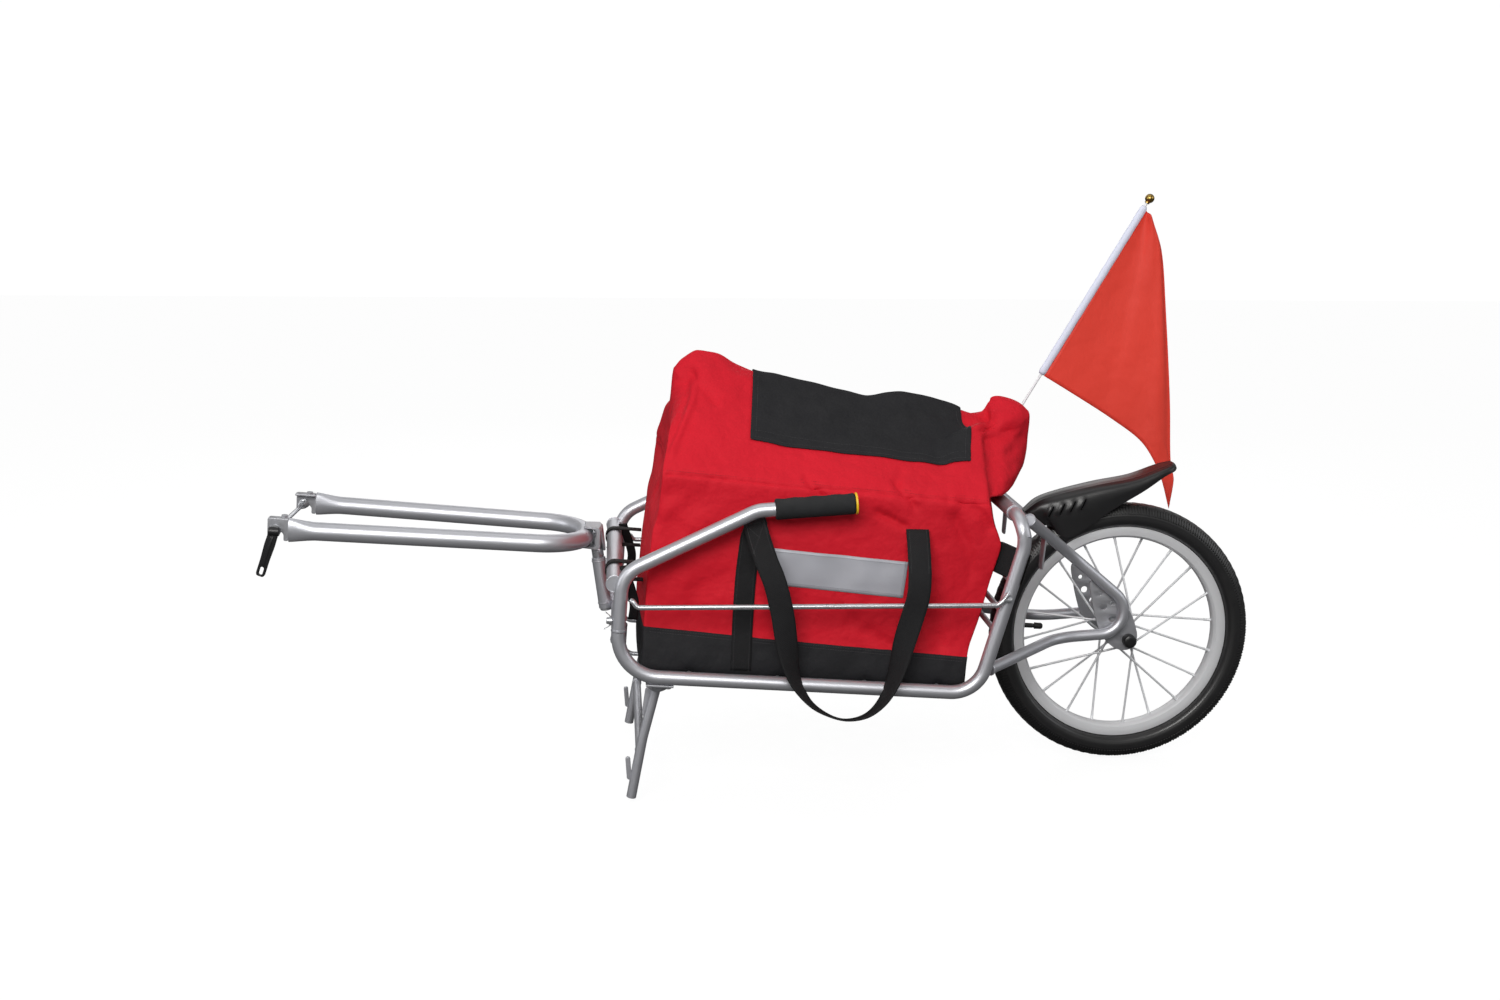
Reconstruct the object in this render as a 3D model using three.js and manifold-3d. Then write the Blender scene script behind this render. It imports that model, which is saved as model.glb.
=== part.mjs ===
// Single-wheel luggage trailer that is towed behind a bicycle.
// Lengths are millimetres, Z is up and X runs from the hitch to the trailer wheel.
// Left is the side with negative Y, seen from the saddle of the towing bicycle.
import * as THREE from "three";
import { mergeVertices } from "three/addons/utils/BufferGeometryUtils.js";
import Module from "manifold-3d";

const wasm = await Module();
wasm.setup();

// Fits and shared stock sizes
const MERGE_REACH = 0.0005;
const TOUCH_GAP = 0.3;
const CUT_MARGIN = 2;
const SLIDE_CLEARANCE = 0.35;
const RAIL_RADIUS = 9.5;
const HANDLE_RADIUS = 9.5;
const STAY_RADIUS = 8;
const STUB_RADIUS = 7.6;
const STUB_LENGTH = 48;
const SHEET = 3;
const ARC_STEP = Math.PI / 9;
const TUBE_SIDES = 10;
const RING_TURN_SHARE = 0.1;
const ROD_SIDES = 8;
const ROUND_SIDES = 16;
const SPOKE_SIDES = 5;
const LEFT = -1;
const RIGHT = 1;

// Parked attitude
const PARKED_PITCH = THREE.MathUtils.degToRad(3.75);
const AXLE_HEIGHT = 193.5;
const GROUND_SPAN = 1600;

// Cradle
const HALF_TRACK = 200;
const FRONT_UPRIGHT_X = -739;
const STUB_SHOULDER_Z = 11.3;
const RAIL_Z = -48.6;
const RAIL_END_X = -248.5;
const REAR_KNEE_X = -203;
const REAR_KNEE_Z = 163;
const CROSSBAR_X = -212.5;
const CROSSBAR_Z = 196;
const CROSSBAR_INSET = 40;
const CROSSBAR_HALF = HALF_TRACK - CROSSBAR_INSET;
const FRONT_BEND = 57;
const REAR_BEND = 46;
const KNEE_BEND = 60;
const CORNER_BEND = 28;
const COLLAR_RADIUS = 11.2;
const COLLAR_WIDTH = 6;
const RACK_ROD_RADIUS = 4;
const FLOOR_ROD_XS = [-640, -520, -400, -300];
const FLOOR_RUNNER_YS = [-90, 90];
const FLOOR_RUNNER_RADIUS = 3;
const LOWER_BAR_RADIUS = 9.5;
const LOWER_BAR_X = -738.6;
const LOWER_BAR_Z = -1;
const TIE_X = -728;
const REAR_ROD_ZS = [38, 66, 108];
const REAR_UPRIGHT_ROD_YS = [-70, 70];
const UPPER_BAR_RADIUS = 11;
const UPPER_BAR_X = -748;
const UPPER_BAR_Z = 75;

// Hairpin stays and axle plates
const STAY_HALF = 62.3;
const STAY_LOW_START = [-238, -17.2];
const STAY_LOW_KNEE = [-108, -0.3];
const STAY_APEX = [39.3, 19.2];
const STAY_HIGH_KNEE = [-105, 125.5];
const STAY_HIGH_START = [-203, 196];
const STAY_APEX_BEND = 34;
const STAY_KNEE_BEND = 70;
const STAY_TAB_XS = [-158.5, -156];
const STAY_TAB_ZS = [112, 160];
const STAY_TAB_INSETS = [20.9, -0.1];
const STAY_LOW_INSET = 4;
const STAY_HIGH_INSET = 12;
const STAY_LOW_START_HALF = HALF_TRACK - STAY_LOW_INSET;
const STAY_HIGH_START_HALF = HALF_TRACK - STAY_HIGH_INSET;
const PLATE_FACE = 50;
const PLATE_THICKNESS = 4;
const PLATE_OUTLINE = [
  [-65, 84], [-59, 53], [-49, 23], [-42, 8], [-33, -3], [-19, -13], [-5, -16], [8, -11], [13, 4],
  [9, 20], [2, 36], [-9, 50], [-24, 64], [-44, 79],
];
const PLATE_HOLES = [[-50, 66, 3.2], [-42, 47, 5], [-27, 31, 5.4], [-30, 53, 3.2]];

// Handles, grips and wing bolts
const HANDLE_LOW_Z = 11.6;
const HANDLE_KNEE_Z = 90;
const HANDLE_SHOULDER_X = -566;
const HANDLE_SHOULDER_Z = 186.3;
const HANDLE_END_X = -438;
const HANDLE_END_Z = 203.6;
const HANDLE_KNEE_BEND = 42;
const HANDLE_SHOULDER_BEND = 45;
const GRIP_RADIUS = 14.2;
const GRIP_LENGTH = 106;
const GRIP_WAVE_COUNT = 8;
const GRIP_WAVE_SHARE = 0.125;
const GRIP_RING_WIDTH = 3;
const GRIP_RING_RADIUS = 14.6;
const WING_BOLT_Z = 26;
const WING_BOLT_SHANK = 2.6;
const WING_SPAN = 24;
const WING_THICKNESS = 3;
const WING_BOSS_RADIUS = 5;
const WING_BOSS_LENGTH = 7;

// Side rods
const SIDE_ROD_RADIUS = 3.5;
const SIDE_ROD_OUTSET = 13.4;
const SIDE_ROD_HALF = HALF_TRACK + SIDE_ROD_OUTSET;
const SIDE_ROD_PATH = [
  [-727.5, 58.5, -6.5], [-722, 56, -1.5], [-717, 49, 0], [-236, 79, 0], [-228, 86, 0], [-222, 96, 0],
];
const SIDE_ROD_BENDS = [4, 9, 8, 8];
const SIDE_ROD_PEG = [[-226.5, 87.3], [-211, 87.6]];

// Folding stand
const STAND_INSET = 36;
const STAND_HALF = HALF_TRACK - STAND_INSET;
const STAND_LEG_RADIUS = 6.8;
const STAND_HINGE = [-681.7, -69];
const STAND_KNEE = [-696.3, -146];
const STAND_FOOT = [-707.6, -240.3];
const STAND_KNEE_BEND = 90;
const STAND_BAR = [-698.6, -165];
const STAND_BAR_RADIUS = 6.2;
const STAND_EYE_RADIUS = 8;
const STAND_PIN_RADIUS = 4;
const STAND_CHEEK_GAP = 1.2;
const STAND_BRACKET_XS = [-698, -661];
const STAND_LATCH = [[-692, -80], [-694.5, -112]];
const STAND_LATCH_RADIUS = 5;
const STAND_LATCH_SINK = 1;
const STAND_TAB = [[-714.5, -177], [-711, -203]];
const STAND_TAB_RADIUS = 3.4;

// Wheel
const TYRE_OUTER = 193.5;
const RIM_FLANGE = 158.5;
const BARREL_RADIUS = 12.5;
const BARREL_HALF = 34;
const FLANGE_RADIUS = 21;
const FLANGE_CENTRE = 27;
const FLANGE_HALF = 1.6;
const SPOKE_CIRCLE = 18;
const SPOKE_RADIUS = 1.05;
const SPOKES_PER_SIDE = 10;
const SPOKE_LEAN = THREE.MathUtils.degToRad(76);
const RIM_INNER = 141.5;
const SPOKE_RIM_Y = 5;
const TUBE_SECTION = 13.5;
const TREAD_DEPTH = 9;
const TUBE_RING_RADIUS = TYRE_OUTER - TREAD_DEPTH - TUBE_SECTION;
const AXLE_DIRECTION = new THREE.Vector3(0, 1, 0);
const AXLE_RADIUS = 4.8;
const AXLE_HALF = 64;
const CONE_RADIUS = 8;
const CAP_RADIUS = 9.6;
const CAP_LENGTH = 14;
const VALVE_RADIUS = 3.6;
const VALVE_CAP_RADIUS = 5;
const VALVE_FOOT = 114;
const VALVE_CAP_TOP = 126;
const VALVE_HOLE_CLEARANCE = 0.4;
const WHEEL_SEGMENTS = 40;
const TUBE_SEGMENTS = 32;
const TYRE_OUTSIDE = [
  [153, 7.4], [153, 10], [159.2, 10], [161, 18], [167.5, 22], [177, 21.8], [186, 17.3], [191.5, 9.5],
];
const TYRE_INSIDE = [[188, 7], [172, 18.6], [162, 15], [159, 7.4]];
const RIM_SECTION = [[141.8, 6], [145.5, 11.4], [158.5, 12.5], [158.5, 10.5], [152.6, 10.4], [149.4, 5]];

// Mudguard
const GUARD_LINE = [
  [-161, 172, 17], [-142, 190, 25], [-112, 203, 30], [-60, 219, 31], [-8, 232, 30], [30, 248, 26],
  [51, 256, 17],
];
const GUARD_SECTION_SHARES = [
  [-1, -1], [-0.98, -0.45], [-0.84, -0.14], [-0.5, -0.02], [0, 0.02], [0.5, -0.02], [0.84, -0.14],
  [0.98, -0.45], [1, -1],
];
const GUARD_SKIRT_SHARE = -0.3;
const GUARD_HEM_SHARE = -0.9;
const GUARD_SLOT_INNER = 19.6;
const GUARD_DROPS = [24, 50, 62, 42, 21, 10, 5];
const GUARD_THICKNESS = 3;
const GUARD_SLOT_XS = [-128, -113, -98, -83];
const GUARD_SLOT_SIZE = [4, 22];
const GUARD_BRACKET_HALF = 9;
const GUARD_BRACKET_LINE = [[-203, 200], [-186, 183], [-169, 163.4], [-157, 166.4], [-141, 182]];
const GUARD_BRACKET_THICKNESS = 2.6;

// Hitch
const HEAD_LEAN = THREE.MathUtils.degToRad(11.7);
const HEAD_AXIS = new THREE.Vector3(-Math.sin(HEAD_LEAN), 0, Math.cos(HEAD_LEAN));
const HEAD_FOOT = [-755.2, -7];
const HEAD_LENGTH = 74.8;
const HEAD_RADIUS = 9.8;
const STEM_RADIUS = 6;
const STEM_COLLAR_RADIUS = 8.4;
const STEM_COLLAR = [75.6, 92];
const STEM_TOP = 121;
const STEM_FLANGE_DROP = 3;
const FORK_Z = 97.5;
const FORK_RADIUS = 12.7;
const FORK_APEX_X = -791;
const FORK_BEND_HALF = 70;
const FORK_BEND = 66.5;
const FORK_END_HALF = 92;
const FORK_END_X = -1190;
const FORK_FLARE_HALF_HEIGHT = 17;
const FORK_FLARE_HALF_WIDTH = 7;
const FORK_FLARE_LENGTH = 34;
const FORK_FLARE_ROOT = 11.4;
const FORK_YAW = THREE.MathUtils.degToRad(-2.3);
const SADDLE_RADII = [70, 95];
const SADDLE_INNER = 89;
const SADDLE_HEIGHT = [12.98, 16];
const SADDLE_HALF_ANGLE = THREE.MathUtils.degToRad(12.5);
const TONGUE_OUTLINE = [[-6, 84], [6, 84], [15, 99], [20, 118], [-20, 118], [-15, 99]];
const DROPOUT_BOX = [-1219, -1187];
const DROPOUT_TOP = 113;
const DROPOUT_MOUTH_Z = 87;
const DROPOUT_TOE_Z = 82;
const DROPOUT_SLOT_X = -1208;
const DROPOUT_SLOT_Z = 96.5;
const DROPOUT_SLOT_HALF = 5.2;
const DROPOUT_LIP = 14;
const DROPOUT_WELD_REACH = 50;
const SKEWER_RADIUS = 3;
const SKEWER_END = 106;
const SKEWER_WASHER_RADIUS = 8;
const SKEWER_WASHER_THICKNESS = 2;
const NUT_RADIUS = 7.5;
const NUT_TIP_RADIUS = 6.5;
const NUT_LENGTH = 13;
const LEVER_BARREL_RADIUS = 6.2;
const LEVER_BARREL_HALF = 7;
const LEVER_LENGTH = 66;
const LEVER_LEAN = THREE.MathUtils.degToRad(15.5);
const LEVER_WIDTHS = [13, 10.5];
const LEVER_THICKNESS = 5;
const LEVER_OUTLINE_SHARES = [
  [0, -0.5, 0], [0.6, -0.5, 1], [0.96, -0.5, 1], [1, -0.33, 1], [1, 0.33, 1], [0.96, 0.5, 1], [0.6, 0.5, 1],
  [0, 0.5, 0],
];
const LEVER_EYE_SHARES = [0.83, 0.93];

// Luggage bag
const BAG_SIDE_GAP = 35;
const BAG_HALF = HALF_TRACK - BAG_SIDE_GAP;
const BAG_FLOOR = -44.2;
const BAG_SEAM_FRONT = 222;
const BAG_SEAM_REAR = 206.5;
const BAND_TOP_FRONT = [-714, 13.6];
const BAND_TOP_REAR = [-260, -5.4];
const BAG_SIDE_BULGE = 7;
const BAG_RINGS = [0, 0.025, 0.06, 0.12, 0.2, 0.3, 0.42, 0.54, 0.66, 0.76, 0.84, 0.9, 0.95, 0.98, 1];
const BAG_WALL_SHARES = [
  [0.87, 0], [0.965, 0.02], [1, 0.07], [1, 0.25], [1, 0.45], [1, 0.65], [1, 0.82], [1, 0.918], [1, 1],
];
const BAG_ROOF_SHARES = [
  [0.97, 0.04], [0.86, 0.18], [0.68, 0.37], [0.48, 0.57], [0.3, 0.74], [0.16, 0.87], [0.06, 0.96], [0, 1],
];
const BAG_END_COLUMNS = 8;
const BAG_RIDGE = [
  [0, 336], [0.025, 366], [0.06, 371], [0.12, 357], [0.2, 343], [0.3, 339], [0.42, 335], [0.54, 327],
  [0.66, 324], [0.76, 316], [0.84, 312], [0.9, 324], [0.95, 337], [0.98, 334], [1, 318],
];
const BAG_FRONT_EDGE = [[-44.2, -711], [13.6, -714], [132, -702], [222, -692], [335, -678], [380, -668]];
const BAG_REAR_EDGE = [
  [-44.2, -263], [-5.4, -260], [77, -241.5], [149, -227], [186, -233], [204, -246], [300, -250], [380, -250],
];
const BAG_REAR_CROWN = [
  [-44.2, -262], [0, -251], [100, -229], [170, -224], [206.5, -224.5], [211, -204], [240, -178],
  [290, -163], [325, -172], [380, -196],
];
const BAG_CROWN_EASE = 0.8;
const BAG_FRONT_CROWN = 9;
const FLAP_SPAN = [-575, -266];
const FLAP_ROW_SHARES = [-0.558, -0.424, -0.279, -0.145, -0.048, 0, 0.048, 0.158, 0.279];
const FLAP_COLUMNS = 11;
const FLAP_THICKNESS = 2;
const FLAP_LIFT = 1.6;
const PROBE_STEPS = 24;
const FLAP_SWELL = [0, 5, 6, 2, 0, 3, 7, 6, 2, 4, 0];
const STRIP_CORNERS = [[-541, 131], [-354, 122], [-357, 72], [-537, 81]];
const STRIP_THICKNESS = 1;
const STRIP_SPLITS = 8;

// Webbing
const WEB_HALF = 17.5;
const WEB_THICKNESS = 2.4;
const LOOP_LINE = [
  [-569, 172, -26, 0], [-562, 150, -12, 0], [-551, 122, 6, 0], [-537, 92, 17, 0], [-524, 50, 19, 0],
  [-511, 10, 19, 0], [-499, -34, 19.5, 12], [-478, -64, 24, 38], [-452, -82, 28, 62], [-424, -89, 29, 80],
  [-396, -80, 28, 62], [-375, -56, 24, 38], [-364, -22, 19.5, 14], [-356, 22, 19, 0], [-350, 60, 19.2, 0],
  [-348, 86, 18.8, 0], [-347, 112, 12, 0], [-346, 140, -4, 0], [-345, 166, -26.6, 0],
];
const LACE_HALF_WIDTH = 9;
const LACE_THICKNESS = 2;
const LACE_CLEARANCE = 0.4;
const FRONT_LACE_Y = 110;
const REAR_LACE_Z = 136;
const REAR_LACE_REACH = 20;

// Flag
const POLE_RADIUS = 2.6;
const POLE_INSET = 54;
const POLE_Y = HALF_TRACK - POLE_INSET;
const POLE_LEAN = THREE.MathUtils.degToRad(26.5);
const POLE_AXIS = new THREE.Vector3(Math.sin(POLE_LEAN), 0, Math.cos(POLE_LEAN));
const POLE_ANCHOR = [-197.7, 196];
const POLE_FOOT = -30;
const POLE_TIP_LENGTH = 6;
const SOCKET_RADIUS = 5;
const SOCKET_SPAN = [-36, 32];
const SOCKET_FLOOR = 4;
const BALL_RADIUS = 7;
const SLEEVE_LOW = 178.5;
const SLEEVE_LENGTH = 292.5;
const SLEEVE_HIGH = SLEEVE_LOW + SLEEVE_LENGTH;
const POLE_TOP = SLEEVE_HIGH + POLE_TIP_LENGTH;
const SLEEVE_HALF_WIDTH = 7;
const SLEEVE_HALF_THICKNESS = 4.6;
const PENNANT_FREE_EDGE = [
  [0, 104, 161], [0.1, 107, 205], [0.17, 99.4, 232], [0.36, 87.7, 321], [0.7, 62.2, 472], [0.87, 46.4, 551],
  [1, 22, 607],
];
const PENNANT_LOW_EDGE = [
  [0, -113, 355], [0.19, -53, 324], [0.35, -3, 297], [0.54, 48, 264], [0.65, 66, 242], [0.82, 88, 204],
  [1, 104, 161],
];
const PENNANT_ROW_COUNT = 12;
const PENNANT_COLUMN_COUNT = 12;
const PENNANT_TOP_SHARE = 0.97;
const PENNANT_FOLD = 7;
const PENNANT_FOLD_COUNT = 2.2;
const PENNANT_THICKNESS = 1.2;

// Looks
const FINISHES = {
  tube: { color: 0xa9a9ad, roughness: 0.36, metalness: 0.85 },
  plate: { color: 0x94959a, roughness: 0.45, metalness: 0.8 },
  zinc: { color: 0xb9bcc0, roughness: 0.3, metalness: 0.9 },
  alloy: { color: 0xc9cacb, roughness: 0.42, metalness: 0.75 },
  rubber: { color: 0x1d1d1f, roughness: 0.85, metalness: 0 },
  foam: { color: 0x3b3b3d, roughness: 0.95, metalness: 0 },
  plastic: { color: 0x242426, roughness: 0.5, metalness: 0 },
  yellow: { color: 0xe8b41c, roughness: 0.45, metalness: 0 },
  redCloth: { color: 0xcf2731, roughness: 0.8, metalness: 0 },
  blackCloth: { color: 0x2c2c2e, roughness: 0.85, metalness: 0 },
  greyCloth: { color: 0x9c9ca4, roughness: 0.6, metalness: 0 },
  flagCloth: { color: 0xea4a35, roughness: 0.7, metalness: 0 },
  whiteCloth: { color: 0xd8d8ec, roughness: 0.7, metalness: 0 },
  whitePlastic: { color: 0xe9e9ee, roughness: 0.4, metalness: 0 },
  brass: { color: 0xa98d45, roughness: 0.3, metalness: 0.9 },
};

// Solid helpers
function signedVolume(positions, triangles) {
  const a = new THREE.Vector3();
  const b = new THREE.Vector3();
  const c = new THREE.Vector3();
  let total = 0;
  for (let i = 0; i < triangles.length; i += 3) {
    a.fromArray(positions, triangles[i] * 3);
    b.fromArray(positions, triangles[i + 1] * 3);
    c.fromArray(positions, triangles[i + 2] * 3);
    total += a.dot(b.cross(c));
  }
  return total;
}

function solidFrom(geometry) {
  const bare = geometry.clone();
  bare.deleteAttribute("normal");
  bare.deleteAttribute("uv");
  const merged = mergeVertices(bare, MERGE_REACH);
  const vertProperties = new Float32Array(merged.attributes.position.array);
  const triVerts = new Uint32Array(merged.index.array);
  if (signedVolume(vertProperties, triVerts) < 0) {
    for (let i = 0; i < triVerts.length; i += 3) {
      const held = triVerts[i + 1];
      triVerts[i + 1] = triVerts[i + 2];
      triVerts[i + 2] = held;
    }
  }
  return new wasm.Manifold(new wasm.Mesh({ numProp: 3, vertProperties, triVerts }));
}

function joined(solids) {
  return solids.reduce((whole, next) => whole.add(next));
}

function cutBy(solid, cutters) {
  return cutters.reduce((whole, next) => whole.subtract(next), solid);
}

// Rings of matching points become one closed skin with a flat fan at each end.
function loft(rings) {
  const count = rings[0].length;
  const positions = [];
  for (const ring of rings) {
    for (const point of ring) {
      positions.push(point.x, point.y, point.z);
    }
  }
  const triangles = [];
  for (let row = 0; row < rings.length - 1; row += 1) {
    for (let i = 0; i < count; i += 1) {
      const next = (i + 1) % count;
      const a = row * count + i;
      const b = row * count + next;
      triangles.push(a, b, a + count, b, b + count, a + count);
    }
  }
  for (const end of [0, rings.length - 1]) {
    const centre = new THREE.Vector3();
    rings[end].forEach((point) => centre.addScaledVector(point, 1 / count));
    const hub = positions.length / 3;
    positions.push(centre.x, centre.y, centre.z);
    for (let i = 0; i < count; i += 1) {
      const a = end * count + i;
      const b = end * count + ((i + 1) % count);
      triangles.push(...(end === 0 ? [b, a, hub] : [a, b, hub]));
    }
  }
  const geometry = new THREE.BufferGeometry();
  geometry.setAttribute("position", new THREE.Float32BufferAttribute(positions, 3));
  geometry.setIndex(triangles);
  return solidFrom(geometry);
}

// Two matching grids become one closed sheet with strips round the border.
function sheetBetween(top, bottom) {
  const rows = top.length;
  const columns = top[0].length;
  const positions = [];
  for (const grid of [top, bottom]) {
    for (const row of grid) {
      for (const point of row) {
        positions.push(point.x, point.y, point.z);
      }
    }
  }
  const under = rows * columns;
  const triangles = [];
  for (let row = 0; row < rows - 1; row += 1) {
    for (let i = 0; i < columns - 1; i += 1) {
      const a = row * columns + i;
      const b = a + columns;
      triangles.push(a, a + 1, b, a + 1, b + 1, b);
      triangles.push(under + a, under + b, under + a + 1, under + a + 1, under + b, under + b + 1);
    }
  }
  const border = [];
  for (let i = 0; i < columns - 1; i += 1) {
    border.push(i);
  }
  for (let row = 0; row < rows - 1; row += 1) {
    border.push(row * columns + columns - 1);
  }
  for (let i = columns - 1; i > 0; i -= 1) {
    border.push((rows - 1) * columns + i);
  }
  for (let row = rows - 1; row > 0; row -= 1) {
    border.push(row * columns);
  }
  border.forEach((a, i) => {
    const b = border[(i + 1) % border.length];
    triangles.push(a, under + a, b, b, under + a, under + b);
  });
  const geometry = new THREE.BufferGeometry();
  geometry.setAttribute("position", new THREE.Float32BufferAttribute(positions, 3));
  geometry.setIndex(triangles);
  return solidFrom(geometry);
}

// A path whose stops sit only where the tube bends or ends.
class StopPath extends THREE.Curve {
  constructor(stops) {
    super();
    this.stops = stops;
  }

  getPointAt(share) {
    return this.stops[Math.round(share * (this.stops.length - 1))].clone();
  }

  getPoint(share) {
    return this.getPointAt(share);
  }

  getTangentAt(share) {
    const at = Math.round(share * (this.stops.length - 1));
    const stop = this.stops[at];
    const total = new THREE.Vector3();
    if (at > 0) {
      total.add(stop.clone().sub(this.stops[at - 1]).normalize());
    }
    if (at < this.stops.length - 1) {
      total.add(this.stops[at + 1].clone().sub(stop).normalize());
    }
    return total.normalize();
  }
}

function bentStops(corners, bends) {
  const stops = [corners[0].clone()];
  for (let i = 1; i < corners.length - 1; i += 1) {
    const corner = corners[i];
    const arriving = corner.clone().sub(corners[i - 1]).normalize();
    const leaving = corners[i + 1].clone().sub(corner).normalize();
    const turn = arriving.angleTo(leaving);
    const bend = bends[i - 1];
    const reach = bend * Math.tan(turn / 2);
    const start = corner.clone().addScaledVector(arriving, -reach);
    const inward = leaving.clone().sub(arriving).normalize();
    const centre = corner.clone().addScaledVector(inward, bend / Math.cos(turn / 2));
    const pin = arriving.clone().cross(leaving).normalize();
    const pieces = Math.max(1, Math.ceil(turn / ARC_STEP));
    for (let step = 0; step <= pieces; step += 1) {
      const spoke = start.clone().sub(centre).applyAxisAngle(pin, (turn * step) / pieces);
      stops.push(centre.clone().add(spoke));
    }
  }
  stops.push(corners[corners.length - 1].clone());
  return stops;
}

function circleShape(radius, sides) {
  const points = [];
  for (let i = 0; i < sides; i += 1) {
    const angle = (Math.PI * 2 * i) / sides;
    points.push(new THREE.Vector2(radius * Math.cos(angle), radius * Math.sin(angle)));
  }
  return new THREE.Shape(points);
}

function tubeThrough(stops, radius, sides = TUBE_SIDES) {
  return solidFrom(
    new THREE.ExtrudeGeometry(circleShape(radius, sides), {
      steps: stops.length - 1,
      bevelEnabled: false,
      extrudePath: new StopPath(stops),
    }),
  );
}

function ringsAlong(stops, radius, turnShare, sides = TUBE_SIDES) {
  const path = new StopPath(stops);
  const last = stops.length - 1;
  let heading = path.getTangentAt(0);
  const spoke = new THREE.Vector3(heading.z, heading.x, heading.y).cross(heading).setLength(radius);
  spoke.applyAxisAngle(heading, (Math.PI * 2 * turnShare) / sides);
  return stops.map((stop, i) => {
    const next = path.getTangentAt(i / last);
    spoke.applyQuaternion(new THREE.Quaternion().setFromUnitVectors(heading, next));
    heading = next;
    return Array.from({ length: sides }, (_, k) =>
      spoke.clone().applyAxisAngle(next, (Math.PI * 2 * k) / sides).add(stop),
    );
  });
}

// A bent tube whose two ends step down to thinner stubs.
function stubbedTube(stops, radius, stubRadius, stubLength, turnShare) {
  const rings = ringsAlong(stops, radius, turnShare);
  const stub = (ring, end, before) => {
    const outward = end.clone().sub(before).setLength(stubLength);
    const thin = ring.map((point) => point.clone().sub(end).multiplyScalar(stubRadius / radius).add(end));
    return [thin, thin.map((point) => point.clone().add(outward))];
  };
  const last = stops.length - 1;
  const [headRoot, headTip] = stub(rings[0], stops[0], stops[1]);
  const [tailRoot, tailTip] = stub(rings[last], stops[last], stops[last - 1]);
  return loft([headTip, headRoot, ...rings, tailRoot, tailTip]);
}

function bar(from, to, radius, sides = TUBE_SIDES) {
  return tubeThrough([from, to], radius, sides);
}

function at(x, y, z) {
  return new THREE.Vector3(x, y, z);
}

// A turned piece: the profile lists radius and distance along the axis.
function turned(profile, origin, axis, segments = ROUND_SIDES) {
  const points = profile.map(([radius, along]) => new THREE.Vector2(radius, along));
  const geometry = new THREE.LatheGeometry(points, segments);
  const turn = new THREE.Quaternion().setFromUnitVectors(at(0, 1, 0), axis.clone().normalize());
  geometry.applyQuaternion(turn);
  geometry.translate(origin.x, origin.y, origin.z);
  return solidFrom(geometry);
}

function rod(from, to, radius, sides = ROUND_SIDES) {
  const axis = to.clone().sub(from);
  const length = axis.length();
  return turned([[0, 0], [radius, 0], [radius, length], [0, length]], from, axis, sides);
}

// A flat plate drawn in the X and Z plane, spanning the two Y values.
function plateXZ(outline, fromY, toY, holes = []) {
  const shape = new THREE.Shape(outline.map(([x, z]) => new THREE.Vector2(x, z)));
  for (const [x, z, radius] of holes) {
    const ring = circleShape(radius, TUBE_SIDES).getPoints();
    shape.holes.push(new THREE.Path(ring.map((p) => p.clone().add(new THREE.Vector2(x, z)))));
  }
  const low = Math.min(fromY, toY);
  const high = Math.max(fromY, toY);
  const geometry = new THREE.ExtrudeGeometry(shape, { depth: high - low, bevelEnabled: false });
  geometry.rotateX(Math.PI / 2);
  geometry.translate(0, high, 0);
  return solidFrom(geometry);
}

function block(low, high) {
  const size = high.clone().sub(low);
  const middle = high.clone().add(low).multiplyScalar(1 / 2);
  const geometry = new THREE.BoxGeometry(size.x, size.y, size.z);
  geometry.translate(middle.x, middle.y, middle.z);
  return solidFrom(geometry);
}

// A flat bar with round ends between two points of the X and Z plane.
function linkXZ(from, to, radius, fromY, toY) {
  const heading = Math.atan2(to[1] - from[1], to[0] - from[0]);
  const outline = [];
  for (const [centre, start] of [[to, heading - Math.PI / 2], [from, heading + Math.PI / 2]]) {
    for (let i = 0; i <= ROD_SIDES / 2; i += 1) {
      const angle = start + (Math.PI * i * 2) / ROD_SIDES;
      outline.push([centre[0] + radius * Math.cos(angle), centre[1] + radius * Math.sin(angle)]);
    }
  }
  return plateXZ(outline, fromY, toY);
}

function along(table, value) {
  let low = 0;
  while (low < table.length - 2 && value > table[low + 1][0]) {
    low += 1;
  }
  const [x0, y0] = table[low];
  const [x1, y1] = table[low + 1];
  const share = THREE.MathUtils.clamp((value - x0) / (x1 - x0), 0, 1);
  return y0 + (y1 - y0) * share;
}

// Cradle pieces
function sideLoopStops(side) {
  const y = side * HALF_TRACK;
  return bentStops(
    [
      at(FRONT_UPRIGHT_X, y, STUB_SHOULDER_Z),
      at(FRONT_UPRIGHT_X, y, RAIL_Z),
      at(RAIL_END_X, y, RAIL_Z),
      at(REAR_KNEE_X, y, REAR_KNEE_Z),
      at(CROSSBAR_X, y, CROSSBAR_Z),
      at(CROSSBAR_X, side * CROSSBAR_HALF, CROSSBAR_Z),
    ],
    [FRONT_BEND, REAR_BEND, KNEE_BEND, CORNER_BEND],
  );
}

function sideLoop(side) {
  const turnShare = side === LEFT ? 0 : RING_TURN_SHARE;
  const tube = stubbedTube(sideLoopStops(side), RAIL_RADIUS, STUB_RADIUS, STUB_LENGTH, turnShare);
  return cutBy(tube, [wingBoltBore(side, WING_BOLT_SHANK + SLIDE_CLEARANCE)]);
}

function sideLoopEnvelope(side) {
  return tubeThrough(sideLoopStops(side), RAIL_RADIUS + TOUCH_GAP);
}

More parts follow.
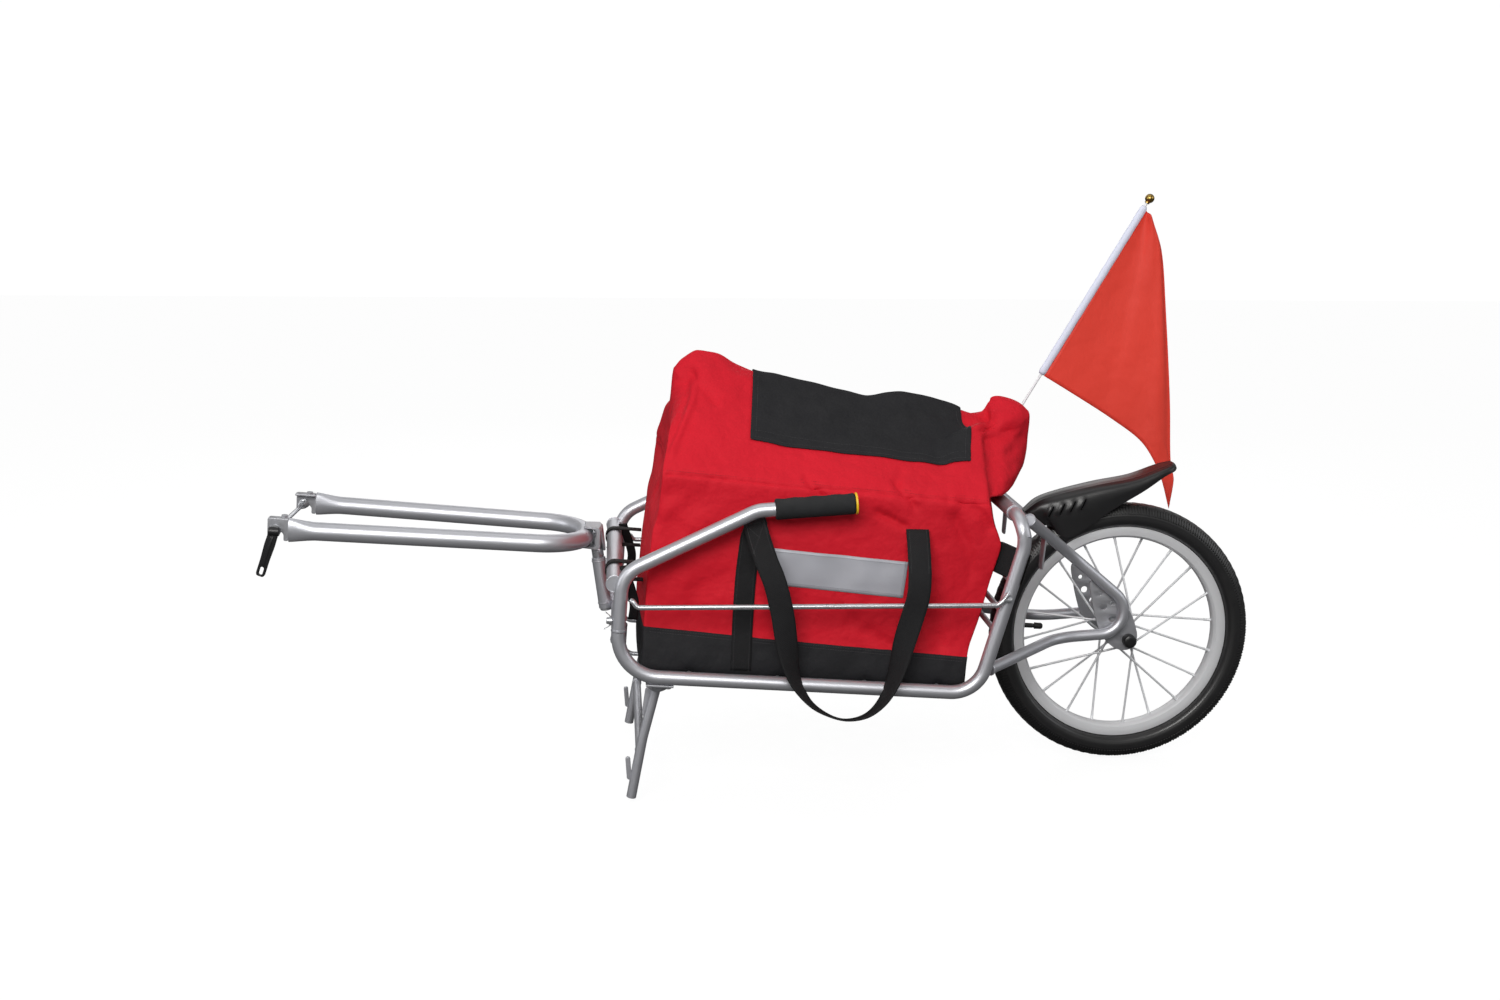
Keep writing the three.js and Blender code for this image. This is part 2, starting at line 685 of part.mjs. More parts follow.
function rearCrossbar() {
  const half = CROSSBAR_HALF - TOUCH_GAP;
  const collarStart = half - COLLAR_WIDTH;
  const profile = [
    [0, -half], [COLLAR_RADIUS, -half], [COLLAR_RADIUS, -collarStart], [RAIL_RADIUS, -collarStart],
    [RAIL_RADIUS, collarStart], [COLLAR_RADIUS, collarStart], [COLLAR_RADIUS, half], [0, half],
  ];
  const tube = turned(profile, at(CROSSBAR_X, 0, CROSSBAR_Z), at(0, 1, 0), ROUND_SIDES);
  const bores = [LEFT, RIGHT].map((side) =>
    rod(
      at(CROSSBAR_X, side * (CROSSBAR_HALF + CUT_MARGIN), CROSSBAR_Z),
      at(CROSSBAR_X, side * (CROSSBAR_HALF - STUB_LENGTH - CUT_MARGIN), CROSSBAR_Z),
      STUB_RADIUS + SLIDE_CLEARANCE,
    ),
  );
  return cutBy(tube, bores);
}

function acrossCradle(x, z, radius, sides = ROD_SIDES) {
  const half = HALF_TRACK - RAIL_RADIUS - TOUCH_GAP;
  return rod(at(x, -half, z), at(x, half, z), radius, sides);
}

function floorRack() {
  const rods = FLOOR_ROD_XS.map((x) => acrossCradle(x, RAIL_Z, RACK_ROD_RADIUS));
  const endX = FLOOR_ROD_XS[FLOOR_ROD_XS.length - 1];
  const runners = FLOOR_RUNNER_YS.flatMap((y) => [
    bar(at(endX, y, RAIL_Z), at(TIE_X, y, RAIL_Z), FLOOR_RUNNER_RADIUS, ROD_SIDES),
    bar(at(TIE_X, y, RAIL_Z), at(LOWER_BAR_X, y, LOWER_BAR_Z), FLOOR_RUNNER_RADIUS, ROD_SIDES),
  ]);
  const frontBar = acrossCradle(LOWER_BAR_X, LOWER_BAR_Z, LOWER_BAR_RADIUS, ROUND_SIDES);
  return cutBy(joined([...rods, ...runners, frontBar]), [LEFT, RIGHT].map(sideLoopEnvelope));
}

function rearUprightX(z) {
  return RAIL_END_X + ((z - RAIL_Z) * (REAR_KNEE_X - RAIL_END_X)) / (REAR_KNEE_Z - RAIL_Z);
}

function rearRack() {
  const rods = REAR_ROD_ZS.map((z) => acrossCradle(rearUprightX(z), z, RACK_ROD_RADIUS));
  const low = REAR_ROD_ZS[0];
  const high = REAR_ROD_ZS[REAR_ROD_ZS.length - 1];
  const posts = REAR_UPRIGHT_ROD_YS.map((y) =>
    bar(at(rearUprightX(low), y, low), at(rearUprightX(high), y, high), FLOOR_RUNNER_RADIUS, ROD_SIDES),
  );
  return cutBy(joined([...rods, ...posts]), [LEFT, RIGHT].map(sideLoopEnvelope));
}

function stayStops(side) {
  const inner = side * STAY_HALF;
  return bentStops(
    [
      at(STAY_LOW_START[0], side * STAY_LOW_START_HALF, STAY_LOW_START[1]),
      at(STAY_LOW_KNEE[0], inner, STAY_LOW_KNEE[1]),
      at(STAY_APEX[0], inner, STAY_APEX[1]),
      at(STAY_HIGH_KNEE[0], inner, STAY_HIGH_KNEE[1]),
      at(STAY_HIGH_START[0], side * STAY_HIGH_START_HALF, STAY_HIGH_START[1]),
    ],
    [STAY_KNEE_BEND, STAY_APEX_BEND, STAY_KNEE_BEND],
  );
}

function stayLoop(side) {
  const xs = STAY_TAB_XS;
  const zs = STAY_TAB_ZS;
  const share = (xs[0] - STAY_HIGH_KNEE[0]) / (STAY_HIGH_START[0] - STAY_HIGH_KNEE[0]);
  const half = STAY_HALF + (STAY_HIGH_START_HALF - STAY_HALF) * share;
  const ys = STAY_TAB_INSETS.map((inset) => side * (half - inset)).sort((a, b) => a - b);
  const tab = block(at(xs[0], ys[0], zs[0]), at(xs[1], ys[1], zs[1]));
  return cutBy(joined([tubeThrough(stayStops(side), STAY_RADIUS), tab]), [sideLoopEnvelope(side)]);
}

function axlePlate(side) {
  const inner = side * PLATE_FACE;
  const outer = side * (PLATE_FACE + PLATE_THICKNESS);
  const axleHole = [0, 0, AXLE_RADIUS + SLIDE_CLEARANCE];
  const plate = plateXZ(PLATE_OUTLINE, inner, outer, [...PLATE_HOLES, axleHole]);
  return cutBy(plate, [tubeThrough(stayStops(side), STAY_RADIUS + TOUCH_GAP)]);
}

// Handles and their fastenings
function handleStops(side) {
  const y = side * HALF_TRACK;
  return bentStops(
    [
      at(FRONT_UPRIGHT_X, y, HANDLE_LOW_Z),
      at(FRONT_UPRIGHT_X, y, HANDLE_KNEE_Z),
      at(HANDLE_SHOULDER_X, y, HANDLE_SHOULDER_Z),
      at(HANDLE_END_X, y, HANDLE_END_Z),
    ],
    [HANDLE_KNEE_BEND, HANDLE_SHOULDER_BEND],
  );
}

function handle(side) {
  const y = side * HALF_TRACK;
  const socket = bar(
    at(FRONT_UPRIGHT_X, y, HANDLE_LOW_Z - CUT_MARGIN),
    at(FRONT_UPRIGHT_X, y, STUB_SHOULDER_Z + STUB_LENGTH + CUT_MARGIN),
    STUB_RADIUS + SLIDE_CLEARANCE,
  );
  const boltBore = wingBoltBore(side, WING_BOLT_SHANK + SLIDE_CLEARANCE);
  return cutBy(tubeThrough(handleStops(side), HANDLE_RADIUS), [socket, boltBore]);
}

function gripAxis(side) {
  const end = at(HANDLE_END_X, side * HALF_TRACK, HANDLE_END_Z);
  const shoulder = at(HANDLE_SHOULDER_X, side * HALF_TRACK, HANDLE_SHOULDER_Z);
  return { end, inward: shoulder.sub(end).normalize() };
}

function grip(side) {
  const { end, inward } = gripAxis(side);
  const bore = HANDLE_RADIUS + SLIDE_CLEARANCE;
  const lift = (GRIP_RADIUS - HANDLE_RADIUS) * GRIP_WAVE_SHARE;
  const profile = [[bore, 0], [GRIP_RADIUS, 0]];
  for (let i = 1; i < GRIP_WAVE_COUNT; i += 1) {
    profile.push([GRIP_RADIUS + (i % 2 === 0 ? lift : -lift), (GRIP_LENGTH * i) / GRIP_WAVE_COUNT]);
  }
  profile.push([GRIP_RADIUS, GRIP_LENGTH], [bore, GRIP_LENGTH], [bore, 0]);
  return turned(profile, end, inward);
}

function gripRing(side) {
  const { end, inward } = gripAxis(side);
  const outward = inward.clone().negate();
  const start = end.clone().addScaledVector(outward, TOUCH_GAP);
  const width = GRIP_RING_WIDTH;
  const profile = [[0, 0], [GRIP_RING_RADIUS, 0], [GRIP_RING_RADIUS - SLIDE_CLEARANCE, width], [0, width]];
  return turned(profile, start, outward);
}

function wingBoltBore(side, radius) {
  const y = side * HALF_TRACK;
  const reach = HANDLE_RADIUS + CUT_MARGIN;
  const front = at(FRONT_UPRIGHT_X - reach, y, WING_BOLT_Z);
  const back = at(FRONT_UPRIGHT_X + reach, y, WING_BOLT_Z);
  return rod(front, back, radius);
}

function wingBolt(side) {
  const y = side * HALF_TRACK;
  const seat = FRONT_UPRIGHT_X - HANDLE_RADIUS - TOUCH_GAP;
  const tip = FRONT_UPRIGHT_X + HANDLE_RADIUS;
  const crown = seat - WING_BOSS_LENGTH;
  const shank = rod(at(crown, y, WING_BOLT_Z), at(tip, y, WING_BOLT_Z), WING_BOLT_SHANK);
  const boss = rod(at(seat, y, WING_BOLT_Z), at(crown, y, WING_BOLT_Z), WING_BOSS_RADIUS);
  const half = WING_SPAN / 2;
  const wingOutline = [
    [seat - WING_THICKNESS, WING_BOLT_Z - WING_BOSS_RADIUS],
    [crown - WING_THICKNESS, WING_BOLT_Z - half],
    [crown, WING_BOLT_Z - half],
    [seat - TOUCH_GAP, WING_BOLT_Z - WING_BOSS_RADIUS],
    [seat - TOUCH_GAP, WING_BOLT_Z + WING_BOSS_RADIUS],
    [crown, WING_BOLT_Z + half],
    [crown - WING_THICKNESS, WING_BOLT_Z + half],
    [seat - WING_THICKNESS, WING_BOLT_Z + WING_BOSS_RADIUS],
  ];
  const wings = plateXZ(wingOutline, y - WING_THICKNESS / 2, y + WING_THICKNESS / 2);
  return joined([shank, boss, wings]);
}

// Upper crossbar between the two handles
function upperCrossbar() {
  const y = HALF_TRACK;
  const bare = rod(at(UPPER_BAR_X, -y, UPPER_BAR_Z), at(UPPER_BAR_X, y, UPPER_BAR_Z), UPPER_BAR_RADIUS);
  const handles = [LEFT, RIGHT].map((side) => tubeThrough(handleStops(side), HANDLE_RADIUS + TOUCH_GAP));
  const slack = HANDLE_RADIUS + TOUCH_GAP;
  const beyond = [LEFT, RIGHT].map((side) => {
    const ends = [side * (HALF_TRACK - slack / 2), side * (HALF_TRACK + HALF_TRACK)].sort((a, b) => a - b);
    const low = at(UPPER_BAR_X - HALF_TRACK, ends[0], UPPER_BAR_Z - HALF_TRACK);
    return block(low, at(UPPER_BAR_X + HALF_TRACK, ends[1], UPPER_BAR_Z + HALF_TRACK));
  });
  return cutBy(bare, [...handles, ...beyond]);
}

function sideRod(side) {
  const corners = SIDE_ROD_PATH.map(([x, z, inset]) => at(x, side * (SIDE_ROD_HALF + inset), z));
  const line = tubeThrough(bentStops(corners, SIDE_ROD_BENDS), SIDE_ROD_RADIUS, ROD_SIDES);
  const [from, to] = SIDE_ROD_PEG.map(([x, z]) => at(x, side * SIDE_ROD_HALF, z));
  const peg = bar(from, to, SIDE_ROD_RADIUS, ROD_SIDES);
  const grown = tubeThrough(handleStops(side), HANDLE_RADIUS + TOUCH_GAP);
  return cutBy(joined([line, peg]), [sideLoopEnvelope(side), grown]);
}

// Folding stand
function standBracket(side) {
  const flangeTop = RAIL_Z - RAIL_RADIUS - TOUCH_GAP;
  const flangeLow = flangeTop - SHEET;
  const [x0, x1] = STAND_BRACKET_XS;
  const cheekOuter = STAND_HALF + STAND_LEG_RADIUS + STAND_CHEEK_GAP + SHEET;
  const cheekInner = cheekOuter - SHEET;
  const outer = HALF_TRACK + RAIL_RADIUS / 2;
  const ys = [side * cheekInner, side * outer].sort((a, b) => a - b);
  const flange = block(at(x0, ys[0], flangeLow), at(x1, ys[1], flangeTop));
  const hinge = STAND_HINGE;
  const drop = hinge[1] - STAND_EYE_RADIUS;
  const cheek = plateXZ(
    [
      [x0, flangeTop], [x0 + SHEET, hinge[1]], [hinge[0] - SHEET, drop], [hinge[0] + SHEET, drop],
      [x1 - SHEET, hinge[1]], [x1, flangeTop],
    ],
    side * cheekInner,
    side * cheekOuter,
  );
  const pinEnd = STAND_HALF - STAND_LEG_RADIUS - STAND_CHEEK_GAP - SHEET;
  const pin = rod(
    at(hinge[0], side * (cheekInner + CUT_MARGIN), hinge[1]),
    at(hinge[0], side * pinEnd, hinge[1]),
    STAND_PIN_RADIUS,
  );
  return joined([flange, cheek, pin]);
}

function standFrame() {
  const legs = [LEFT, RIGHT].flatMap((side) => {
    const y = side * STAND_HALF;
    const top = at(STAND_HINGE[0], y, STAND_HINGE[1]);
    const knee = at(STAND_KNEE[0], y, STAND_KNEE[1]);
    const foot = at(STAND_FOOT[0], y, STAND_FOOT[1]);
    const leg = tubeThrough(bentStops([top, knee, foot], [STAND_KNEE_BEND]), STAND_LEG_RADIUS);
    const eye = rod(
      at(top.x, y - STAND_LEG_RADIUS, top.z),
      at(top.x, y + STAND_LEG_RADIUS, top.z),
      STAND_EYE_RADIUS,
    );
    const inner = y - side * STAND_LEG_RADIUS;
    const latchFace = y - side * STAND_PIN_RADIUS;
    const latch = linkXZ(...STAND_LATCH, STAND_LATCH_RADIUS, latchFace, inner + side * STAND_LATCH_SINK);
    const tab = linkXZ(...STAND_TAB, STAND_TAB_RADIUS, y - SHEET / 2, y + SHEET / 2);
    return [leg, eye, latch, tab];
  });
  const cross = rod(
    at(STAND_BAR[0], -STAND_HALF, STAND_BAR[1]),
    at(STAND_BAR[0], STAND_HALF, STAND_BAR[1]),
    STAND_BAR_RADIUS,
    TUBE_SIDES,
  );
  const whole = joined([...legs, cross]);
  const reach = STAND_LEG_RADIUS + CUT_MARGIN;
  const holes = [LEFT, RIGHT].map((side) =>
    rod(
      at(STAND_HINGE[0], side * STAND_HALF - reach, STAND_HINGE[1]),
      at(STAND_HINGE[0], side * STAND_HALF + reach, STAND_HINGE[1]),
      STAND_PIN_RADIUS + SLIDE_CLEARANCE,
    ),
  );
  return cutBy(whole, [...holes, belowGround()]);
}

// Everything under the floor that the parked trailer stands on
function belowGround() {
  const depth = AXLE_HEIGHT;
  const span = GROUND_SPAN;
  const slab = new THREE.BoxGeometry(span, span, depth);
  slab.translate(0, 0, -AXLE_HEIGHT - depth / 2);
  slab.rotateY(-PARKED_PITCH);
  return solidFrom(slab);
}

// Wheel pieces, all turned about the axle
function mirroredProfile(half) {
  const other = half.map(([radius, y]) => [radius, -y]).reverse();
  return [...half, ...other, half[0]];
}

function tyre() {
  const mirrored = (points) => points.map(([radius, y]) => [radius, -y]).reverse();
  const outside = [...TYRE_OUTSIDE, [TYRE_OUTER, 0], ...mirrored(TYRE_OUTSIDE)];
  const profile = [...outside, ...mirrored(TYRE_INSIDE), ...TYRE_INSIDE, TYRE_OUTSIDE[0]];
  return turned(profile, at(0, 0, 0), AXLE_DIRECTION, WHEEL_SEGMENTS);
}

function rim() {
  const ring = turned(mirroredProfile(RIM_SECTION), at(0, 0, 0), AXLE_DIRECTION, WHEEL_SEGMENTS);
  const bore = rod(
    at(-VALVE_FOOT, 0, 0),
    at(-RIM_FLANGE, 0, 0),
    VALVE_RADIUS + VALVE_HOLE_CLEARANCE,
    TUBE_SIDES,
  );
  return cutBy(ring, [bore]);
}

function innerTube() {
  const sides = ROD_SIDES;
  const profile = [];
  for (let i = 0; i <= sides; i += 1) {
    const angle = (Math.PI * 2 * i) / sides;
    const reach = TUBE_SECTION * Math.cos(angle);
    profile.push([TUBE_RING_RADIUS + reach, TUBE_SECTION * Math.sin(angle)]);
  }
  return turned(profile, at(0, 0, 0), AXLE_DIRECTION, TUBE_SEGMENTS);
}

function valveStem() {
  const inner = TUBE_RING_RADIUS - TUBE_SECTION - TOUCH_GAP;
  const span = inner - VALVE_FOOT;
  const capLength = VALVE_CAP_TOP - VALVE_FOOT;
  const profile = [
    [0, 0], [VALVE_CAP_RADIUS, 0], [VALVE_CAP_RADIUS, capLength], [VALVE_RADIUS, capLength],
    [VALVE_RADIUS, span], [0, span],
  ];
  return turned(profile, at(-VALVE_FOOT, 0, 0), at(-1, 0, 0), TUBE_SIDES);
}

function hubShell() {
  const half = [
    [AXLE_RADIUS + SLIDE_CLEARANCE, BARREL_HALF],
    [BARREL_RADIUS, BARREL_HALF],
    [BARREL_RADIUS, FLANGE_CENTRE - FLANGE_HALF - FLANGE_HALF],
    [BARREL_RADIUS - FLANGE_HALF, FLANGE_CENTRE / 2],
  ];
  return turned(mirroredProfile(half), at(0, 0, 0), AXLE_DIRECTION);
}

function spokeSet(side) {
  const y = side * FLANGE_CENTRE;
  const bore = BARREL_RADIUS + TOUCH_GAP;
  const flange = turned(
    [[bore, -FLANGE_HALF], [FLANGE_RADIUS, -FLANGE_HALF], [FLANGE_RADIUS, FLANGE_HALF], [bore, FLANGE_HALF],
      [bore, -FLANGE_HALF]],
    at(0, y, 0),
    AXLE_DIRECTION,
  );
  const spokes = [];
  const pitch = (Math.PI * 2) / SPOKES_PER_SIDE;
  for (let i = 0; i < SPOKES_PER_SIDE; i += 1) {
    const rimAngle = pitch * (i + side / 4);
    const hubAngle = rimAngle + (i % 2 === 0 ? SPOKE_LEAN : -SPOKE_LEAN);
    const lift = (i % 2 === 0 ? 1 : -1) * SPOKE_RADIUS;
    const root = at(SPOKE_CIRCLE * Math.cos(hubAngle), y + lift, SPOKE_CIRCLE * Math.sin(hubAngle));
    const tip = at(RIM_INNER * Math.cos(rimAngle), side * SPOKE_RIM_Y, RIM_INNER * Math.sin(rimAngle));
    tip.addScaledVector(tip.clone().sub(root).normalize(), -CUT_MARGIN / 2);
    spokes.push(bar(root, tip, SPOKE_RADIUS, SPOKE_SIDES));
  }
  return joined([flange, ...spokes]);
}

function axle() {
  const coneStart = BARREL_HALF + TOUCH_GAP;
  const coneEnd = PLATE_FACE - TOUCH_GAP;
  const half = [
    [AXLE_RADIUS, AXLE_HALF], [AXLE_RADIUS, coneEnd], [CONE_RADIUS, coneEnd],
    [CONE_RADIUS, coneStart + SHEET], [AXLE_RADIUS + SHEET, coneStart], [AXLE_RADIUS, coneStart],
  ];
  const profile = [[0, AXLE_HALF], ...half, ...half.map(([radius, y]) => [radius, -y]).reverse()];
  return turned([...profile, [0, -AXLE_HALF]], at(0, 0, 0), AXLE_DIRECTION);
}

function axleCap(side) {
  const start = PLATE_FACE + PLATE_THICKNESS + TOUCH_GAP;
  const depth = AXLE_HALF - start + TOUCH_GAP;
  const bore = AXLE_RADIUS + SLIDE_CLEARANCE;
  const profile = [
    [bore, 0], [CAP_RADIUS, 0], [CAP_RADIUS, CAP_LENGTH - SHEET], [CAP_RADIUS - SHEET, CAP_LENGTH],
    [0, CAP_LENGTH], [0, depth], [bore, depth], [bore, 0],
  ];
  return turned(profile, at(0, side * start, 0), at(0, side, 0));
}

// Mudguard: a channel whose crown and skirts change along its length
function mudguard() {
  const skins = GUARD_LINE.map(([x, z, half], i) => {
    const before = GUARD_LINE[Math.max(0, i - 1)];
    const after = GUARD_LINE[Math.min(GUARD_LINE.length - 1, i + 1)];
    const tangent = new THREE.Vector2(after[0] - before[0], after[1] - before[1]).normalize();
    const up = at(-tangent.y, 0, tangent.x);
    const drop = GUARD_DROPS[i];
    const outer = GUARD_SECTION_SHARES.map(([side, rise]) => [side * half, rise * drop]);
    const inner = GUARD_SECTION_SHARES.map(([side, rise]) => {
      const inset = GUARD_THICKNESS * (rise < GUARD_SKIRT_SHARE ? Math.sign(side) : side);
      const below = rise < GUARD_HEM_SHARE ? 0 : GUARD_THICKNESS;
      return [side * half - inset, rise * drop - below];
    });
    const placed = (points) => points.map(([y, rise]) => at(x, y, z).addScaledVector(up, rise));
    return [placed(outer), placed(inner)];
  });
  const shell = sheetBetween(skins.map((skin) => skin[0]), skins.map((skin) => skin[1]));
  const [slotWidth, slotLength] = GUARD_SLOT_SIZE;
  const slots = GUARD_SLOT_XS.flatMap((x) =>
    [LEFT, RIGHT].map((side) => {
      const crown = along(GUARD_LINE.map(([gx, gz]) => [gx, gz]), x) - slotLength;
      const ys = [side * GUARD_SLOT_INNER, side * HALF_TRACK].sort((a, b) => a - b);
      return block(at(x, ys[0], crown - slotLength / 2), at(x + slotWidth, ys[1], crown + slotLength / 2));
    }),
  );
  return cutBy(shell, slots);
}

function guardBracket() {
  const half = GUARD_BRACKET_THICKNESS / 2;
  const middle = GUARD_BRACKET_LINE.map(([x, z]) => new THREE.Vector2(x, z));
  const upper = [];
  const lower = [];
  middle.forEach((point, i) => {
    const before = middle[Math.max(0, i - 1)];
    const after = middle[Math.min(middle.length - 1, i + 1)];
    const tangent = after.clone().sub(before).normalize();
    const normal = new THREE.Vector2(-tangent.y, tangent.x).multiplyScalar(half);
    upper.push(point.clone().add(normal).toArray());
    lower.push(point.clone().sub(normal).toArray());
  });
  const strip = plateXZ([...upper, ...lower.reverse()], -GUARD_BRACKET_HALF, GUARD_BRACKET_HALF);
  const crossbar = rod(
    at(CROSSBAR_X, -HALF_TRACK, CROSSBAR_Z),
    at(CROSSBAR_X, HALF_TRACK, CROSSBAR_Z),
    RAIL_RADIUS + TOUCH_GAP,
  );
  return cutBy(strip, [crossbar]);
}

// Hitch: the head stays on the frame, the fork turns in it
function headPoint(distance) {
  return at(
    HEAD_FOOT[0] - Math.sin(HEAD_LEAN) * distance,
    0,
    HEAD_FOOT[1] + Math.cos(HEAD_LEAN) * distance,
  );
}

function headSleeve() {
  const shell = rod(headPoint(0), headPoint(HEAD_LENGTH), HEAD_RADIUS);
  const gusset = plateXZ(
    [
      [HEAD_FOOT[0], LOWER_BAR_Z - HEAD_RADIUS / 4],
      [LOWER_BAR_X, LOWER_BAR_Z - HEAD_RADIUS / 4],
      [LOWER_BAR_X, UPPER_BAR_Z - UPPER_BAR_RADIUS],
      [headPoint(HEAD_LENGTH).x, UPPER_BAR_Z - HEAD_RADIUS],
    ],
    -SHEET,
    SHEET,
  );
  const bars = [
    rod(
      at(LOWER_BAR_X, -HALF_TRACK, LOWER_BAR_Z),
      at(LOWER_BAR_X, HALF_TRACK, LOWER_BAR_Z),
      LOWER_BAR_RADIUS + TOUCH_GAP,
    ),
    rod(
      at(UPPER_BAR_X, -HALF_TRACK, UPPER_BAR_Z),
      at(UPPER_BAR_X, HALF_TRACK, UPPER_BAR_Z),
      UPPER_BAR_RADIUS + TOUCH_GAP,
    ),
  ];
  const boreRadius = STEM_RADIUS + SLIDE_CLEARANCE;
  const bore = rod(headPoint(-CUT_MARGIN), headPoint(HEAD_LENGTH + CUT_MARGIN), boreRadius);
  return cutBy(joined([shell, gusset]), [...bars, bore]);
}

function pivotStem() {
  const [collarLow, collarHigh] = STEM_COLLAR;
  const flangeLow = -TOUCH_GAP - STEM_FLANGE_DROP;
  const profile = [
    [0, flangeLow], [STEM_COLLAR_RADIUS, flangeLow], [STEM_COLLAR_RADIUS, -TOUCH_GAP],
    [STEM_RADIUS, -TOUCH_GAP], [STEM_RADIUS, collarLow], [STEM_COLLAR_RADIUS, collarLow],
    [STEM_COLLAR_RADIUS, collarHigh], [STEM_RADIUS, collarHigh], [STEM_RADIUS, STEM_TOP], [0, STEM_TOP],
  ];
  return turned(profile, headPoint(0), HEAD_AXIS);
}

function forkStops() {
  const arm = (side) => at(FORK_END_X, side * FORK_END_HALF, FORK_Z);
  const corner = (side) => at(FORK_APEX_X, side * FORK_BEND_HALF, FORK_Z);
  return bentStops([arm(LEFT), corner(LEFT), corner(RIGHT), arm(RIGHT)], [FORK_BEND, FORK_BEND]);
}

function forkFlare(side) {
  const end = at(FORK_END_X, side * FORK_END_HALF, FORK_Z);
  const ring = (x, wide, tall) => {
    const points = [];
    for (let i = 0; i < TUBE_SIDES; i += 1) {
      const angle = (Math.PI * 2 * (i + 0.5)) / TUBE_SIDES;
      points.push(at(x, end.y + wide * Math.cos(angle), FORK_Z + tall * Math.sin(angle)));
    }
    return points;
  };
  const front = ring(end.x, FORK_FLARE_HALF_WIDTH, FORK_FLARE_HALF_HEIGHT);
  return loft([front, ring(end.x + FORK_FLARE_LENGTH, FORK_FLARE_ROOT, FORK_FLARE_ROOT)]);
}

function forkRaw() {
  return joined([tubeThrough(forkStops(), FORK_RADIUS), forkFlare(LEFT), forkFlare(RIGHT)]);
}

function hitchFork() {
  const stem = rod(headPoint(0), headPoint(STEM_TOP * 2), STEM_RADIUS + TOUCH_GAP);
  const collar = rod(headPoint(0), headPoint(STEM_COLLAR[1]), STEM_COLLAR_RADIUS + TOUCH_GAP);
  return cutBy(forkRaw(), [stem, collar]);
}

function hitchBracket() {
  const centreX = FORK_APEX_X - FORK_BEND_HALF;
  const [innerRadius, outerRadius] = SADDLE_RADII;
  const [low, high] = SADDLE_HEIGHT;
  const profile = [
    [innerRadius, low], [SADDLE_INNER, low], [SADDLE_INNER, -low], [innerRadius, -low], [innerRadius, -high],
    [outerRadius, -high], [outerRadius, high], [innerRadius, high], [innerRadius, low],
  ];
  const channel = turned(profile, at(centreX, 0, FORK_Z), at(0, 0, 1), WHEEL_SEGMENTS);
  const far = outerRadius * 2;
  const spread = far * Math.tan(SADDLE_HALF_ANGLE);
  const wedge = new THREE.Shape([
    new THREE.Vector2(centreX, 0),
    new THREE.Vector2(centreX + far, -spread),
    new THREE.Vector2(centreX + far, spread),
  ]);
  const wedgeSolid = new THREE.ExtrudeGeometry(wedge, { depth: far, bevelEnabled: false });
  wedgeSolid.translate(0, 0, FORK_Z - far / 2);
  const saddle = channel.intersect(solidFrom(wedgeSolid));
  const tongueShape = new THREE.Shape(TONGUE_OUTLINE.map(([y, z]) => new THREE.Vector2(y, z)));
  const tongue = new THREE.ExtrudeGeometry(tongueShape, { depth: SHEET, bevelEnabled: false });
  tongue.rotateX(Math.PI / 2);
  tongue.rotateZ(Math.PI / 2);
  tongue.translate(STEM_COLLAR_RADIUS + TOUCH_GAP, 0, 0);
  tongue.rotateY(-HEAD_LEAN);
  tongue.translate(HEAD_FOOT[0], 0, HEAD_FOOT[1]);
  const stem = rod(headPoint(0), headPoint(STEM_TOP + TOUCH_GAP), STEM_RADIUS + TOUCH_GAP);
  const collar = rod(headPoint(0), headPoint(STEM_COLLAR[1] + TOUCH_GAP), STEM_COLLAR_RADIUS + TOUCH_GAP);
  const tube = tubeThrough(forkStops(), FORK_RADIUS + TOUCH_GAP);
  return cutBy(joined([saddle, solidFrom(tongue)]), [stem, collar, tube]);
}

function hitchDropout(side) {
  const [front, rear] = DROPOUT_BOX;
  const y = side * FORK_END_HALF;
  const faceInner = y - SHEET / 2;
  const faceOuter = y + SHEET / 2;
  const slot = DROPOUT_SLOT_X;
  const half = DROPOUT_SLOT_HALF;
  const cheek = plateXZ(
    [
      [front, DROPOUT_TOP], [front, DROPOUT_MOUTH_Z],
      [slot - half, DROPOUT_MOUTH_Z], [slot - half, DROPOUT_SLOT_Z],
      [slot - half / 2, DROPOUT_SLOT_Z + half], [slot + half / 2, DROPOUT_SLOT_Z + half],
      [slot + half, DROPOUT_SLOT_Z], [rear - DROPOUT_LIP / 2, DROPOUT_SLOT_Z - half],
      [rear - DROPOUT_LIP / 2, DROPOUT_TOE_Z], [rear, DROPOUT_TOE_Z], [rear, DROPOUT_TOP],
    ],
    faceInner,
    faceOuter,
  );
  const ys = [y, y - side * DROPOUT_LIP].sort((a, b) => a - b);
  const lip = block(at(front, ys[0], DROPOUT_TOP - SHEET), at(rear, ys[1], DROPOUT_TOP));
  const back = block(at(rear - SHEET, ys[0], DROPOUT_TOE_Z), at(rear, ys[1], DROPOUT_TOP));
  const weldGap = block(
    at(FORK_END_X - TOUCH_GAP, y - DROPOUT_WELD_REACH, DROPOUT_TOE_Z - CUT_MARGIN),
    at(FORK_END_X + DROPOUT_LIP, y + DROPOUT_WELD_REACH, DROPOUT_TOP + CUT_MARGIN),
  );
  return cutBy(joined([cheek, lip, back]), [weldGap]);
}

function skewerRod() {
  const face = FORK_END_HALF + SHEET / 2 + TOUCH_GAP;
  const end = face + SKEWER_WASHER_THICKNESS;
  const profile = [
    [0, -end], [SKEWER_WASHER_RADIUS, -end], [SKEWER_WASHER_RADIUS, -face], [SKEWER_RADIUS, -face],
    [SKEWER_RADIUS, SKEWER_END], [0, SKEWER_END],
  ];
  return turned(profile, at(DROPOUT_SLOT_X, 0, DROPOUT_SLOT_Z), AXLE_DIRECTION);
}

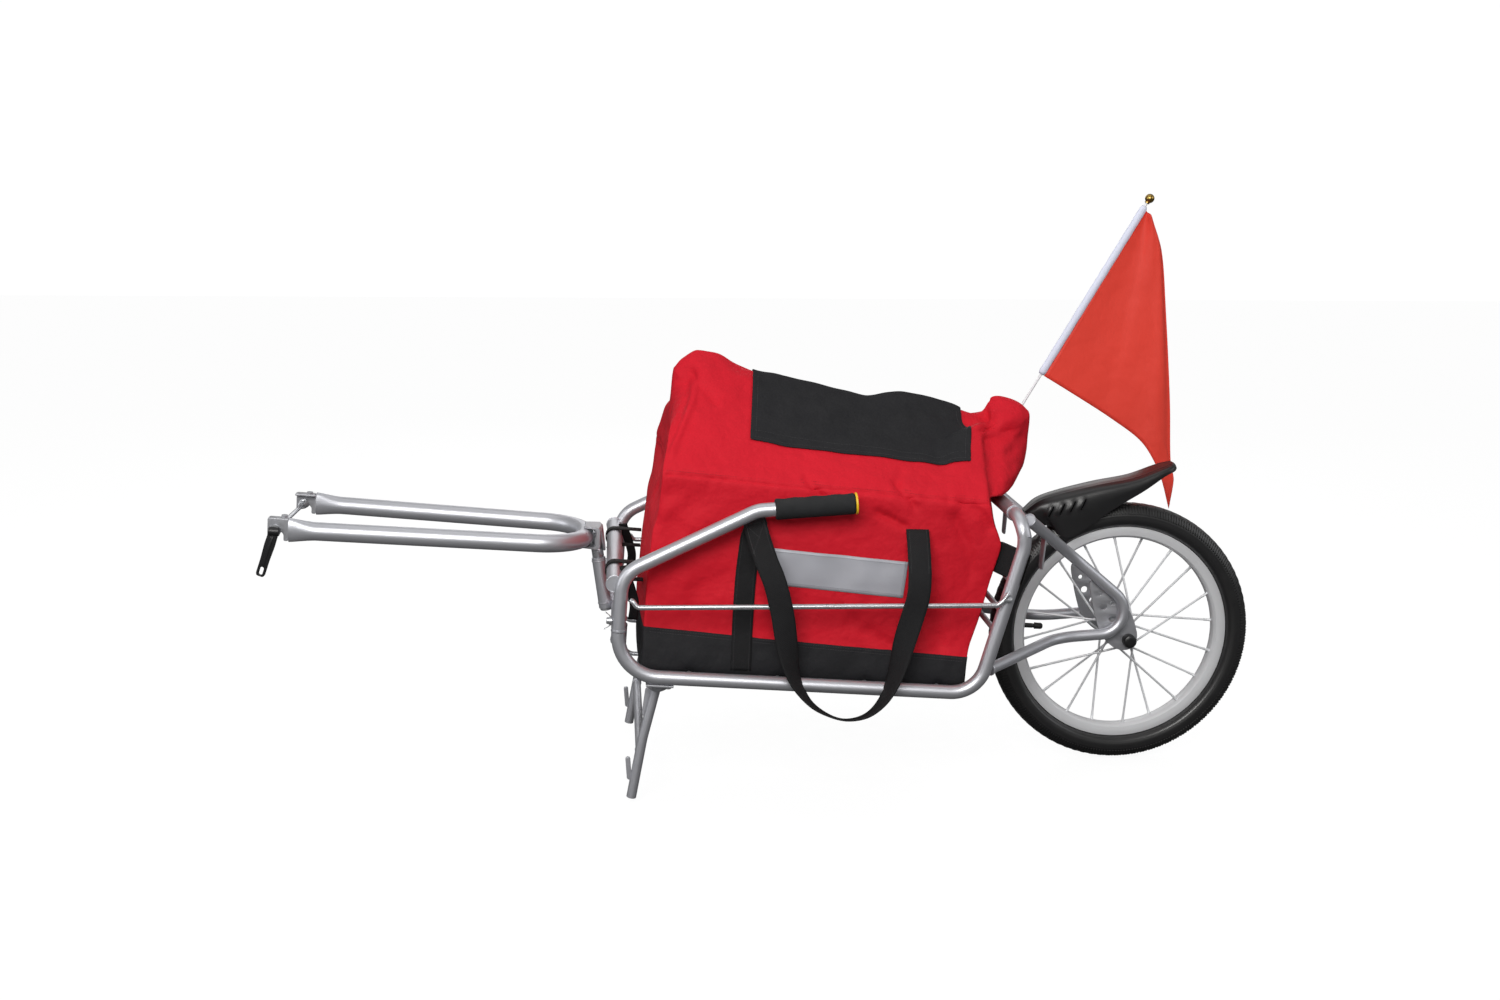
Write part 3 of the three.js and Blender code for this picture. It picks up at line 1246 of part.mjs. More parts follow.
function skewerNut() {
  const start = FORK_END_HALF + SHEET / 2 + TOUCH_GAP;
  const bore = SKEWER_RADIUS + SLIDE_CLEARANCE;
  const profile = [[bore, 0], [NUT_RADIUS, 0], [NUT_TIP_RADIUS, NUT_LENGTH], [bore, NUT_LENGTH], [bore, 0]];
  return turned(profile, at(DROPOUT_SLOT_X, start, DROPOUT_SLOT_Z), AXLE_DIRECTION);
}

function skewerLever() {
  const washerFace = FORK_END_HALF + SHEET / 2 + TOUCH_GAP + SKEWER_WASHER_THICKNESS;
  const middle = -(washerFace + TOUCH_GAP + LEVER_BARREL_RADIUS);
  const barrel = rod(
    at(DROPOUT_SLOT_X - LEVER_BARREL_HALF, middle, DROPOUT_SLOT_Z),
    at(DROPOUT_SLOT_X + LEVER_BARREL_HALF, middle, DROPOUT_SLOT_Z),
    LEVER_BARREL_RADIUS,
  );
  const down = new THREE.Vector2(-Math.sin(LEVER_LEAN), -Math.cos(LEVER_LEAN));
  const across = new THREE.Vector2(-down.y, down.x);
  const point = (distance, offset) => {
    const centre = new THREE.Vector2(DROPOUT_SLOT_X, DROPOUT_SLOT_Z);
    return centre.addScaledVector(down, distance).addScaledVector(across, offset).toArray();
  };
  const outline = LEVER_OUTLINE_SHARES.map(([share, side, narrowing]) =>
    point(LEVER_LENGTH * share, side * LEVER_WIDTHS[narrowing]),
  );
  const half = LEVER_THICKNESS / 2;
  const blade = plateXZ(outline, middle - half, middle + half);
  const [eyeFrom, eyeTo] = LEVER_EYE_SHARES.map((share) => point(LEVER_LENGTH * share, 0));
  const reach = half + CUT_MARGIN;
  const eye = linkXZ(eyeFrom, eyeTo, LEVER_WIDTHS[1] / 4, middle - reach, middle + reach);
  return cutBy(joined([barrel, blade]), [eye]);
}

// Luggage bag: cross-sections stepped from the front face to the rear face
function seamHeight(share) {
  return BAG_SEAM_FRONT + (BAG_SEAM_REAR - BAG_SEAM_FRONT) * share;
}

function bagSection(share) {
  const seam = seamHeight(share);
  const ridge = along(BAG_RIDGE, share);
  const wall = BAG_WALL_SHARES.map(([wide, tall]) => {
    const bulge = wide === 1 ? BAG_SIDE_BULGE : 0;
    const swell = bulge * Math.sin(Math.PI * tall) * Math.sin(Math.PI * share);
    return [BAG_HALF * wide + swell, BAG_FLOOR + (seam - BAG_FLOOR) * tall];
  });
  const roof = BAG_ROOF_SHARES.map(([wide, rise]) => [BAG_HALF * wide, seam + (ridge - seam) * rise]);
  return [...wall, ...roof];
}

function crownShare(y) {
  const share = THREE.MathUtils.clamp(Math.abs(y) / BAG_HALF, 0, 1);
  return Math.cos((share * Math.PI) / 2) ** BAG_CROWN_EASE;
}

function bagX(share, y, z) {
  const crown = crownShare(y);
  const front = along(BAG_FRONT_EDGE, z) - BAG_FRONT_CROWN * crown;
  const rear = along(BAG_REAR_EDGE, z) * (1 - crown) + along(BAG_REAR_CROWN, z) * crown;
  return front + (rear - front) * share;
}

// Triangles between two rows of points that may differ in number.
function stitched(rowA, rowB) {
  const triangles = [];
  let a = 0;
  let b = 0;
  while (a < rowA.length - 1 || b < rowB.length - 1) {
    const nextA = a < rowA.length - 1 ? (a + 1) / (rowA.length - 1) : Infinity;
    const nextB = b < rowB.length - 1 ? (b + 1) / (rowB.length - 1) : Infinity;
    if (nextA <= nextB) {
      triangles.push(rowA[a], rowA[a + 1], rowB[b]);
      a += 1;
    } else {
      triangles.push(rowA[a], rowB[b + 1], rowB[b]);
      b += 1;
    }
  }
  return triangles;
}

function bagHull() {
  const positions = [];
  const triangles = [];
  const addPoint = (share, y, z) => {
    positions.push(bagX(share, y, z), y, z);
    return positions.length / 3 - 1;
  };
  const sections = BAG_RINGS.map((share) => bagSection(share).map(([y, z]) => ({ share, y, z })));
  const rights = sections.map((half) => half.map((spot) => addPoint(spot.share, spot.y, spot.z)));
  const lefts = sections.map((half, ring) =>
    half.map((spot, i) => (spot.y === 0 ? rights[ring][i] : addPoint(spot.share, -spot.y, spot.z))),
  );
  for (let ring = 0; ring < sections.length - 1; ring += 1) {
    triangles.push(...stitched(rights[ring], rights[ring + 1]));
    triangles.push(...stitched(lefts[ring + 1], lefts[ring]));
    const floorHere = [lefts[ring][0], rights[ring][0]];
    const floorNext = [lefts[ring + 1][0], rights[ring + 1][0]];
    triangles.push(...stitched(floorHere, floorNext));
  }
  for (const ring of [0, sections.length - 1]) {
    const rows = sections[ring].map((spot, i) => {
      const row = [lefts[ring][i]];
      for (let column = 1; i > 0 && spot.y > 0 && column < BAG_END_COLUMNS; column += 1) {
        row.push(addPoint(spot.share, spot.y * ((column * 2) / BAG_END_COLUMNS - 1), spot.z));
      }
      return spot.y > 0 ? [...row, rights[ring][i]] : row;
    });
    for (let i = 0; i < rows.length - 1; i += 1) {
      triangles.push(...(ring === 0 ? stitched(rows[i + 1], rows[i]) : stitched(rows[i], rows[i + 1])));
    }
  }
  const geometry = new THREE.BufferGeometry();
  geometry.setAttribute("position", new THREE.Float32BufferAttribute(positions, 3));
  geometry.setIndex(triangles);
  return solidFrom(geometry);
}

function bagBody() {
  return bagHull().subtract(bandWedge(0));
}

function bagBase() {
  return bagHull().intersect(bandWedge(-TOUCH_GAP));
}

function bagLoop(side) {
  return webbing(LOOP_LINE, WEB_HALF, WEB_THICKNESS, side);
}

function bandWedge(lift) {
  const [frontX, frontZ] = BAND_TOP_FRONT;
  const [rearX, rearZ] = BAND_TOP_REAR;
  const slope = (rearZ - frontZ) / (rearX - frontX);
  const startX = frontX - HALF_TRACK;
  const endX = rearX + HALF_TRACK;
  const low = BAG_FLOOR - HALF_TRACK;
  return plateXZ(
    [
      [startX, low], [endX, low], [endX, rearZ + slope * (endX - rearX) + lift],
      [startX, frontZ + slope * (startX - frontX) + lift],
    ],
    -HALF_TRACK * 2,
    HALF_TRACK * 2,
  );
}

function roofHeight(x, y) {
  const profile = BAG_ROOF_SHARES.map(([wide, rise]) => [BAG_HALF * wide, rise]).reverse();
  const rise = along(profile, Math.abs(y));
  const heightAt = (share) => seamHeight(share) * (1 - rise) + along(BAG_RIDGE, share) * rise;
  let low = 0;
  let high = 1;
  for (let step = 0; step < PROBE_STEPS; step += 1) {
    const middle = (low + high) / 2;
    if (bagX(middle, y, heightAt(middle)) < x) {
      low = middle;
    } else {
      high = middle;
    }
  }
  return heightAt((low + high) / 2);
}

function bagFlap() {
  const [startX, endX] = FLAP_SPAN;
  const lower = [];
  const upper = [];
  for (let i = 0; i < FLAP_COLUMNS; i += 1) {
    const x = startX + ((endX - startX) * i) / (FLAP_COLUMNS - 1);
    const swell = FLAP_SWELL[i];
    const under = FLAP_ROW_SHARES.map((share, row) => {
      const y = share * BAG_HALF;
      const open = row >= 3 ? swell : 0;
      return at(x, y, roofHeight(x, y) + FLAP_LIFT + open);
    });
    lower.push(under);
    upper.push(under.map((point) => point.clone().add(at(0, 0, FLAP_THICKNESS))));
  }
  return sheetBetween(upper, lower);
}

function sideWallY(x, z) {
  const front = along(BAG_FRONT_EDGE, z);
  const rear = along(BAG_REAR_EDGE, z);
  const share = THREE.MathUtils.clamp((x - front) / (rear - front), 0, 1);
  const tall = (z - BAG_FLOOR) / (seamHeight(share) - BAG_FLOOR);
  return BAG_HALF + BAG_SIDE_BULGE * Math.sin(Math.PI * tall) * Math.sin(Math.PI * share);
}

function reflectiveStrip(side) {
  const [topFront, topRear, lowRear, lowFront] = STRIP_CORNERS;
  const backs = [];
  const faces = [];
  for (let i = 0; i <= STRIP_SPLITS; i += 1) {
    const share = i / STRIP_SPLITS;
    const mix = (a, b) => [a[0] + (b[0] - a[0]) * share, a[1] + (b[1] - a[1]) * share];
    const top = mix(topFront, topRear);
    const low = mix(lowFront, lowRear);
    const spots = [low, [(low[0] + top[0]) / 2, (low[1] + top[1]) / 2], top];
    const inner = spots.map(([x, z]) => at(x, side * (sideWallY(x, z) + TOUCH_GAP * 3), z));
    backs.push(inner);
    faces.push(inner.map((point) => point.clone().add(at(0, side * STRIP_THICKNESS, 0))));
  }
  return sheetBetween(faces, backs);
}

// Flat webbing that follows a line while its face turns
function webbing(line, halfWidth, thickness, side) {
  const centres = line.map(([x, z, outset]) => at(x, side * (HALF_TRACK + outset), z));
  const rings = line.map(([, , , lay], i) => {
    const before = centres[Math.max(0, i - 1)];
    const after = centres[Math.min(centres.length - 1, i + 1)];
    const tangent = after.clone().sub(before).normalize();
    const flat = tangent.clone().cross(at(0, 1, 0)).normalize();
    flat.applyAxisAngle(tangent, THREE.MathUtils.degToRad(lay * side));
    const face = tangent.clone().cross(flat).normalize();
    const corner = (a, b) =>
      centres[i].clone().addScaledVector(flat, a * halfWidth).addScaledVector(face, (b * thickness) / 2);
    return [corner(-1, -1), corner(1, -1), corner(1, 1), corner(-1, 1)];
  });
  return loft(rings);
}

// A closed webbing band round a bar, drawn as a ring cut from a slab
function laceXZ(barX, barZ, barRadius, tail, fromY, toY) {
  const inner = barRadius + LACE_CLEARANCE;
  const outer = inner + LACE_THICKNESS;
  const ys = [fromY, toY].sort((a, b) => a - b);
  const ring = rod(at(barX, ys[0], barZ), at(barX, ys[1], barZ), outer);
  const strap = block(
    at(Math.min(barX, tail), ys[0], barZ - outer),
    at(Math.max(barX, tail), ys[1], barZ + outer),
  );
  const hollowEnd = tail + (barX > tail ? LACE_THICKNESS : -LACE_THICKNESS);
  const hollow = block(
    at(Math.min(barX, hollowEnd), ys[0] - CUT_MARGIN, barZ - inner),
    at(Math.max(barX, hollowEnd), ys[1] + CUT_MARGIN, barZ + inner),
  );
  const bore = rod(at(barX, ys[0] - CUT_MARGIN, barZ), at(barX, ys[1] + CUT_MARGIN, barZ), inner);
  return cutBy(joined([ring, strap]), [hollow, bore]);
}

function frontLace(side) {
  const middle = side * FRONT_LACE_Y;
  const tail = bagX(0, FRONT_LACE_Y, UPPER_BAR_Z) - TOUCH_GAP - LACE_THICKNESS;
  return laceXZ(
    UPPER_BAR_X,
    UPPER_BAR_Z,
    UPPER_BAR_RADIUS,
    tail,
    middle - LACE_HALF_WIDTH,
    middle + LACE_HALF_WIDTH,
  );
}

function rearLace(side) {
  const x = rearUprightX(REAR_LACE_Z);
  const inner = RAIL_RADIUS + LACE_CLEARANCE;
  const outer = inner + LACE_THICKNESS;
  const y = side * HALF_TRACK;
  const axis = at(rearUprightX(REAR_LACE_Z + LACE_HALF_WIDTH) - x, 0, LACE_HALF_WIDTH).normalize();
  const low = at(x, y, REAR_LACE_Z).addScaledVector(axis, -LACE_HALF_WIDTH);
  const high = at(x, y, REAR_LACE_Z).addScaledVector(axis, LACE_HALF_WIDTH);
  const ring = rod(low, high, outer);
  const tailX = x - outer - REAR_LACE_REACH;
  const ys = [y - side * outer, y - side * (outer - LACE_THICKNESS)].sort((a, b) => a - b);
  const tail = block(
    at(tailX, ys[0], REAR_LACE_Z - LACE_HALF_WIDTH),
    at(x, ys[1], REAR_LACE_Z + LACE_HALF_WIDTH / 2),
  );
  const bore = rod(
    low.clone().addScaledVector(axis, -CUT_MARGIN - LACE_HALF_WIDTH),
    high.clone().addScaledVector(axis, CUT_MARGIN + LACE_HALF_WIDTH),
    inner,
  );
  return cutBy(joined([ring, tail]), [bore]);
}

// Flag pieces share the leaning pole axis
function polePoint(distance) {
  return at(POLE_ANCHOR[0], POLE_Y, POLE_ANCHOR[1]).addScaledVector(POLE_AXIS, distance);
}

function flagSocket() {
  const [low, high] = SOCKET_SPAN;
  const length = high - low;
  const bore = POLE_RADIUS + SLIDE_CLEARANCE;
  const profile = [
    [0, 0], [SOCKET_RADIUS, 0], [SOCKET_RADIUS, length], [bore, length],
    [bore, SOCKET_FLOOR], [0, SOCKET_FLOOR],
  ];
  const tube = turned(profile, polePoint(low), POLE_AXIS);
  const crossbar = rod(
    at(CROSSBAR_X, -HALF_TRACK, CROSSBAR_Z),
    at(CROSSBAR_X, HALF_TRACK, CROSSBAR_Z),
    RAIL_RADIUS + TOUCH_GAP,
  );
  return cutBy(tube, [crossbar]);
}

function flagPole() {
  return bar(polePoint(POLE_FOOT), polePoint(POLE_TOP), POLE_RADIUS, ROD_SIDES);
}

function flagBall() {
  const steps = 8;
  const profile = [];
  for (let i = 0; i <= steps; i += 1) {
    const angle = -Math.PI / 2 + (Math.PI * i) / steps;
    profile.push([BALL_RADIUS * Math.max(0, Math.cos(angle)), BALL_RADIUS * Math.sin(angle)]);
  }
  profile[0][0] = 0;
  profile[steps][0] = 0;
  const distance = POLE_TOP + TOUCH_GAP + BALL_RADIUS;
  return turned(profile, polePoint(distance), POLE_AXIS, TUBE_SIDES);
}

function flagSleeve() {
  const across = at(POLE_AXIS.z, 0, -POLE_AXIS.x);
  const ring = (distance) => {
    const points = [];
    for (let i = 0; i < TUBE_SIDES; i += 1) {
      const angle = (Math.PI * 2 * i) / TUBE_SIDES;
      const point = polePoint(distance).addScaledVector(across, SLEEVE_HALF_WIDTH * Math.cos(angle));
      points.push(point.add(at(0, SLEEVE_HALF_THICKNESS * Math.sin(angle), 0)));
    }
    return points;
  };
  const shell = loft([ring(SLEEVE_LOW), ring(SLEEVE_HIGH)]);
  const bore = rod(
    polePoint(SLEEVE_LOW - CUT_MARGIN),
    polePoint(SLEEVE_HIGH + CUT_MARGIN),
    POLE_RADIUS + SLIDE_CLEARANCE,
  );
  return cutBy(shell, [bore]);
}

function edgePoint(table, share) {
  const x = along(table.map(([s, px]) => [s, px]), share);
  const z = along(table.map(([s, , pz]) => [s, pz]), share);
  return at(x, POLE_Y, z);
}

function flagPennant() {
  const across = at(POLE_AXIS.z, 0, -POLE_AXIS.x);
  const start = SLEEVE_HALF_WIDTH + TOUCH_GAP;
  const faces = [];
  const backs = [];
  for (let row = 0; row < PENNANT_ROW_COUNT; row += 1) {
    const rise = (PENNANT_TOP_SHARE * row) / (PENNANT_ROW_COUNT - 1);
    const hoist = polePoint(SLEEVE_LOW + SLEEVE_LENGTH * rise).addScaledVector(across, start);
    const free = edgePoint(PENNANT_FREE_EDGE, rise);
    const points = [];
    for (let column = 0; column < PENNANT_COLUMN_COUNT; column += 1) {
      const share = column / (PENNANT_COLUMN_COUNT - 1);
      const straight = hoist.clone().lerp(free, share);
      const chord = edgePoint(PENNANT_LOW_EDGE, 0).lerp(edgePoint(PENNANT_LOW_EDGE, 1), share);
      const sag = edgePoint(PENNANT_LOW_EDGE, share).sub(chord);
      const point = straight.addScaledVector(sag, 1 - rise);
      point.y += PENNANT_FOLD * share * Math.sin(Math.PI * PENNANT_FOLD_COUNT * (share + rise / 3));
      points.push(point);
    }
    faces.push(points);
    backs.push(points.map((point) => point.clone().add(at(0, PENNANT_THICKNESS, 0))));
  }
  return sheetBetween(faces, backs);
}

const group = new THREE.Group();
group.name = "single_wheel_bike_trailer";

const level = new THREE.Group();
level.name = "level_frame";
level.rotation.y = PARKED_PITCH;
group.add(level);

function addPiece(name, solid, finish) {
  const result = solid.getMesh();
  const geometry = new THREE.BufferGeometry();
  geometry.setAttribute("position", new THREE.Float32BufferAttribute(result.vertProperties, 3));
  geometry.setIndex(Array.from(result.triVerts));
  geometry.computeVertexNormals();
  const mesh = new THREE.Mesh(geometry, new THREE.MeshStandardMaterial(FINISHES[finish]));
  mesh.name = name;
  level.add(mesh);
  return mesh;
}

// Every piece in the order it is put together
const PAIRED_PIECES = [
  ["side_loop", sideLoop, "tube"],
  ["stay_loop", stayLoop, "tube"],
  ["axle_plate", axlePlate, "plate"],
  ["handle", handle, "tube"],
  ["grip", grip, "foam"],
  ["grip_ring", gripRing, "yellow"],
  ["wing_bolt", wingBolt, "zinc"],
  ["side_rod", sideRod, "zinc"],
  ["stand_bracket", standBracket, "plate"],
  ["axle_cap", axleCap, "plastic"],
  ["spokes", spokeSet, "zinc"],
  ["hitch_dropout", hitchDropout, "plate"],
  ["reflective_strip", reflectiveStrip, "greyCloth"],
  ["bag_loop", bagLoop, "blackCloth"],
  ["front_lace", frontLace, "blackCloth"],
  ["rear_lace", rearLace, "blackCloth"],
];

const SINGLE_PIECES = [
  ["rear_crossbar", rearCrossbar, "tube"],
  ["upper_crossbar", upperCrossbar, "tube"],
  ["floor_rack", floorRack, "tube"],
  ["rear_rack", rearRack, "tube"],
  ["head_sleeve", headSleeve, "tube"],
  ["stand_frame", standFrame, "tube"],
  ["axle", axle, "zinc"],
  ["hub_shell", hubShell, "zinc"],
  ["rim", rim, "alloy"],
  ["inner_tube", innerTube, "rubber"],
  ["valve_stem", valveStem, "rubber"],
  ["tyre", tyre, "rubber"],
  ["mudguard", mudguard, "plastic"],
  ["mudguard_bracket", guardBracket, "plate"],
  ["pivot_stem", pivotStem, "plate"],
  ["hitch_fork", hitchFork, "tube"],
  ["hitch_bracket", hitchBracket, "tube"],
  ["skewer_rod", skewerRod, "zinc"],
  ["skewer_nut", skewerNut, "zinc"],
  ["skewer_lever", skewerLever, "plastic"],
  ["bag_body", bagBody, "redCloth"],
  ["bag_base", bagBase, "blackCloth"],
  ["bag_flap", bagFlap, "blackCloth"],
  ["flag_socket", flagSocket, "tube"],
  ["flag_pole", flagPole, "whitePlastic"],
  ["flag_ball", flagBall, "brass"],
  ["flag_sleeve", flagSleeve, "whiteCloth"],
  ["flag_pennant", flagPennant, "flagCloth"],
];

// The hitch pieces share the small turn that the fork is parked with
const TURNED_PIECES = [
  "pivot_stem", "hitch_fork", "hitch_bracket", "hitch_dropout_left", "hitch_dropout_right", "skewer_rod",
  "skewer_nut", "skewer_lever",
];

for (const [name, make, finish] of PAIRED_PIECES) {
  addPiece(`${name}_left`, make(LEFT), finish);
  addPiece(`${name}_right`, make(RIGHT), finish);
}
for (const [name, make, finish] of SINGLE_PIECES) {
  addPiece(name, make(), finish);
}

const foot = headPoint(0);
for (const mesh of level.children.filter((piece) => TURNED_PIECES.includes(piece.name))) {
  mesh.geometry.translate(-foot.x, -foot.y, -foot.z);
  mesh.geometry.applyQuaternion(new THREE.Quaternion().setFromAxisAngle(HEAD_AXIS, FORK_YAW));
  mesh.geometry.translate(foot.x, foot.y, foot.z);
}

// The origin is on the floor under the middle of the parked trailer
group.updateMatrixWorld(true);
const bounds = new THREE.Box3().setFromObject(level, true);
level.position.set(-(bounds.min.x + bounds.max.x) / 2, -(bounds.min.y + bounds.max.y) / 2, -bounds.min.z);

export default group;
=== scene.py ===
import math

import bmesh
import bpy
from mathutils import Matrix, Quaternion, Vector, noise
from mathutils.bvhtree import BVHTree


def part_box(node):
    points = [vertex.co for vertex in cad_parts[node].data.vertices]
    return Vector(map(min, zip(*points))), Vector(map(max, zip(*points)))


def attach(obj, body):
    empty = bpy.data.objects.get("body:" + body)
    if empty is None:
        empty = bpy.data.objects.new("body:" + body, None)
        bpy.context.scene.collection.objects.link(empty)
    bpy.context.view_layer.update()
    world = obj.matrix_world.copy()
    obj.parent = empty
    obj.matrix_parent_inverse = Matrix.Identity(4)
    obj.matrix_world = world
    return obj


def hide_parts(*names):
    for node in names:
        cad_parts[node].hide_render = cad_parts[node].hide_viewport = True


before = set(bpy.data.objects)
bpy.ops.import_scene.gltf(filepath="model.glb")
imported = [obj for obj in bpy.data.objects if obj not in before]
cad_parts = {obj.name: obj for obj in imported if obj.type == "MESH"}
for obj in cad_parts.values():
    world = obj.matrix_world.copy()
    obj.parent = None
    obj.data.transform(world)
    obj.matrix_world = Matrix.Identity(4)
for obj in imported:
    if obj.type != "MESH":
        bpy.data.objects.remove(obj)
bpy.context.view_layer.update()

# The trailer's own lengths are millimetres, drawn with its rails level. LEVEL parks it on its stand.
MM = 0.001
LEFT, RIGHT = -1, 1
HANDS = {"left": LEFT, "right": RIGHT}
LEVEL = (
    Matrix.Translation((0.517832, 0, 0.1935))
    @ Matrix.Rotation(math.radians(3.75), 4, "Y")
    @ Matrix.Scale(MM, 4)
)
HEAD_LEAN = math.radians(11.7)
HEAD_AXIS = Vector((-math.sin(HEAD_LEAN), 0, math.cos(HEAD_LEAN)))
HEAD_FRONT = Vector((math.cos(HEAD_LEAN), 0, math.sin(HEAD_LEAN)))
HEAD_FOOT = Vector((-755.2, 0, -7))
HITCH = (
    LEVEL
    @ Matrix.Translation(HEAD_FOOT)
    @ Matrix.Rotation(math.radians(-2.3), 4, HEAD_AXIS)
    @ Matrix.Translation(-HEAD_FOOT)
)
ACROSS = Vector((0, 1, 0))

RAIL_RADIUS = 9.5
HALF_TRACK = 200
RAIL_Z = -48.6
UPRIGHT_X = -739
CROSSBAR = Vector((-212.5, 0, 196))
CROSSBAR_HALF = 160
UPPER_BAR = Vector((-748, 0, 75))
LOWER_BAR = Vector((-738.6, 0, -1))
REAR_FOOT_X = -248.5
REAR_HEAD_X, REAR_HEAD_Z = -203, 163
FLOOR_RODS = (-640, -520, -400, -300)
BACK_RODS = (38, 66, 108)
ROD_RADIUS = 4
ROD_HALF = HALF_TRACK - RAIL_RADIUS - 0.3
RUNNER_Y = 90


# Lines, tables and outlines
def bent(corners, bends, step=6):
    """A tube's line: straight runs joined by arcs of the given radii."""
    corners = [Vector(c) for c in corners]
    line = [corners[0]]
    for before, corner, after, bend in zip(corners, corners[1:], corners[2:], bends):
        arriving = (corner - before).normalized()
        leaving = (after - corner).normalized()
        turn = arriving.angle(leaving)
        start = corner - arriving * bend * math.tan(turn / 2)
        centre = corner + (leaving - arriving).normalized() * bend / math.cos(turn / 2)
        pin = arriving.cross(leaving).normalized()
        count = max(2, math.ceil(math.degrees(turn) / step))
        for i in range(count + 1):
            line.append(centre + Quaternion(pin, turn * i / count) @ (start - centre))
    line.append(corners[-1])
    return line


def flow(points, count, closed=False):
    """Evenly numbered points on a smooth line through the given ones."""
    points = [Vector(p) for p in points]
    spans = len(points) if closed else len(points) - 1
    line = []
    for k in range(count):
        place = spans * k / (count if closed else count - 1)
        i = min(int(place), spans - 1)
        t = place - i
        if closed:
            a, b, c, d = (points[(i + n) % len(points)] for n in (-1, 0, 1, 2))
        else:
            b, c = points[i], points[i + 1]
            a = points[i - 1] if i else b * 2 - c
            d = points[i + 2] if i + 2 < len(points) else c * 2 - b
        line.append(
            (b * 2 + (c - a) * t + (a * 2 - b * 5 + c * 4 - d) * t**2 + (b * 3 - a - c * 3 + d) * t**3) / 2
        )
    return line


def run_at(line, i):
    """The way that a line runs at one of its points."""
    return (line[min(i + 1, len(line) - 1)] - line[max(i - 1, 0)]).normalized()


def table_at(table, x, column=1):
    """A smooth value from a table, without overshoot between its rows."""
    xs = [row[0] for row in table]
    ys = [row[column] for row in table]
    if x <= xs[0] or x >= xs[-1]:
        return ys[0] if x <= xs[0] else ys[-1]
    i = max(k for k in range(len(xs) - 1) if xs[k] <= x)
    slopes = [(ys[k + 1] - ys[k]) / (xs[k + 1] - xs[k]) for k in range(len(xs) - 1)]

    def lean(k):
        if k == 0 or k == len(xs) - 1:
            return slopes[min(k, len(slopes) - 1)]
        a, b = slopes[k - 1], slopes[k]
        return 0 if a * b <= 0 else 2 * a * b / (a + b)

    h = xs[i + 1] - xs[i]
    t = (x - xs[i]) / h
    return (
        ys[i] * (1 + 2 * t) * (1 - t) ** 2
        + lean(i) * h * t * (1 - t) ** 2
        + ys[i + 1] * t * t * (3 - 2 * t)
        + lean(i + 1) * h * t * t * (t - 1)
    )


def eased(outline, radius, steps=4):
    """The same outline with its corners rounded."""
    points = [Vector(p) for p in outline]
    result = []
    for i, corner in enumerate(points):
        before, after = points[i - 1], points[(i + 1) % len(points)]
        reach = min(radius, (before - corner).length * 0.45, (after - corner).length * 0.45)
        a = corner + (before - corner).normalized() * reach
        b = corner + (after - corner).normalized() * reach
        for k in range(steps + 1):
            t = k / steps
            result.append(a * (1 - t) ** 2 + corner * 2 * t * (1 - t) + b * t * t)
    return result


def slot_outline(start, end, radius, steps=8):
    """A long hole with round ends, or a link, between two points."""
    start, end = Vector(start), Vector(end)
    heading = math.atan2((end - start).y, (end - start).x) if (end - start).length else 0
    outline = []
    for centre, base in ((end, heading - math.pi / 2), (start, heading + math.pi / 2)):
        for k in range(steps + 1):
            angle = base + math.pi * k / steps
            outline.append(centre + Vector((math.cos(angle), math.sin(angle))) * radius)
    return outline


# Faces of a piece
def put(name, data):
    made = bpy.data.objects.new(name, data)
    bpy.context.scene.collection.objects.link(made)
    return made


def made_plain(holder):
    """The plain mesh that an object's curve or modifiers make."""
    bpy.context.view_layer.update()
    return bpy.data.meshes.new_from_object(holder.evaluated_get(bpy.context.evaluated_depsgraph_get()))


class Skin:
    """The faces of one piece in millimetres, each with its place on a map in metres."""

    def __init__(self):
        self.points = []
        self.faces = []
        self.maps = []

    def face(self, corners, spots):
        self.faces.append(corners)
        self.maps.append(spots)

    def rows(self, rows, ring=False, loop=False, ends=True):
        """Quads between rows of matching points. A ring closes each row, a loop the last row to the first."""
        base, count = len(self.points), len(rows[0])
        for row in rows:
            self.points.extend(row)
        columns = count if ring else count - 1
        spans = len(rows) if loop else len(rows) - 1
        across = []
        for row in rows:
            run = [0.0]
            for j in range(columns):
                run.append(run[-1] + (row[(j + 1) % count] - row[j]).length * MM)
            across.append(run)
        down = [0.0]
        probes = range(0, count, max(1, count // 6))
        for i in range(spans):
            after = rows[(i + 1) % len(rows)]
            down.append(down[-1] + sum((after[j] - rows[i][j]).length for j in probes) * MM / len(probes))
        for i in range(spans):
            k = (i + 1) % len(rows)
            for j in range(columns):
                m = (j + 1) % count
                self.face(
                    (base + i * count + j, base + i * count + m, base + k * count + m, base + k * count + j),
                    (
                        (across[i][j], down[i]), (across[i][j + 1], down[i]), (across[k][j + 1], down[i + 1]),
                        (across[k][j], down[i + 1]),
                    ),
                )
        if ring and ends and not loop:
            for i in (0, len(rows) - 1):
                row = rows[i]
                middle = sum(row, Vector()) / count
                u = (row[0] - middle).normalized()
                v = (row[count // 4] - middle).normalized()
                self.face(
                    tuple(base + i * count + j for j in range(count)),
                    tuple(((p - middle).dot(u) * MM, (p - middle).dot(v) * MM) for p in row),
                )

    def take(self, mesh, place):
        """The faces of a ready mesh, set in place."""
        base = len(self.points)
        self.points.extend(place @ v.co for v in mesh.vertices)
        for polygon in mesh.polygons:
            flat = [mesh.vertices[v].co for v in polygon.vertices]
            self.face(
                tuple(base + v for v in polygon.vertices),
                tuple((p.x * MM, (p.y + p.z) * MM) for p in flat),
            )


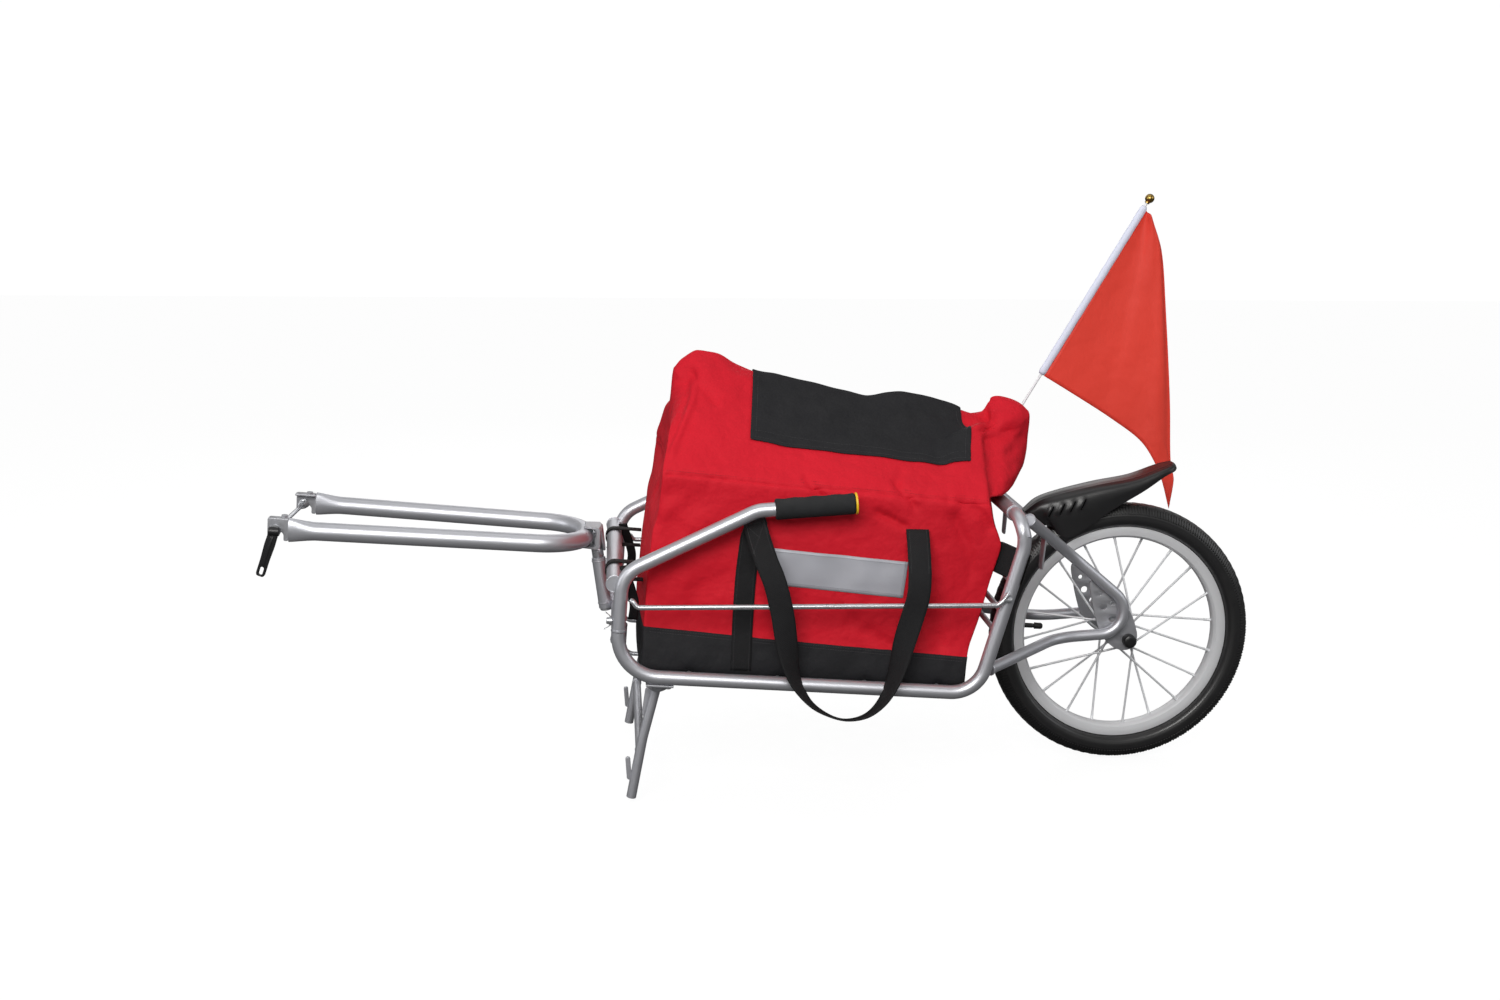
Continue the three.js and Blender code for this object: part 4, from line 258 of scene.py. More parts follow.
def rings_along(line, radii, sides=20):
    """Rings of points round a line."""
    radii = radii if isinstance(radii, (list, tuple)) else [radii] * len(line)
    rows = []
    heading = next((b - a).normalized() for a, b in zip(line, line[1:]) if (b - a).length > 1e-6)
    spoke = heading.orthogonal().normalized()
    for i, (point, radius) in enumerate(zip(line, radii)):
        runs = []
        if i and (point - line[i - 1]).length > 1e-6:
            runs.append((point - line[i - 1]).normalized())
        if i < len(line) - 1 and (line[i + 1] - point).length > 1e-6:
            runs.append((line[i + 1] - point).normalized())
        now = sum(runs, Vector()).normalized() if runs else heading
        spoke = heading.rotation_difference(now) @ spoke
        heading = now
        rows.append([point + Quaternion(now, math.tau * k / sides) @ spoke * radius for k in range(sides)])
    return rows


def tube(skin, line, radius, sides=20, soft=0.7):
    """A round tube or rod with eased ends."""
    start = (line[1] - line[0]).normalized() * soft
    end = (line[-1] - line[-2]).normalized() * soft
    path = [line[0], line[0] + start, *line[1:-1], line[-1] - end, line[-1]]
    radii = [radius - soft, *[radius] * (len(path) - 2), radius - soft]
    skin.rows(rings_along(path, radii, sides), ring=True)


def turned(skin, profile, origin, axis, sides=32, loop=False):
    """A profile of (radius, distance) pairs turned about an axis."""
    axis = Vector(axis).normalized()
    spoke = axis.orthogonal().normalized()
    origin = Vector(origin)
    spokes = [Quaternion(axis, math.tau * k / sides) @ spoke for k in range(sides)]
    rows = [[origin + axis * along + out * max(radius, 0.05) for out in spokes] for radius, along in profile]
    skin.rows(rows, ring=True, loop=loop)


def plate(skin, outlines, from_y, to_y, edge=0.5):
    """A plate drawn in the X and Z plane: the first outline is its rim, the rest are holes."""
    thickness = abs(to_y - from_y)
    shape = bpy.data.curves.new("blank", "CURVE")
    shape.dimensions = "2D"
    shape.fill_mode = "BOTH"
    shape.extrude = thickness / 2 - edge
    shape.bevel_depth = edge
    shape.bevel_resolution = 1
    shape.offset = -edge
    for outline in outlines:
        spline = shape.splines.new("POLY")
        spline.points.add(len(outline) - 1)
        spline.points.foreach_set("co", [c for p in outline for c in (p[0], p[1], 0, 1)])
        spline.use_cyclic_u = True
    blank = put("blank", shape)
    mesh = made_plain(blank)
    work = bmesh.new()
    work.from_mesh(mesh)
    bmesh.ops.remove_doubles(work, verts=work.verts, dist=0.002)
    work.to_mesh(mesh)
    work.free()
    stand_up = Matrix.Translation((0, (from_y + to_y) / 2, 0)) @ Matrix.Rotation(math.pi / 2, 4, "X")
    skin.take(mesh, stand_up)
    bpy.data.objects.remove(blank)
    bpy.data.curves.remove(shape)
    bpy.data.meshes.remove(mesh)


def block(skin, low, high, edge=0.5):
    """A bar stock block with eased edges, its length along X."""
    y0, y1, z0, z1 = low[1], high[1], low[2], high[2]
    outline = eased([(y0, z0), (y1, z0), (y1, z1), (y0, z1)], edge * 2, 2)
    middle = Vector(((y0 + y1) / 2, (z0 + z1) / 2))

    def row(x, inset):
        points = []
        for p in outline:
            away = (p - middle).normalized() * inset
            points.append(Vector((x, p.x - away.x, p.y - away.y)))
        return points

    skin.rows(
        [row(low[0], edge), row(low[0] + edge, 0), row(high[0] - edge, 0), row(high[0], edge)], ring=True,
    )


def weld(skin, centre, axis, radius, bead=1.5):
    """A low rippled bead where two tubes are joined."""
    axis = Vector(axis).normalized()
    spoke = axis.orthogonal().normalized()
    centre = Vector(centre)
    rows = []
    for k in range(36):
        out = Quaternion(axis, math.tau * k / 36) @ spoke
        size = bead * (1 + 0.16 * math.sin(k * 2.6) + 0.1 * noise.noise(centre * 0.05 + out * 2))
        ring = []
        for m in range(8):
            angle = math.tau * m / 8
            reach = radius + size * 0.7 * math.cos(angle)
            ring.append(centre + out * reach + axis * size * math.sin(angle))
        rows.append(ring)
    skin.rows(rows, ring=True, loop=True)


def ribbon(line, faces_out, half):
    """A strap's rows across its line. faces_out gives the outward direction at each point."""
    rows = []
    for i, (point, out) in enumerate(zip(line, faces_out)):
        wide = run_at(line, i).cross(out).normalized()
        rows.append([point + wide * half * share for share in (-1, -0.5, 0, 0.5, 1)])
    return rows


def both_sides(half):
    """A profile of (radius, distance) pairs, carried on to the other side of its middle."""
    return [*half, *[(r, -y) for r, y in reversed(half) if y > 0]]


def cut_size(rows):
    """The width and length in metres that a sheet of these rows was cut to."""
    run = lambda line: sum((b - a).length for a, b in zip(line, line[1:])) * MM
    columns = list(zip(*rows))
    return sum(run(row) for row in rows) / len(rows), sum(run(column) for column in columns) / len(columns)


UNMOVED = Matrix.Identity(4)


def mesh_of(skin, place=UNMOVED, mapped=False):
    """The skin as a mesh with its faces turned outwards."""
    mesh = bpy.data.meshes.new("pattern")
    mesh.from_pydata([place @ p for p in skin.points], [], skin.faces)
    if mapped:
        spots = [c for face in skin.maps for spot in face for c in spot]
        mesh.uv_layers.new(name="Map").data.foreach_set("uv", spots)
    work = bmesh.new()
    work.from_mesh(mesh)
    bmesh.ops.recalc_face_normals(work, faces=work.faces)
    work.to_mesh(mesh)
    work.free()
    return mesh


def piece(name, skin, material, body, node=None, place=LEVEL, **shaping):
    """Makes the piece's mesh in the parked trailer, hangs it under its body and hides the solid it stands for.
    """
    mesh = mesh_of(skin, place, mapped=True)
    mesh.materials.append(material)
    return settle(name, mesh, body, node, **shaping)


def settle(name, mesh, body, node=None, crease=35, wall=0.0, round_off=0.0, subdivide=0):
    """Gives a finished mesh its shading, its wall and its body, and hides the solid it stands for."""
    mesh.name = name
    mesh.shade_smooth()
    mesh.set_sharp_from_angle(angle=math.radians(crease))
    made = put(name, mesh)
    if wall:
        thick = made.modifiers.new("wall", "SOLIDIFY")
        thick.thickness = wall * MM
        thick.offset = 0
    if round_off:
        ease = made.modifiers.new("edges", "BEVEL")
        ease.width = round_off * MM
        ease.segments = 2
        ease.limit_method = "ANGLE"
        ease.angle_limit = math.radians(40)
    if subdivide:
        smooth = made.modifiers.new("smooth", "SUBSURF")
        smooth.levels = smooth.render_levels = subdivide
    if node:
        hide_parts(node)
    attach(made, body)
    return made


def cloth_piece(name, rows, material, node=None, held="stretched", rests_on=("bag_shell",), **shaping):
    """A sheet of cloth through rows of points."""
    skin = Skin()
    skin.rows(rows)
    made = piece(name, skin, material, "cradle", node, **shaping)


# Finishes
def srgb(red, green, blue):
    def linear(value):
        value /= 255
        return value / 12.92 if value <= 0.04045 else ((value + 0.055) / 1.055) ** 2.4

    return (linear(red), linear(green), linear(blue), 1)


def join(tree, source, target):
    """Links a socket to another, or gives it a plain value."""
    if hasattr(source, "is_output"):
        tree.links.new(source, target)
    else:
        target.default_value = source


def add_node(tree, kind, inputs=None, **settings):
    """A node with its settings. Its inputs, by name or number, take links or values."""
    made = tree.nodes.new(kind)
    for key, value in settings.items():
        setattr(made, key, value)
    for label, source in (inputs or {}).items():
        join(tree, source, made.inputs[label])
    return made


def maths(tree, operation, *values, clamp=False):
    made = add_node(tree, "ShaderNodeMath", dict(enumerate(values)), operation=operation, use_clamp=clamp)
    return made.outputs[0]


def clouds(tree, vector, scale, detail):
    """Soft noise of the given scale."""
    return add_node(tree, "ShaderNodeTexNoise", {"Vector": vector, "Scale": scale, "Detail": detail}).outputs[0]


def scaled(tree, colour, gain):
    return add_node(tree, "ShaderNodeVectorMath", {0: colour, "Scale": gain}, operation="SCALE").outputs[0]


def xyz_of(tree, source):
    return add_node(tree, "ShaderNodeSeparateXYZ", {0: source}).outputs


def xyz_from(tree, **values):
    return add_node(tree, "ShaderNodeCombineXYZ", values).outputs[0]


def node_group(name, family, inputs, outputs):
    """An empty group with named sockets, what it is given and what it gives out."""
    tree = bpy.data.node_groups.new(name, f"{family}NodeTree")
    for label, kind, value in inputs:
        socket = tree.interface.new_socket(name=label, in_out="INPUT", socket_type=f"NodeSocket{kind}")
        if value is not None:
            socket.default_value = value
    for label, kind in outputs:
        tree.interface.new_socket(name=label, in_out="OUTPUT", socket_type=f"NodeSocket{kind}")
    return tree, add_node(tree, "NodeGroupInput").outputs, add_node(tree, "NodeGroupOutput").inputs


def mottle_effect():
    """Patches a little lighter and darker than the colour given."""
    inputs = [
        ("Color", "Color", (1, 1, 1, 1)), ("Vector", "Vector", None), ("Scale", "Float", 20.0),
        ("Amount", "Float", 0.1),
    ]
    tree, given, out = node_group("mottle", "Shader", inputs, [("Color", "Color")])
    cloud = clouds(tree, given["Vector"], given["Scale"], 4)
    swing = maths(tree, "MULTIPLY", maths(tree, "SUBTRACT", cloud, 0.5), given["Amount"])
    gain = maths(tree, "ADD", maths(tree, "MULTIPLY", swing, 2.0), 1.0)
    join(tree, scaled(tree, given["Color"], gain), out["Color"])
    return tree


def weave_effect():
    """Plain weave read from the cloth's own map: threads a metre give its fineness. Its Shade output is painted
    shade between the threads.
    """
    inputs = [("Map", "Vector", None), ("Threads", "Float", 900.0), ("Rib", "Float", 0.0)]
    tree, given, out = node_group("weave", "Shader", inputs, [("Height", "Float"), ("Shade", "Float")])
    spot = xyz_of(tree, given["Map"])
    turn = maths(tree, "MULTIPLY", given["Threads"], math.pi)
    warp = maths(tree, "SINE", maths(tree, "MULTIPLY", spot["X"], turn))
    weft = maths(tree, "SINE", maths(tree, "MULTIPLY", spot["Y"], turn))
    cross = maths(tree, "MULTIPLY", warp, weft)
    rib = maths(tree, "MULTIPLY", maths(tree, "ABSOLUTE", weft), given["Rib"])
    height = maths(tree, "ADD", maths(tree, "MULTIPLY", cross, 0.5), rib)
    join(tree, height, out["Height"])
    join(tree, maths(tree, "ADD", maths(tree, "MULTIPLY", cross, 0.5), 0.5), out["Shade"])
    return tree


def dust_effect():
    """Fine dust that settles on upward faces, and more in patches."""
    inputs = [
        ("Color", "Color", (1, 1, 1, 1)), ("Roughness", "Float", 0.5),
        ("Dust", "Color", (0.5, 0.47, 0.42, 1)), ("Amount", "Float", 0.1), ("Vector", "Vector", None),
    ]
    tree, given, out = node_group("dust", "Shader", inputs, [("Color", "Color"), ("Roughness", "Float")])
    cloud = clouds(tree, given["Vector"], 55, 6)
    facing = xyz_of(tree, add_node(tree, "ShaderNodeNewGeometry").outputs["Normal"])
    upward = maths(tree, "ADD", maths(tree, "MULTIPLY", facing["Z"], 0.6), 0.4, clamp=True)
    mask = maths(tree, "MULTIPLY", maths(tree, "MULTIPLY", upward, cloud), given["Amount"])
    mask = maths(tree, "MULTIPLY", mask, 2.0, clamp=True)
    mix = add_node(tree, "ShaderNodeMix", data_type="RGBA")
    for place, source in ((0, mask), (6, given["Color"]), (7, given["Dust"])):
        join(tree, source, mix.inputs[place])
    join(tree, mix.outputs[2], out["Color"])
    rough = maths(tree, "ADD", given["Roughness"], maths(tree, "MULTIPLY", mask, 0.6), clamp=True)
    join(tree, rough, out["Roughness"])
    return tree


def grain_effect():
    """A grain of the given scale, as a value between two limits and as relief."""
    inputs = [
        ("Vector", "Vector", None), ("Scale", "Float", 800.0), ("Low", "Float", 0.3), ("High", "Float", 0.4),
    ]
    tree, given, out = node_group("grain", "Shader", inputs, [("Value", "Float"), ("Height", "Float")])
    speck = clouds(tree, given["Vector"], given["Scale"], 3)
    limits = {"From Min": 0.3, "From Max": 0.7, "To Min": given["Low"], "To Max": given["High"]}
    spread = add_node(tree, "ShaderNodeMapRange", {"Value": speck, **limits})
    join(tree, spread.outputs[0], out["Value"])
    join(tree, speck, out["Height"])
    return tree


MOTTLE, WEAVE, DUST, GRAIN = mottle_effect(), weave_effect(), dust_effect(), grain_effect()


def use(tree, group, **values):
    made = add_node(tree, "ShaderNodeGroup", node_tree=group)
    for label, value in values.items():
        join(tree, value, made.inputs[label])
    return made.outputs


def pressed(tree, height, strength, distance):
    """Relief of the given strength and depth."""
    return add_node(tree, "ShaderNodeBump", {"Strength": strength, "Distance": distance, "Height": height})


def finish(
    name, colour, rough=(0.4, 0.5), metal=0.0, patch=(18, 0.08), grain=600, bump=0.15, depth=0.0002,
    threads=0, rib=0.0, dust=0.08, coat=0.0, gloss=0.5, pile=None, crumple=0.0,
):
    """A finish: a tint in patches, a grain or weave in relief with painted shade between the weave's threads,
    creases and settled dust.
    """
    material = bpy.data.materials.new(name)
    material.use_nodes = True
    tree = material.node_tree
    shader = tree.nodes["Principled BSDF"]
    shader.inputs["Metallic"].default_value = metal
    shader.inputs["Specular IOR Level"].default_value = gloss
    shader.inputs["Coat Weight"].default_value = coat
    shader.inputs["Coat Roughness"].default_value = 0.25
    spots = add_node(tree, "ShaderNodeTexCoord").outputs
    tint = use(tree, MOTTLE, Color=colour, Vector=spots["Object"], Scale=patch[0], Amount=patch[1])
    speck = use(tree, GRAIN, Vector=spots["Object"], Scale=grain, Low=rough[0], High=rough[1])
    shade, relief = tint["Color"], speck["Height"]
    if threads:
        cloth = use(tree, WEAVE, Map=spots["UV"], Threads=threads, Rib=rib)
        # The weave's painted shade: the colour is darker between the threads.
        gain = maths(tree, "ADD", maths(tree, "MULTIPLY", cloth["Shade"], 0.22), 0.86)
        shade = scaled(tree, shade, gain)
        relief = maths(tree, "ADD", cloth["Height"], maths(tree, "MULTIPLY", relief, 0.5))
    settled = {"Color": shade, "Roughness": speck["Value"], "Amount": dust, "Vector": spots["Object"]}
    if pile:
        settled["Dust"] = pile
    top = use(tree, DUST, **settled)
    join(tree, top["Color"], shader.inputs["Base Color"])
    join(tree, top["Roughness"], shader.inputs["Roughness"])
    press = pressed(tree, relief, bump, depth)
    if crumple:
        waves = use(tree, GRAIN, Vector=spots["Object"], Scale=26, Low=0, High=1)
        join(tree, pressed(tree, waves["Height"], 0.8, crumple).outputs[0], press.inputs["Normal"])
    join(tree, press.outputs[0], shader.inputs["Normal"])
    return material


TUBE = finish(
    "satin_tube_paint", srgb(198, 199, 205), (0.37, 0.47), 0.8, (9, 0.05), 900, 0.06, dust=0.03, coat=0.1,
)
STEEL = finish("painted_plate", srgb(170, 171, 176), (0.36, 0.5), 0.6, (14, 0.12), 300, 0.12, dust=0.06)
ZINC = finish("bright_zinc", srgb(200, 202, 206), (0.24, 0.38), 0.85, (30, 0.12), 500, 0.1, dust=0.05)
SPOKE_STEEL = finish("spoke_wire", srgb(224, 226, 229), (0.3, 0.4), 0.15, (40, 0.06), 900, 0.05, dust=0.04)
ALLOY = finish("rim_alloy", srgb(222, 223, 226), (0.34, 0.46), 0.25, (12, 0.08), 400, 0.1, dust=0.08)
RUBBER = finish(
    "tyre_rubber", srgb(19, 19, 21), (0.3, 0.46), 0, (15, 0.2), 900, 0.3, 0.0004, dust=0.08, coat=0.35,
    pile=srgb(96, 94, 90),
)
FOAM = finish(
    "grip_foam", srgb(36, 37, 39), (0.8, 0.95), 0, (60, 0.2), 1400, 0.6, 0.0008, dust=0.06, gloss=0.2,
    pile=srgb(110, 108, 104),
)
PLASTIC = finish(
    "black_plastic", srgb(17, 17, 19), (0.28, 0.42), 0, (20, 0.12), 1100, 0.16, dust=0.05, coat=0.05,
    pile=srgb(96, 95, 92),
)
YELLOW = finish("yellow_plastic", srgb(236, 190, 30), (0.34, 0.44), 0, (30, 0.05), 800, 0.06, dust=0.04)
RED_CLOTH = finish(
    "red_cloth", srgb(202, 22, 40), (0.62, 0.74), 0, (7, 0.1), 700, 0.3, 0.0004, 1300, dust=0.01, gloss=0.16,
    pile=srgb(214, 120, 120), crumple=0.008,
)
BLACK_CLOTH = finish(
    "black_cloth", srgb(28, 28, 31), (0.58, 0.74), 0, (9, 0.16), 700, 0.4, 0.0004, 1300, dust=0.04, gloss=0.2,
    pile=srgb(96, 95, 93), crumple=0.006,
)
WEBBING = finish(
    "black_webbing", srgb(24, 24, 26), (0.62, 0.76), 0, (16, 0.14), 900, 0.6, 0.0006, 620, 0.9, dust=0.04,
    gloss=0.2, pile=srgb(96, 95, 93),
)
GREY_CLOTH = finish(
    "grey_reflective", srgb(172, 173, 181), (0.36, 0.48), 0.15, (22, 0.08), 900, 0.2, 0.0003, 1700, dust=0.05
)
# The flag's wide lighter and darker patches are painted light shining through the thin cloth, laid over its own
# uneven tone.
FLAG_CLOTH_PAINTED_GLOW = finish(
    "flag_cloth", srgb(230, 66, 52), (0.5, 0.62), 0, (4, 0.14), 500, 0.2, 0.0003, 1900, dust=0.01, gloss=0.3,
    pile=srgb(240, 150, 130), crumple=0.003,
)
WHITE_CLOTH = finish(
    "white_sleeve", srgb(222, 226, 244), (0.5, 0.62), 0, (20, 0.03), 500, 0.15, 0.0002, dust=0.02,
)
WHITE_POLE = finish(
    "white_pole", srgb(232, 232, 236), (0.3, 0.4), 0, (30, 0.03), 900, 0.05, dust=0.03, coat=0.2,
)
BRASS = finish("brass_ball", srgb(168, 138, 70), (0.2, 0.34), 1.0, (60, 0.16), 600, 0.1, dust=0.05)
# The seam thread is a darker red than the cloth: partly its own colour, partly painted shade along the side
# seam.
RED_THREAD_AND_SEAM_SHADE = finish("red_thread_and_seam_shade", srgb(140, 10, 24), (0.6, 0.7), 0, (80, 0.1), 900, 0.2, dust=0.02, gloss=0.2)
BLACK_THREAD = finish(
    "black_thread", srgb(58, 58, 60), (0.6, 0.7), 0, (80, 0.1), 900, 0.2, dust=0.02, gloss=0.2,
)
GREY_THREAD = finish("grey_thread", srgb(104, 105, 112), (0.6, 0.7), 0, (80, 0.1), 900, 0.2, dust=0.02)


# Repeats
def finish_repeats(tree, given, out, copies):
    """Makes the copies real and paints them, at the end of a repeating tree."""
    real = add_node(tree, "GeometryNodeRealizeInstances", {0: copies})
    painting = {"Geometry": real.outputs[0], "Material": given["Finish"]}
    paint = add_node(tree, "GeometryNodeSetMaterial", painting)
    join(tree, paint.outputs[0], out[0])


def wheel_round_tree():
    """Copies of one shape set round the wheel's axle, which lies along Y."""
    inputs = [("Geometry", "Geometry", None), ("Count", "Int", 12), ("Finish", "Material", None)]
    tree, given, out = node_group("set_round_wheel", "Geometry", inputs, [("Geometry", "Geometry")])
    spots = add_node(tree, "GeometryNodePoints", {"Count": given["Count"]})
    index = add_node(tree, "GeometryNodeInputIndex")
    share = maths(tree, "DIVIDE", index.outputs[0], given["Count"])
    turn = xyz_from(tree, Y=maths(tree, "MULTIPLY", share, math.tau))
    places = {"Points": spots.outputs[0], "Instance": given["Geometry"], "Rotation": turn}
    finish_repeats(tree, given, out, add_node(tree, "GeometryNodeInstanceOnPoints", places).outputs[0])
    return tree


def stitch_run_tree():
    """Stitches laid end to end along the piece's own edges."""
    inputs = [
        ("Geometry", "Geometry", None), ("Pitch", "Float", 0.0036), ("Stitch Length", "Float", 0.0025),
        ("Thread Radius", "Float", 0.00035), ("Finish", "Material", None),
    ]
    tree, given, out = node_group("sew_along", "Geometry", inputs, [("Geometry", "Geometry")])
    line = add_node(tree, "GeometryNodeMeshToCurve", {"Mesh": given["Geometry"]})
    even = add_node(tree, "GeometryNodeResampleCurve", mode="LENGTH")
    join(tree, line.outputs[0], even.inputs["Curve"])
    join(tree, given["Pitch"], even.inputs["Length"])
    along = add_node(tree, "GeometryNodeInputTangent")
    aim = add_node(tree, "FunctionNodeAlignRotationToVector", {"Vector": along.outputs[0]}, axis="Z")
    thread = add_node(tree, "GeometryNodeMeshUVSphere", {"Segments": 6, "Rings": 5, "Radius": 1.0})
    half_long = maths(tree, "MULTIPLY", given["Stitch Length"], 0.5)
    size = xyz_from(tree, X=given["Thread Radius"], Y=given["Thread Radius"], Z=half_long)
    places = {"Points": even.outputs[0], "Instance": thread.outputs["Mesh"]}
    places |= {"Rotation": aim.outputs[0], "Scale": size}
    finish_repeats(tree, given, out, add_node(tree, "GeometryNodeInstanceOnPoints", places).outputs[0])
    return tree


ROUND_WHEEL, SEW_ALONG = wheel_round_tree(), stitch_run_tree()


def repeated(mesh, tree, **values):
    """The plain mesh that a repeating tree makes of a small one."""
    holder = put("pattern", mesh)
    repeat = holder.modifiers.new("repeat", "NODES")
    repeat.node_group = tree
    sockets = {s.name: s.identifier for s in tree.interface.items_tree if s.in_out == "INPUT"}
    for label, value in values.items():
        repeat[sockets[label.replace("_", " ")]] = value
    made = made_plain(holder)
    holder.modifiers.remove(repeat)
    bpy.data.objects.remove(holder)
    return made


def wheel_repeat(name, skin, material, count):
    """Copies round the wheel, made from one shape drawn about the wheel's centre."""
    mesh = repeated(mesh_of(skin, Matrix.Scale(MM, 4)), ROUND_WHEEL, Count=count, Finish=material)
    mesh.transform(LEVEL @ Matrix.Scale(1 / MM, 4))
    settle(name, mesh, "wheel")


STITCH_SHARE = 0.72


def sewn(name, lines, material, by=Vector(), body="cradle", pitch=3.4, radius=0.35):
    """Rows of stitches along lines given in millimetres, all moved by the same small step."""
    points, edges = [], []
    for line in lines:
        base = len(points)
        points.extend(LEVEL @ (p + by) for p in line)
        edges.extend((base + i, base + i + 1) for i in range(len(line) - 1))
    mesh = bpy.data.meshes.new("thread_line")
    mesh.from_pydata(points, edges, [])
    sizes = {"Pitch": pitch * MM, "Stitch_Length": pitch * STITCH_SHARE * MM, "Thread_Radius": radius * MM}
    settle(name, repeated(mesh, SEW_ALONG, Finish=material, **sizes), body)


# Cradle
def side_tube(hand, side):
    y = side * HALF_TRACK
    line = bent(
        [
            (UPRIGHT_X, y, 11.3),
            (UPRIGHT_X, y, RAIL_Z),
            (REAR_FOOT_X, y, RAIL_Z),
            (REAR_HEAD_X, y, REAR_HEAD_Z),
            (CROSSBAR.x, y, CROSSBAR.z),
            (CROSSBAR.x, side * CROSSBAR_HALF, CROSSBAR.z),
        ],
        [57, 46, 60, 28],
    )
    skin = Skin()
    tube(skin, line, RAIL_RADIUS, 28)
    up = Vector((0, 0, 1))
    tube(skin, [line[0] - up, line[0] + up * 47], 7.6, 24)
    inward = Vector((0, -side, 0))
    tube(skin, [line[-1] - inward, line[-1] + inward * 46], 7.6, 24)
    for x in FLOOR_RODS:
        weld(skin, (x, y - side * (RAIL_RADIUS - 0.4), RAIL_Z), ACROSS, ROD_RADIUS + 0.2, 1.4)
    weld(skin, (LOWER_BAR.x, y - side * (RAIL_RADIUS - 1), LOWER_BAR.z), ACROSS, 9.6, 1.6)
    piece(f"side_tube_{hand}", skin, TUBE, "cradle", f"side_loop_{hand}")


def rear_cross_tube():
    half = CROSSBAR_HALF - 0.3
    profile = [
        (6, -half), (10.6, -half), (11.2, -half + 0.7), (11.2, -half + 5.3), (10.6, -half + 6),
        (9.5, -half + 6.2),
    ]
    profile += [(9.5, -60), (9.5, 0)]
    profile += [(radius, -along) for radius, along in reversed(profile[:-1])]
    skin = Skin()
    turned(skin, profile, CROSSBAR, ACROSS, 36)
    for y in (-150, 150):
        turned(
            skin, [(0, 9.2), (3.4, 9.2), (3.4, 11), (2.6, 11.8), (0, 12)], (CROSSBAR.x, y, CROSSBAR.z),
            (0, 0, 1), 12,
        )
    piece("rear_cross_tube", skin, TUBE, "cradle", "rear_crossbar")


def upper_cross_tube():
    skin = Skin()
    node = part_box("upper_crossbar")
    half = (node[1].y - node[0].y) / 2 / MM
    tube(skin, [Vector((UPPER_BAR.x, y, UPPER_BAR.z)) for y in (-half, half)], 11, 32)
    for side in (LEFT, RIGHT):
        weld(skin, (UPPER_BAR.x, side * (half - 1), UPPER_BAR.z), ACROSS, 11, 1.5)
        weld(skin, (UPPER_BAR.x + 1, side * 14, UPPER_BAR.z - 1), ACROSS, 11, 1.3)
    piece("upper_cross_tube", skin, TUBE, "cradle", "upper_crossbar")


def cross_rod(skin, x, z):
    tube(skin, [Vector((x, -ROD_HALF, z)), Vector((x, ROD_HALF, z))], ROD_RADIUS, 16)


def floor_rods():
    skin = Skin()
    for x in FLOOR_RODS:
        cross_rod(skin, x, RAIL_Z)
    tube(skin, [Vector((LOWER_BAR.x, y, LOWER_BAR.z)) for y in (-ROD_HALF, ROD_HALF)], 9.5, 28)
    for y in (-RUNNER_Y, RUNNER_Y):
        line = bent([(FLOOR_RODS[-1], y, RAIL_Z), (-728, y, RAIL_Z), (-728, y, LOWER_BAR.z - 4)], [14])
        tube(skin, line, 3, 14)
        for x in FLOOR_RODS[:3]:
            weld(skin, (x, y, RAIL_Z), (1, 0, 0), 3.6, 1.0)
        weld(skin, (-729, y, LOWER_BAR.z - 7), (0, 0, 1), 3.6, 1.1)
    piece("floor_rods", skin, TUBE, "cradle", "floor_rack")


def rear_upright_x(z):
    return REAR_FOOT_X + (z - RAIL_Z) * (REAR_HEAD_X - REAR_FOOT_X) / (REAR_HEAD_Z - RAIL_Z)


def back_rods():
    skin = Skin()
    for z in BACK_RODS:
        cross_rod(skin, rear_upright_x(z), z)
    for y in (-70, 70):
        tube(skin, [Vector((rear_upright_x(z), y, z)) for z in (36, 110)], ROD_RADIUS, 16)
        for z in BACK_RODS:
            weld(skin, (rear_upright_x(z), y, z), ACROSS, 4.4, 1.0)
    piece("back_rods", skin, TUBE, "cradle", "rear_rack")


def stay_line(side):
    return bent(
        [
            (-238, side * 196, -17.2), (-108, side * 62.3, -0.3), (39.3, side * 62.3, 19.2),
            (-105, side * 62.3, 125.5), (-203, side * 188, 196),
        ],
        [70, 34, 70],
    )


def stay_tube(hand, side):
    line = stay_line(side)
    start = (line[0] - line[1]).normalized()
    end = (line[-1] - line[-2]).normalized()
    skin = Skin()
    clipped = [line[0] - start * 9, *line[1:-1], line[-1] - end * 12]
    tube(skin, clipped, 8, 28)
    weld(skin, clipped[0], start, 8.2, 1.5)
    weld(skin, clipped[-1], end, 8.2, 1.5)
    tab = eased([Vector((side * y, z)) for y, z in ((110, 112), (110, 160), (131, 160), (127, 112))], 4)
    middle = Vector((side * 120, 136))
    rows = []
    for x, share in ((-158.5, 0.97), (-158.2, 1), (-156.3, 1), (-156, 0.97)):
        rows.append([Vector((x, *(middle + (p - middle) * share))) for p in tab])
    skin.rows(rows, ring=True)
    piece(f"stay_tube_{hand}", skin, TUBE, "cradle", f"stay_loop_{hand}")


PLATE_OUTLINE = [
    (-65, 84), (-59, 53), (-49, 23), (-42, 8), (-33, -3), (-19, -13), (-5, -16), (8, -11), (13, 4), (9, 20),
    (2, 36), (-9, 50), (-24, 64), (-44, 79),
]
PLATE_HOLES = [(-50, 66, 3.2), (-42, 47, 5), (-27, 31, 5.4), (-30, 53, 3.2)]


def circle(x, z, radius, count=24):
    angles = [math.tau * k / count for k in range(count)]
    return [Vector((x + radius * math.cos(a), z + radius * math.sin(a))) for a in angles]


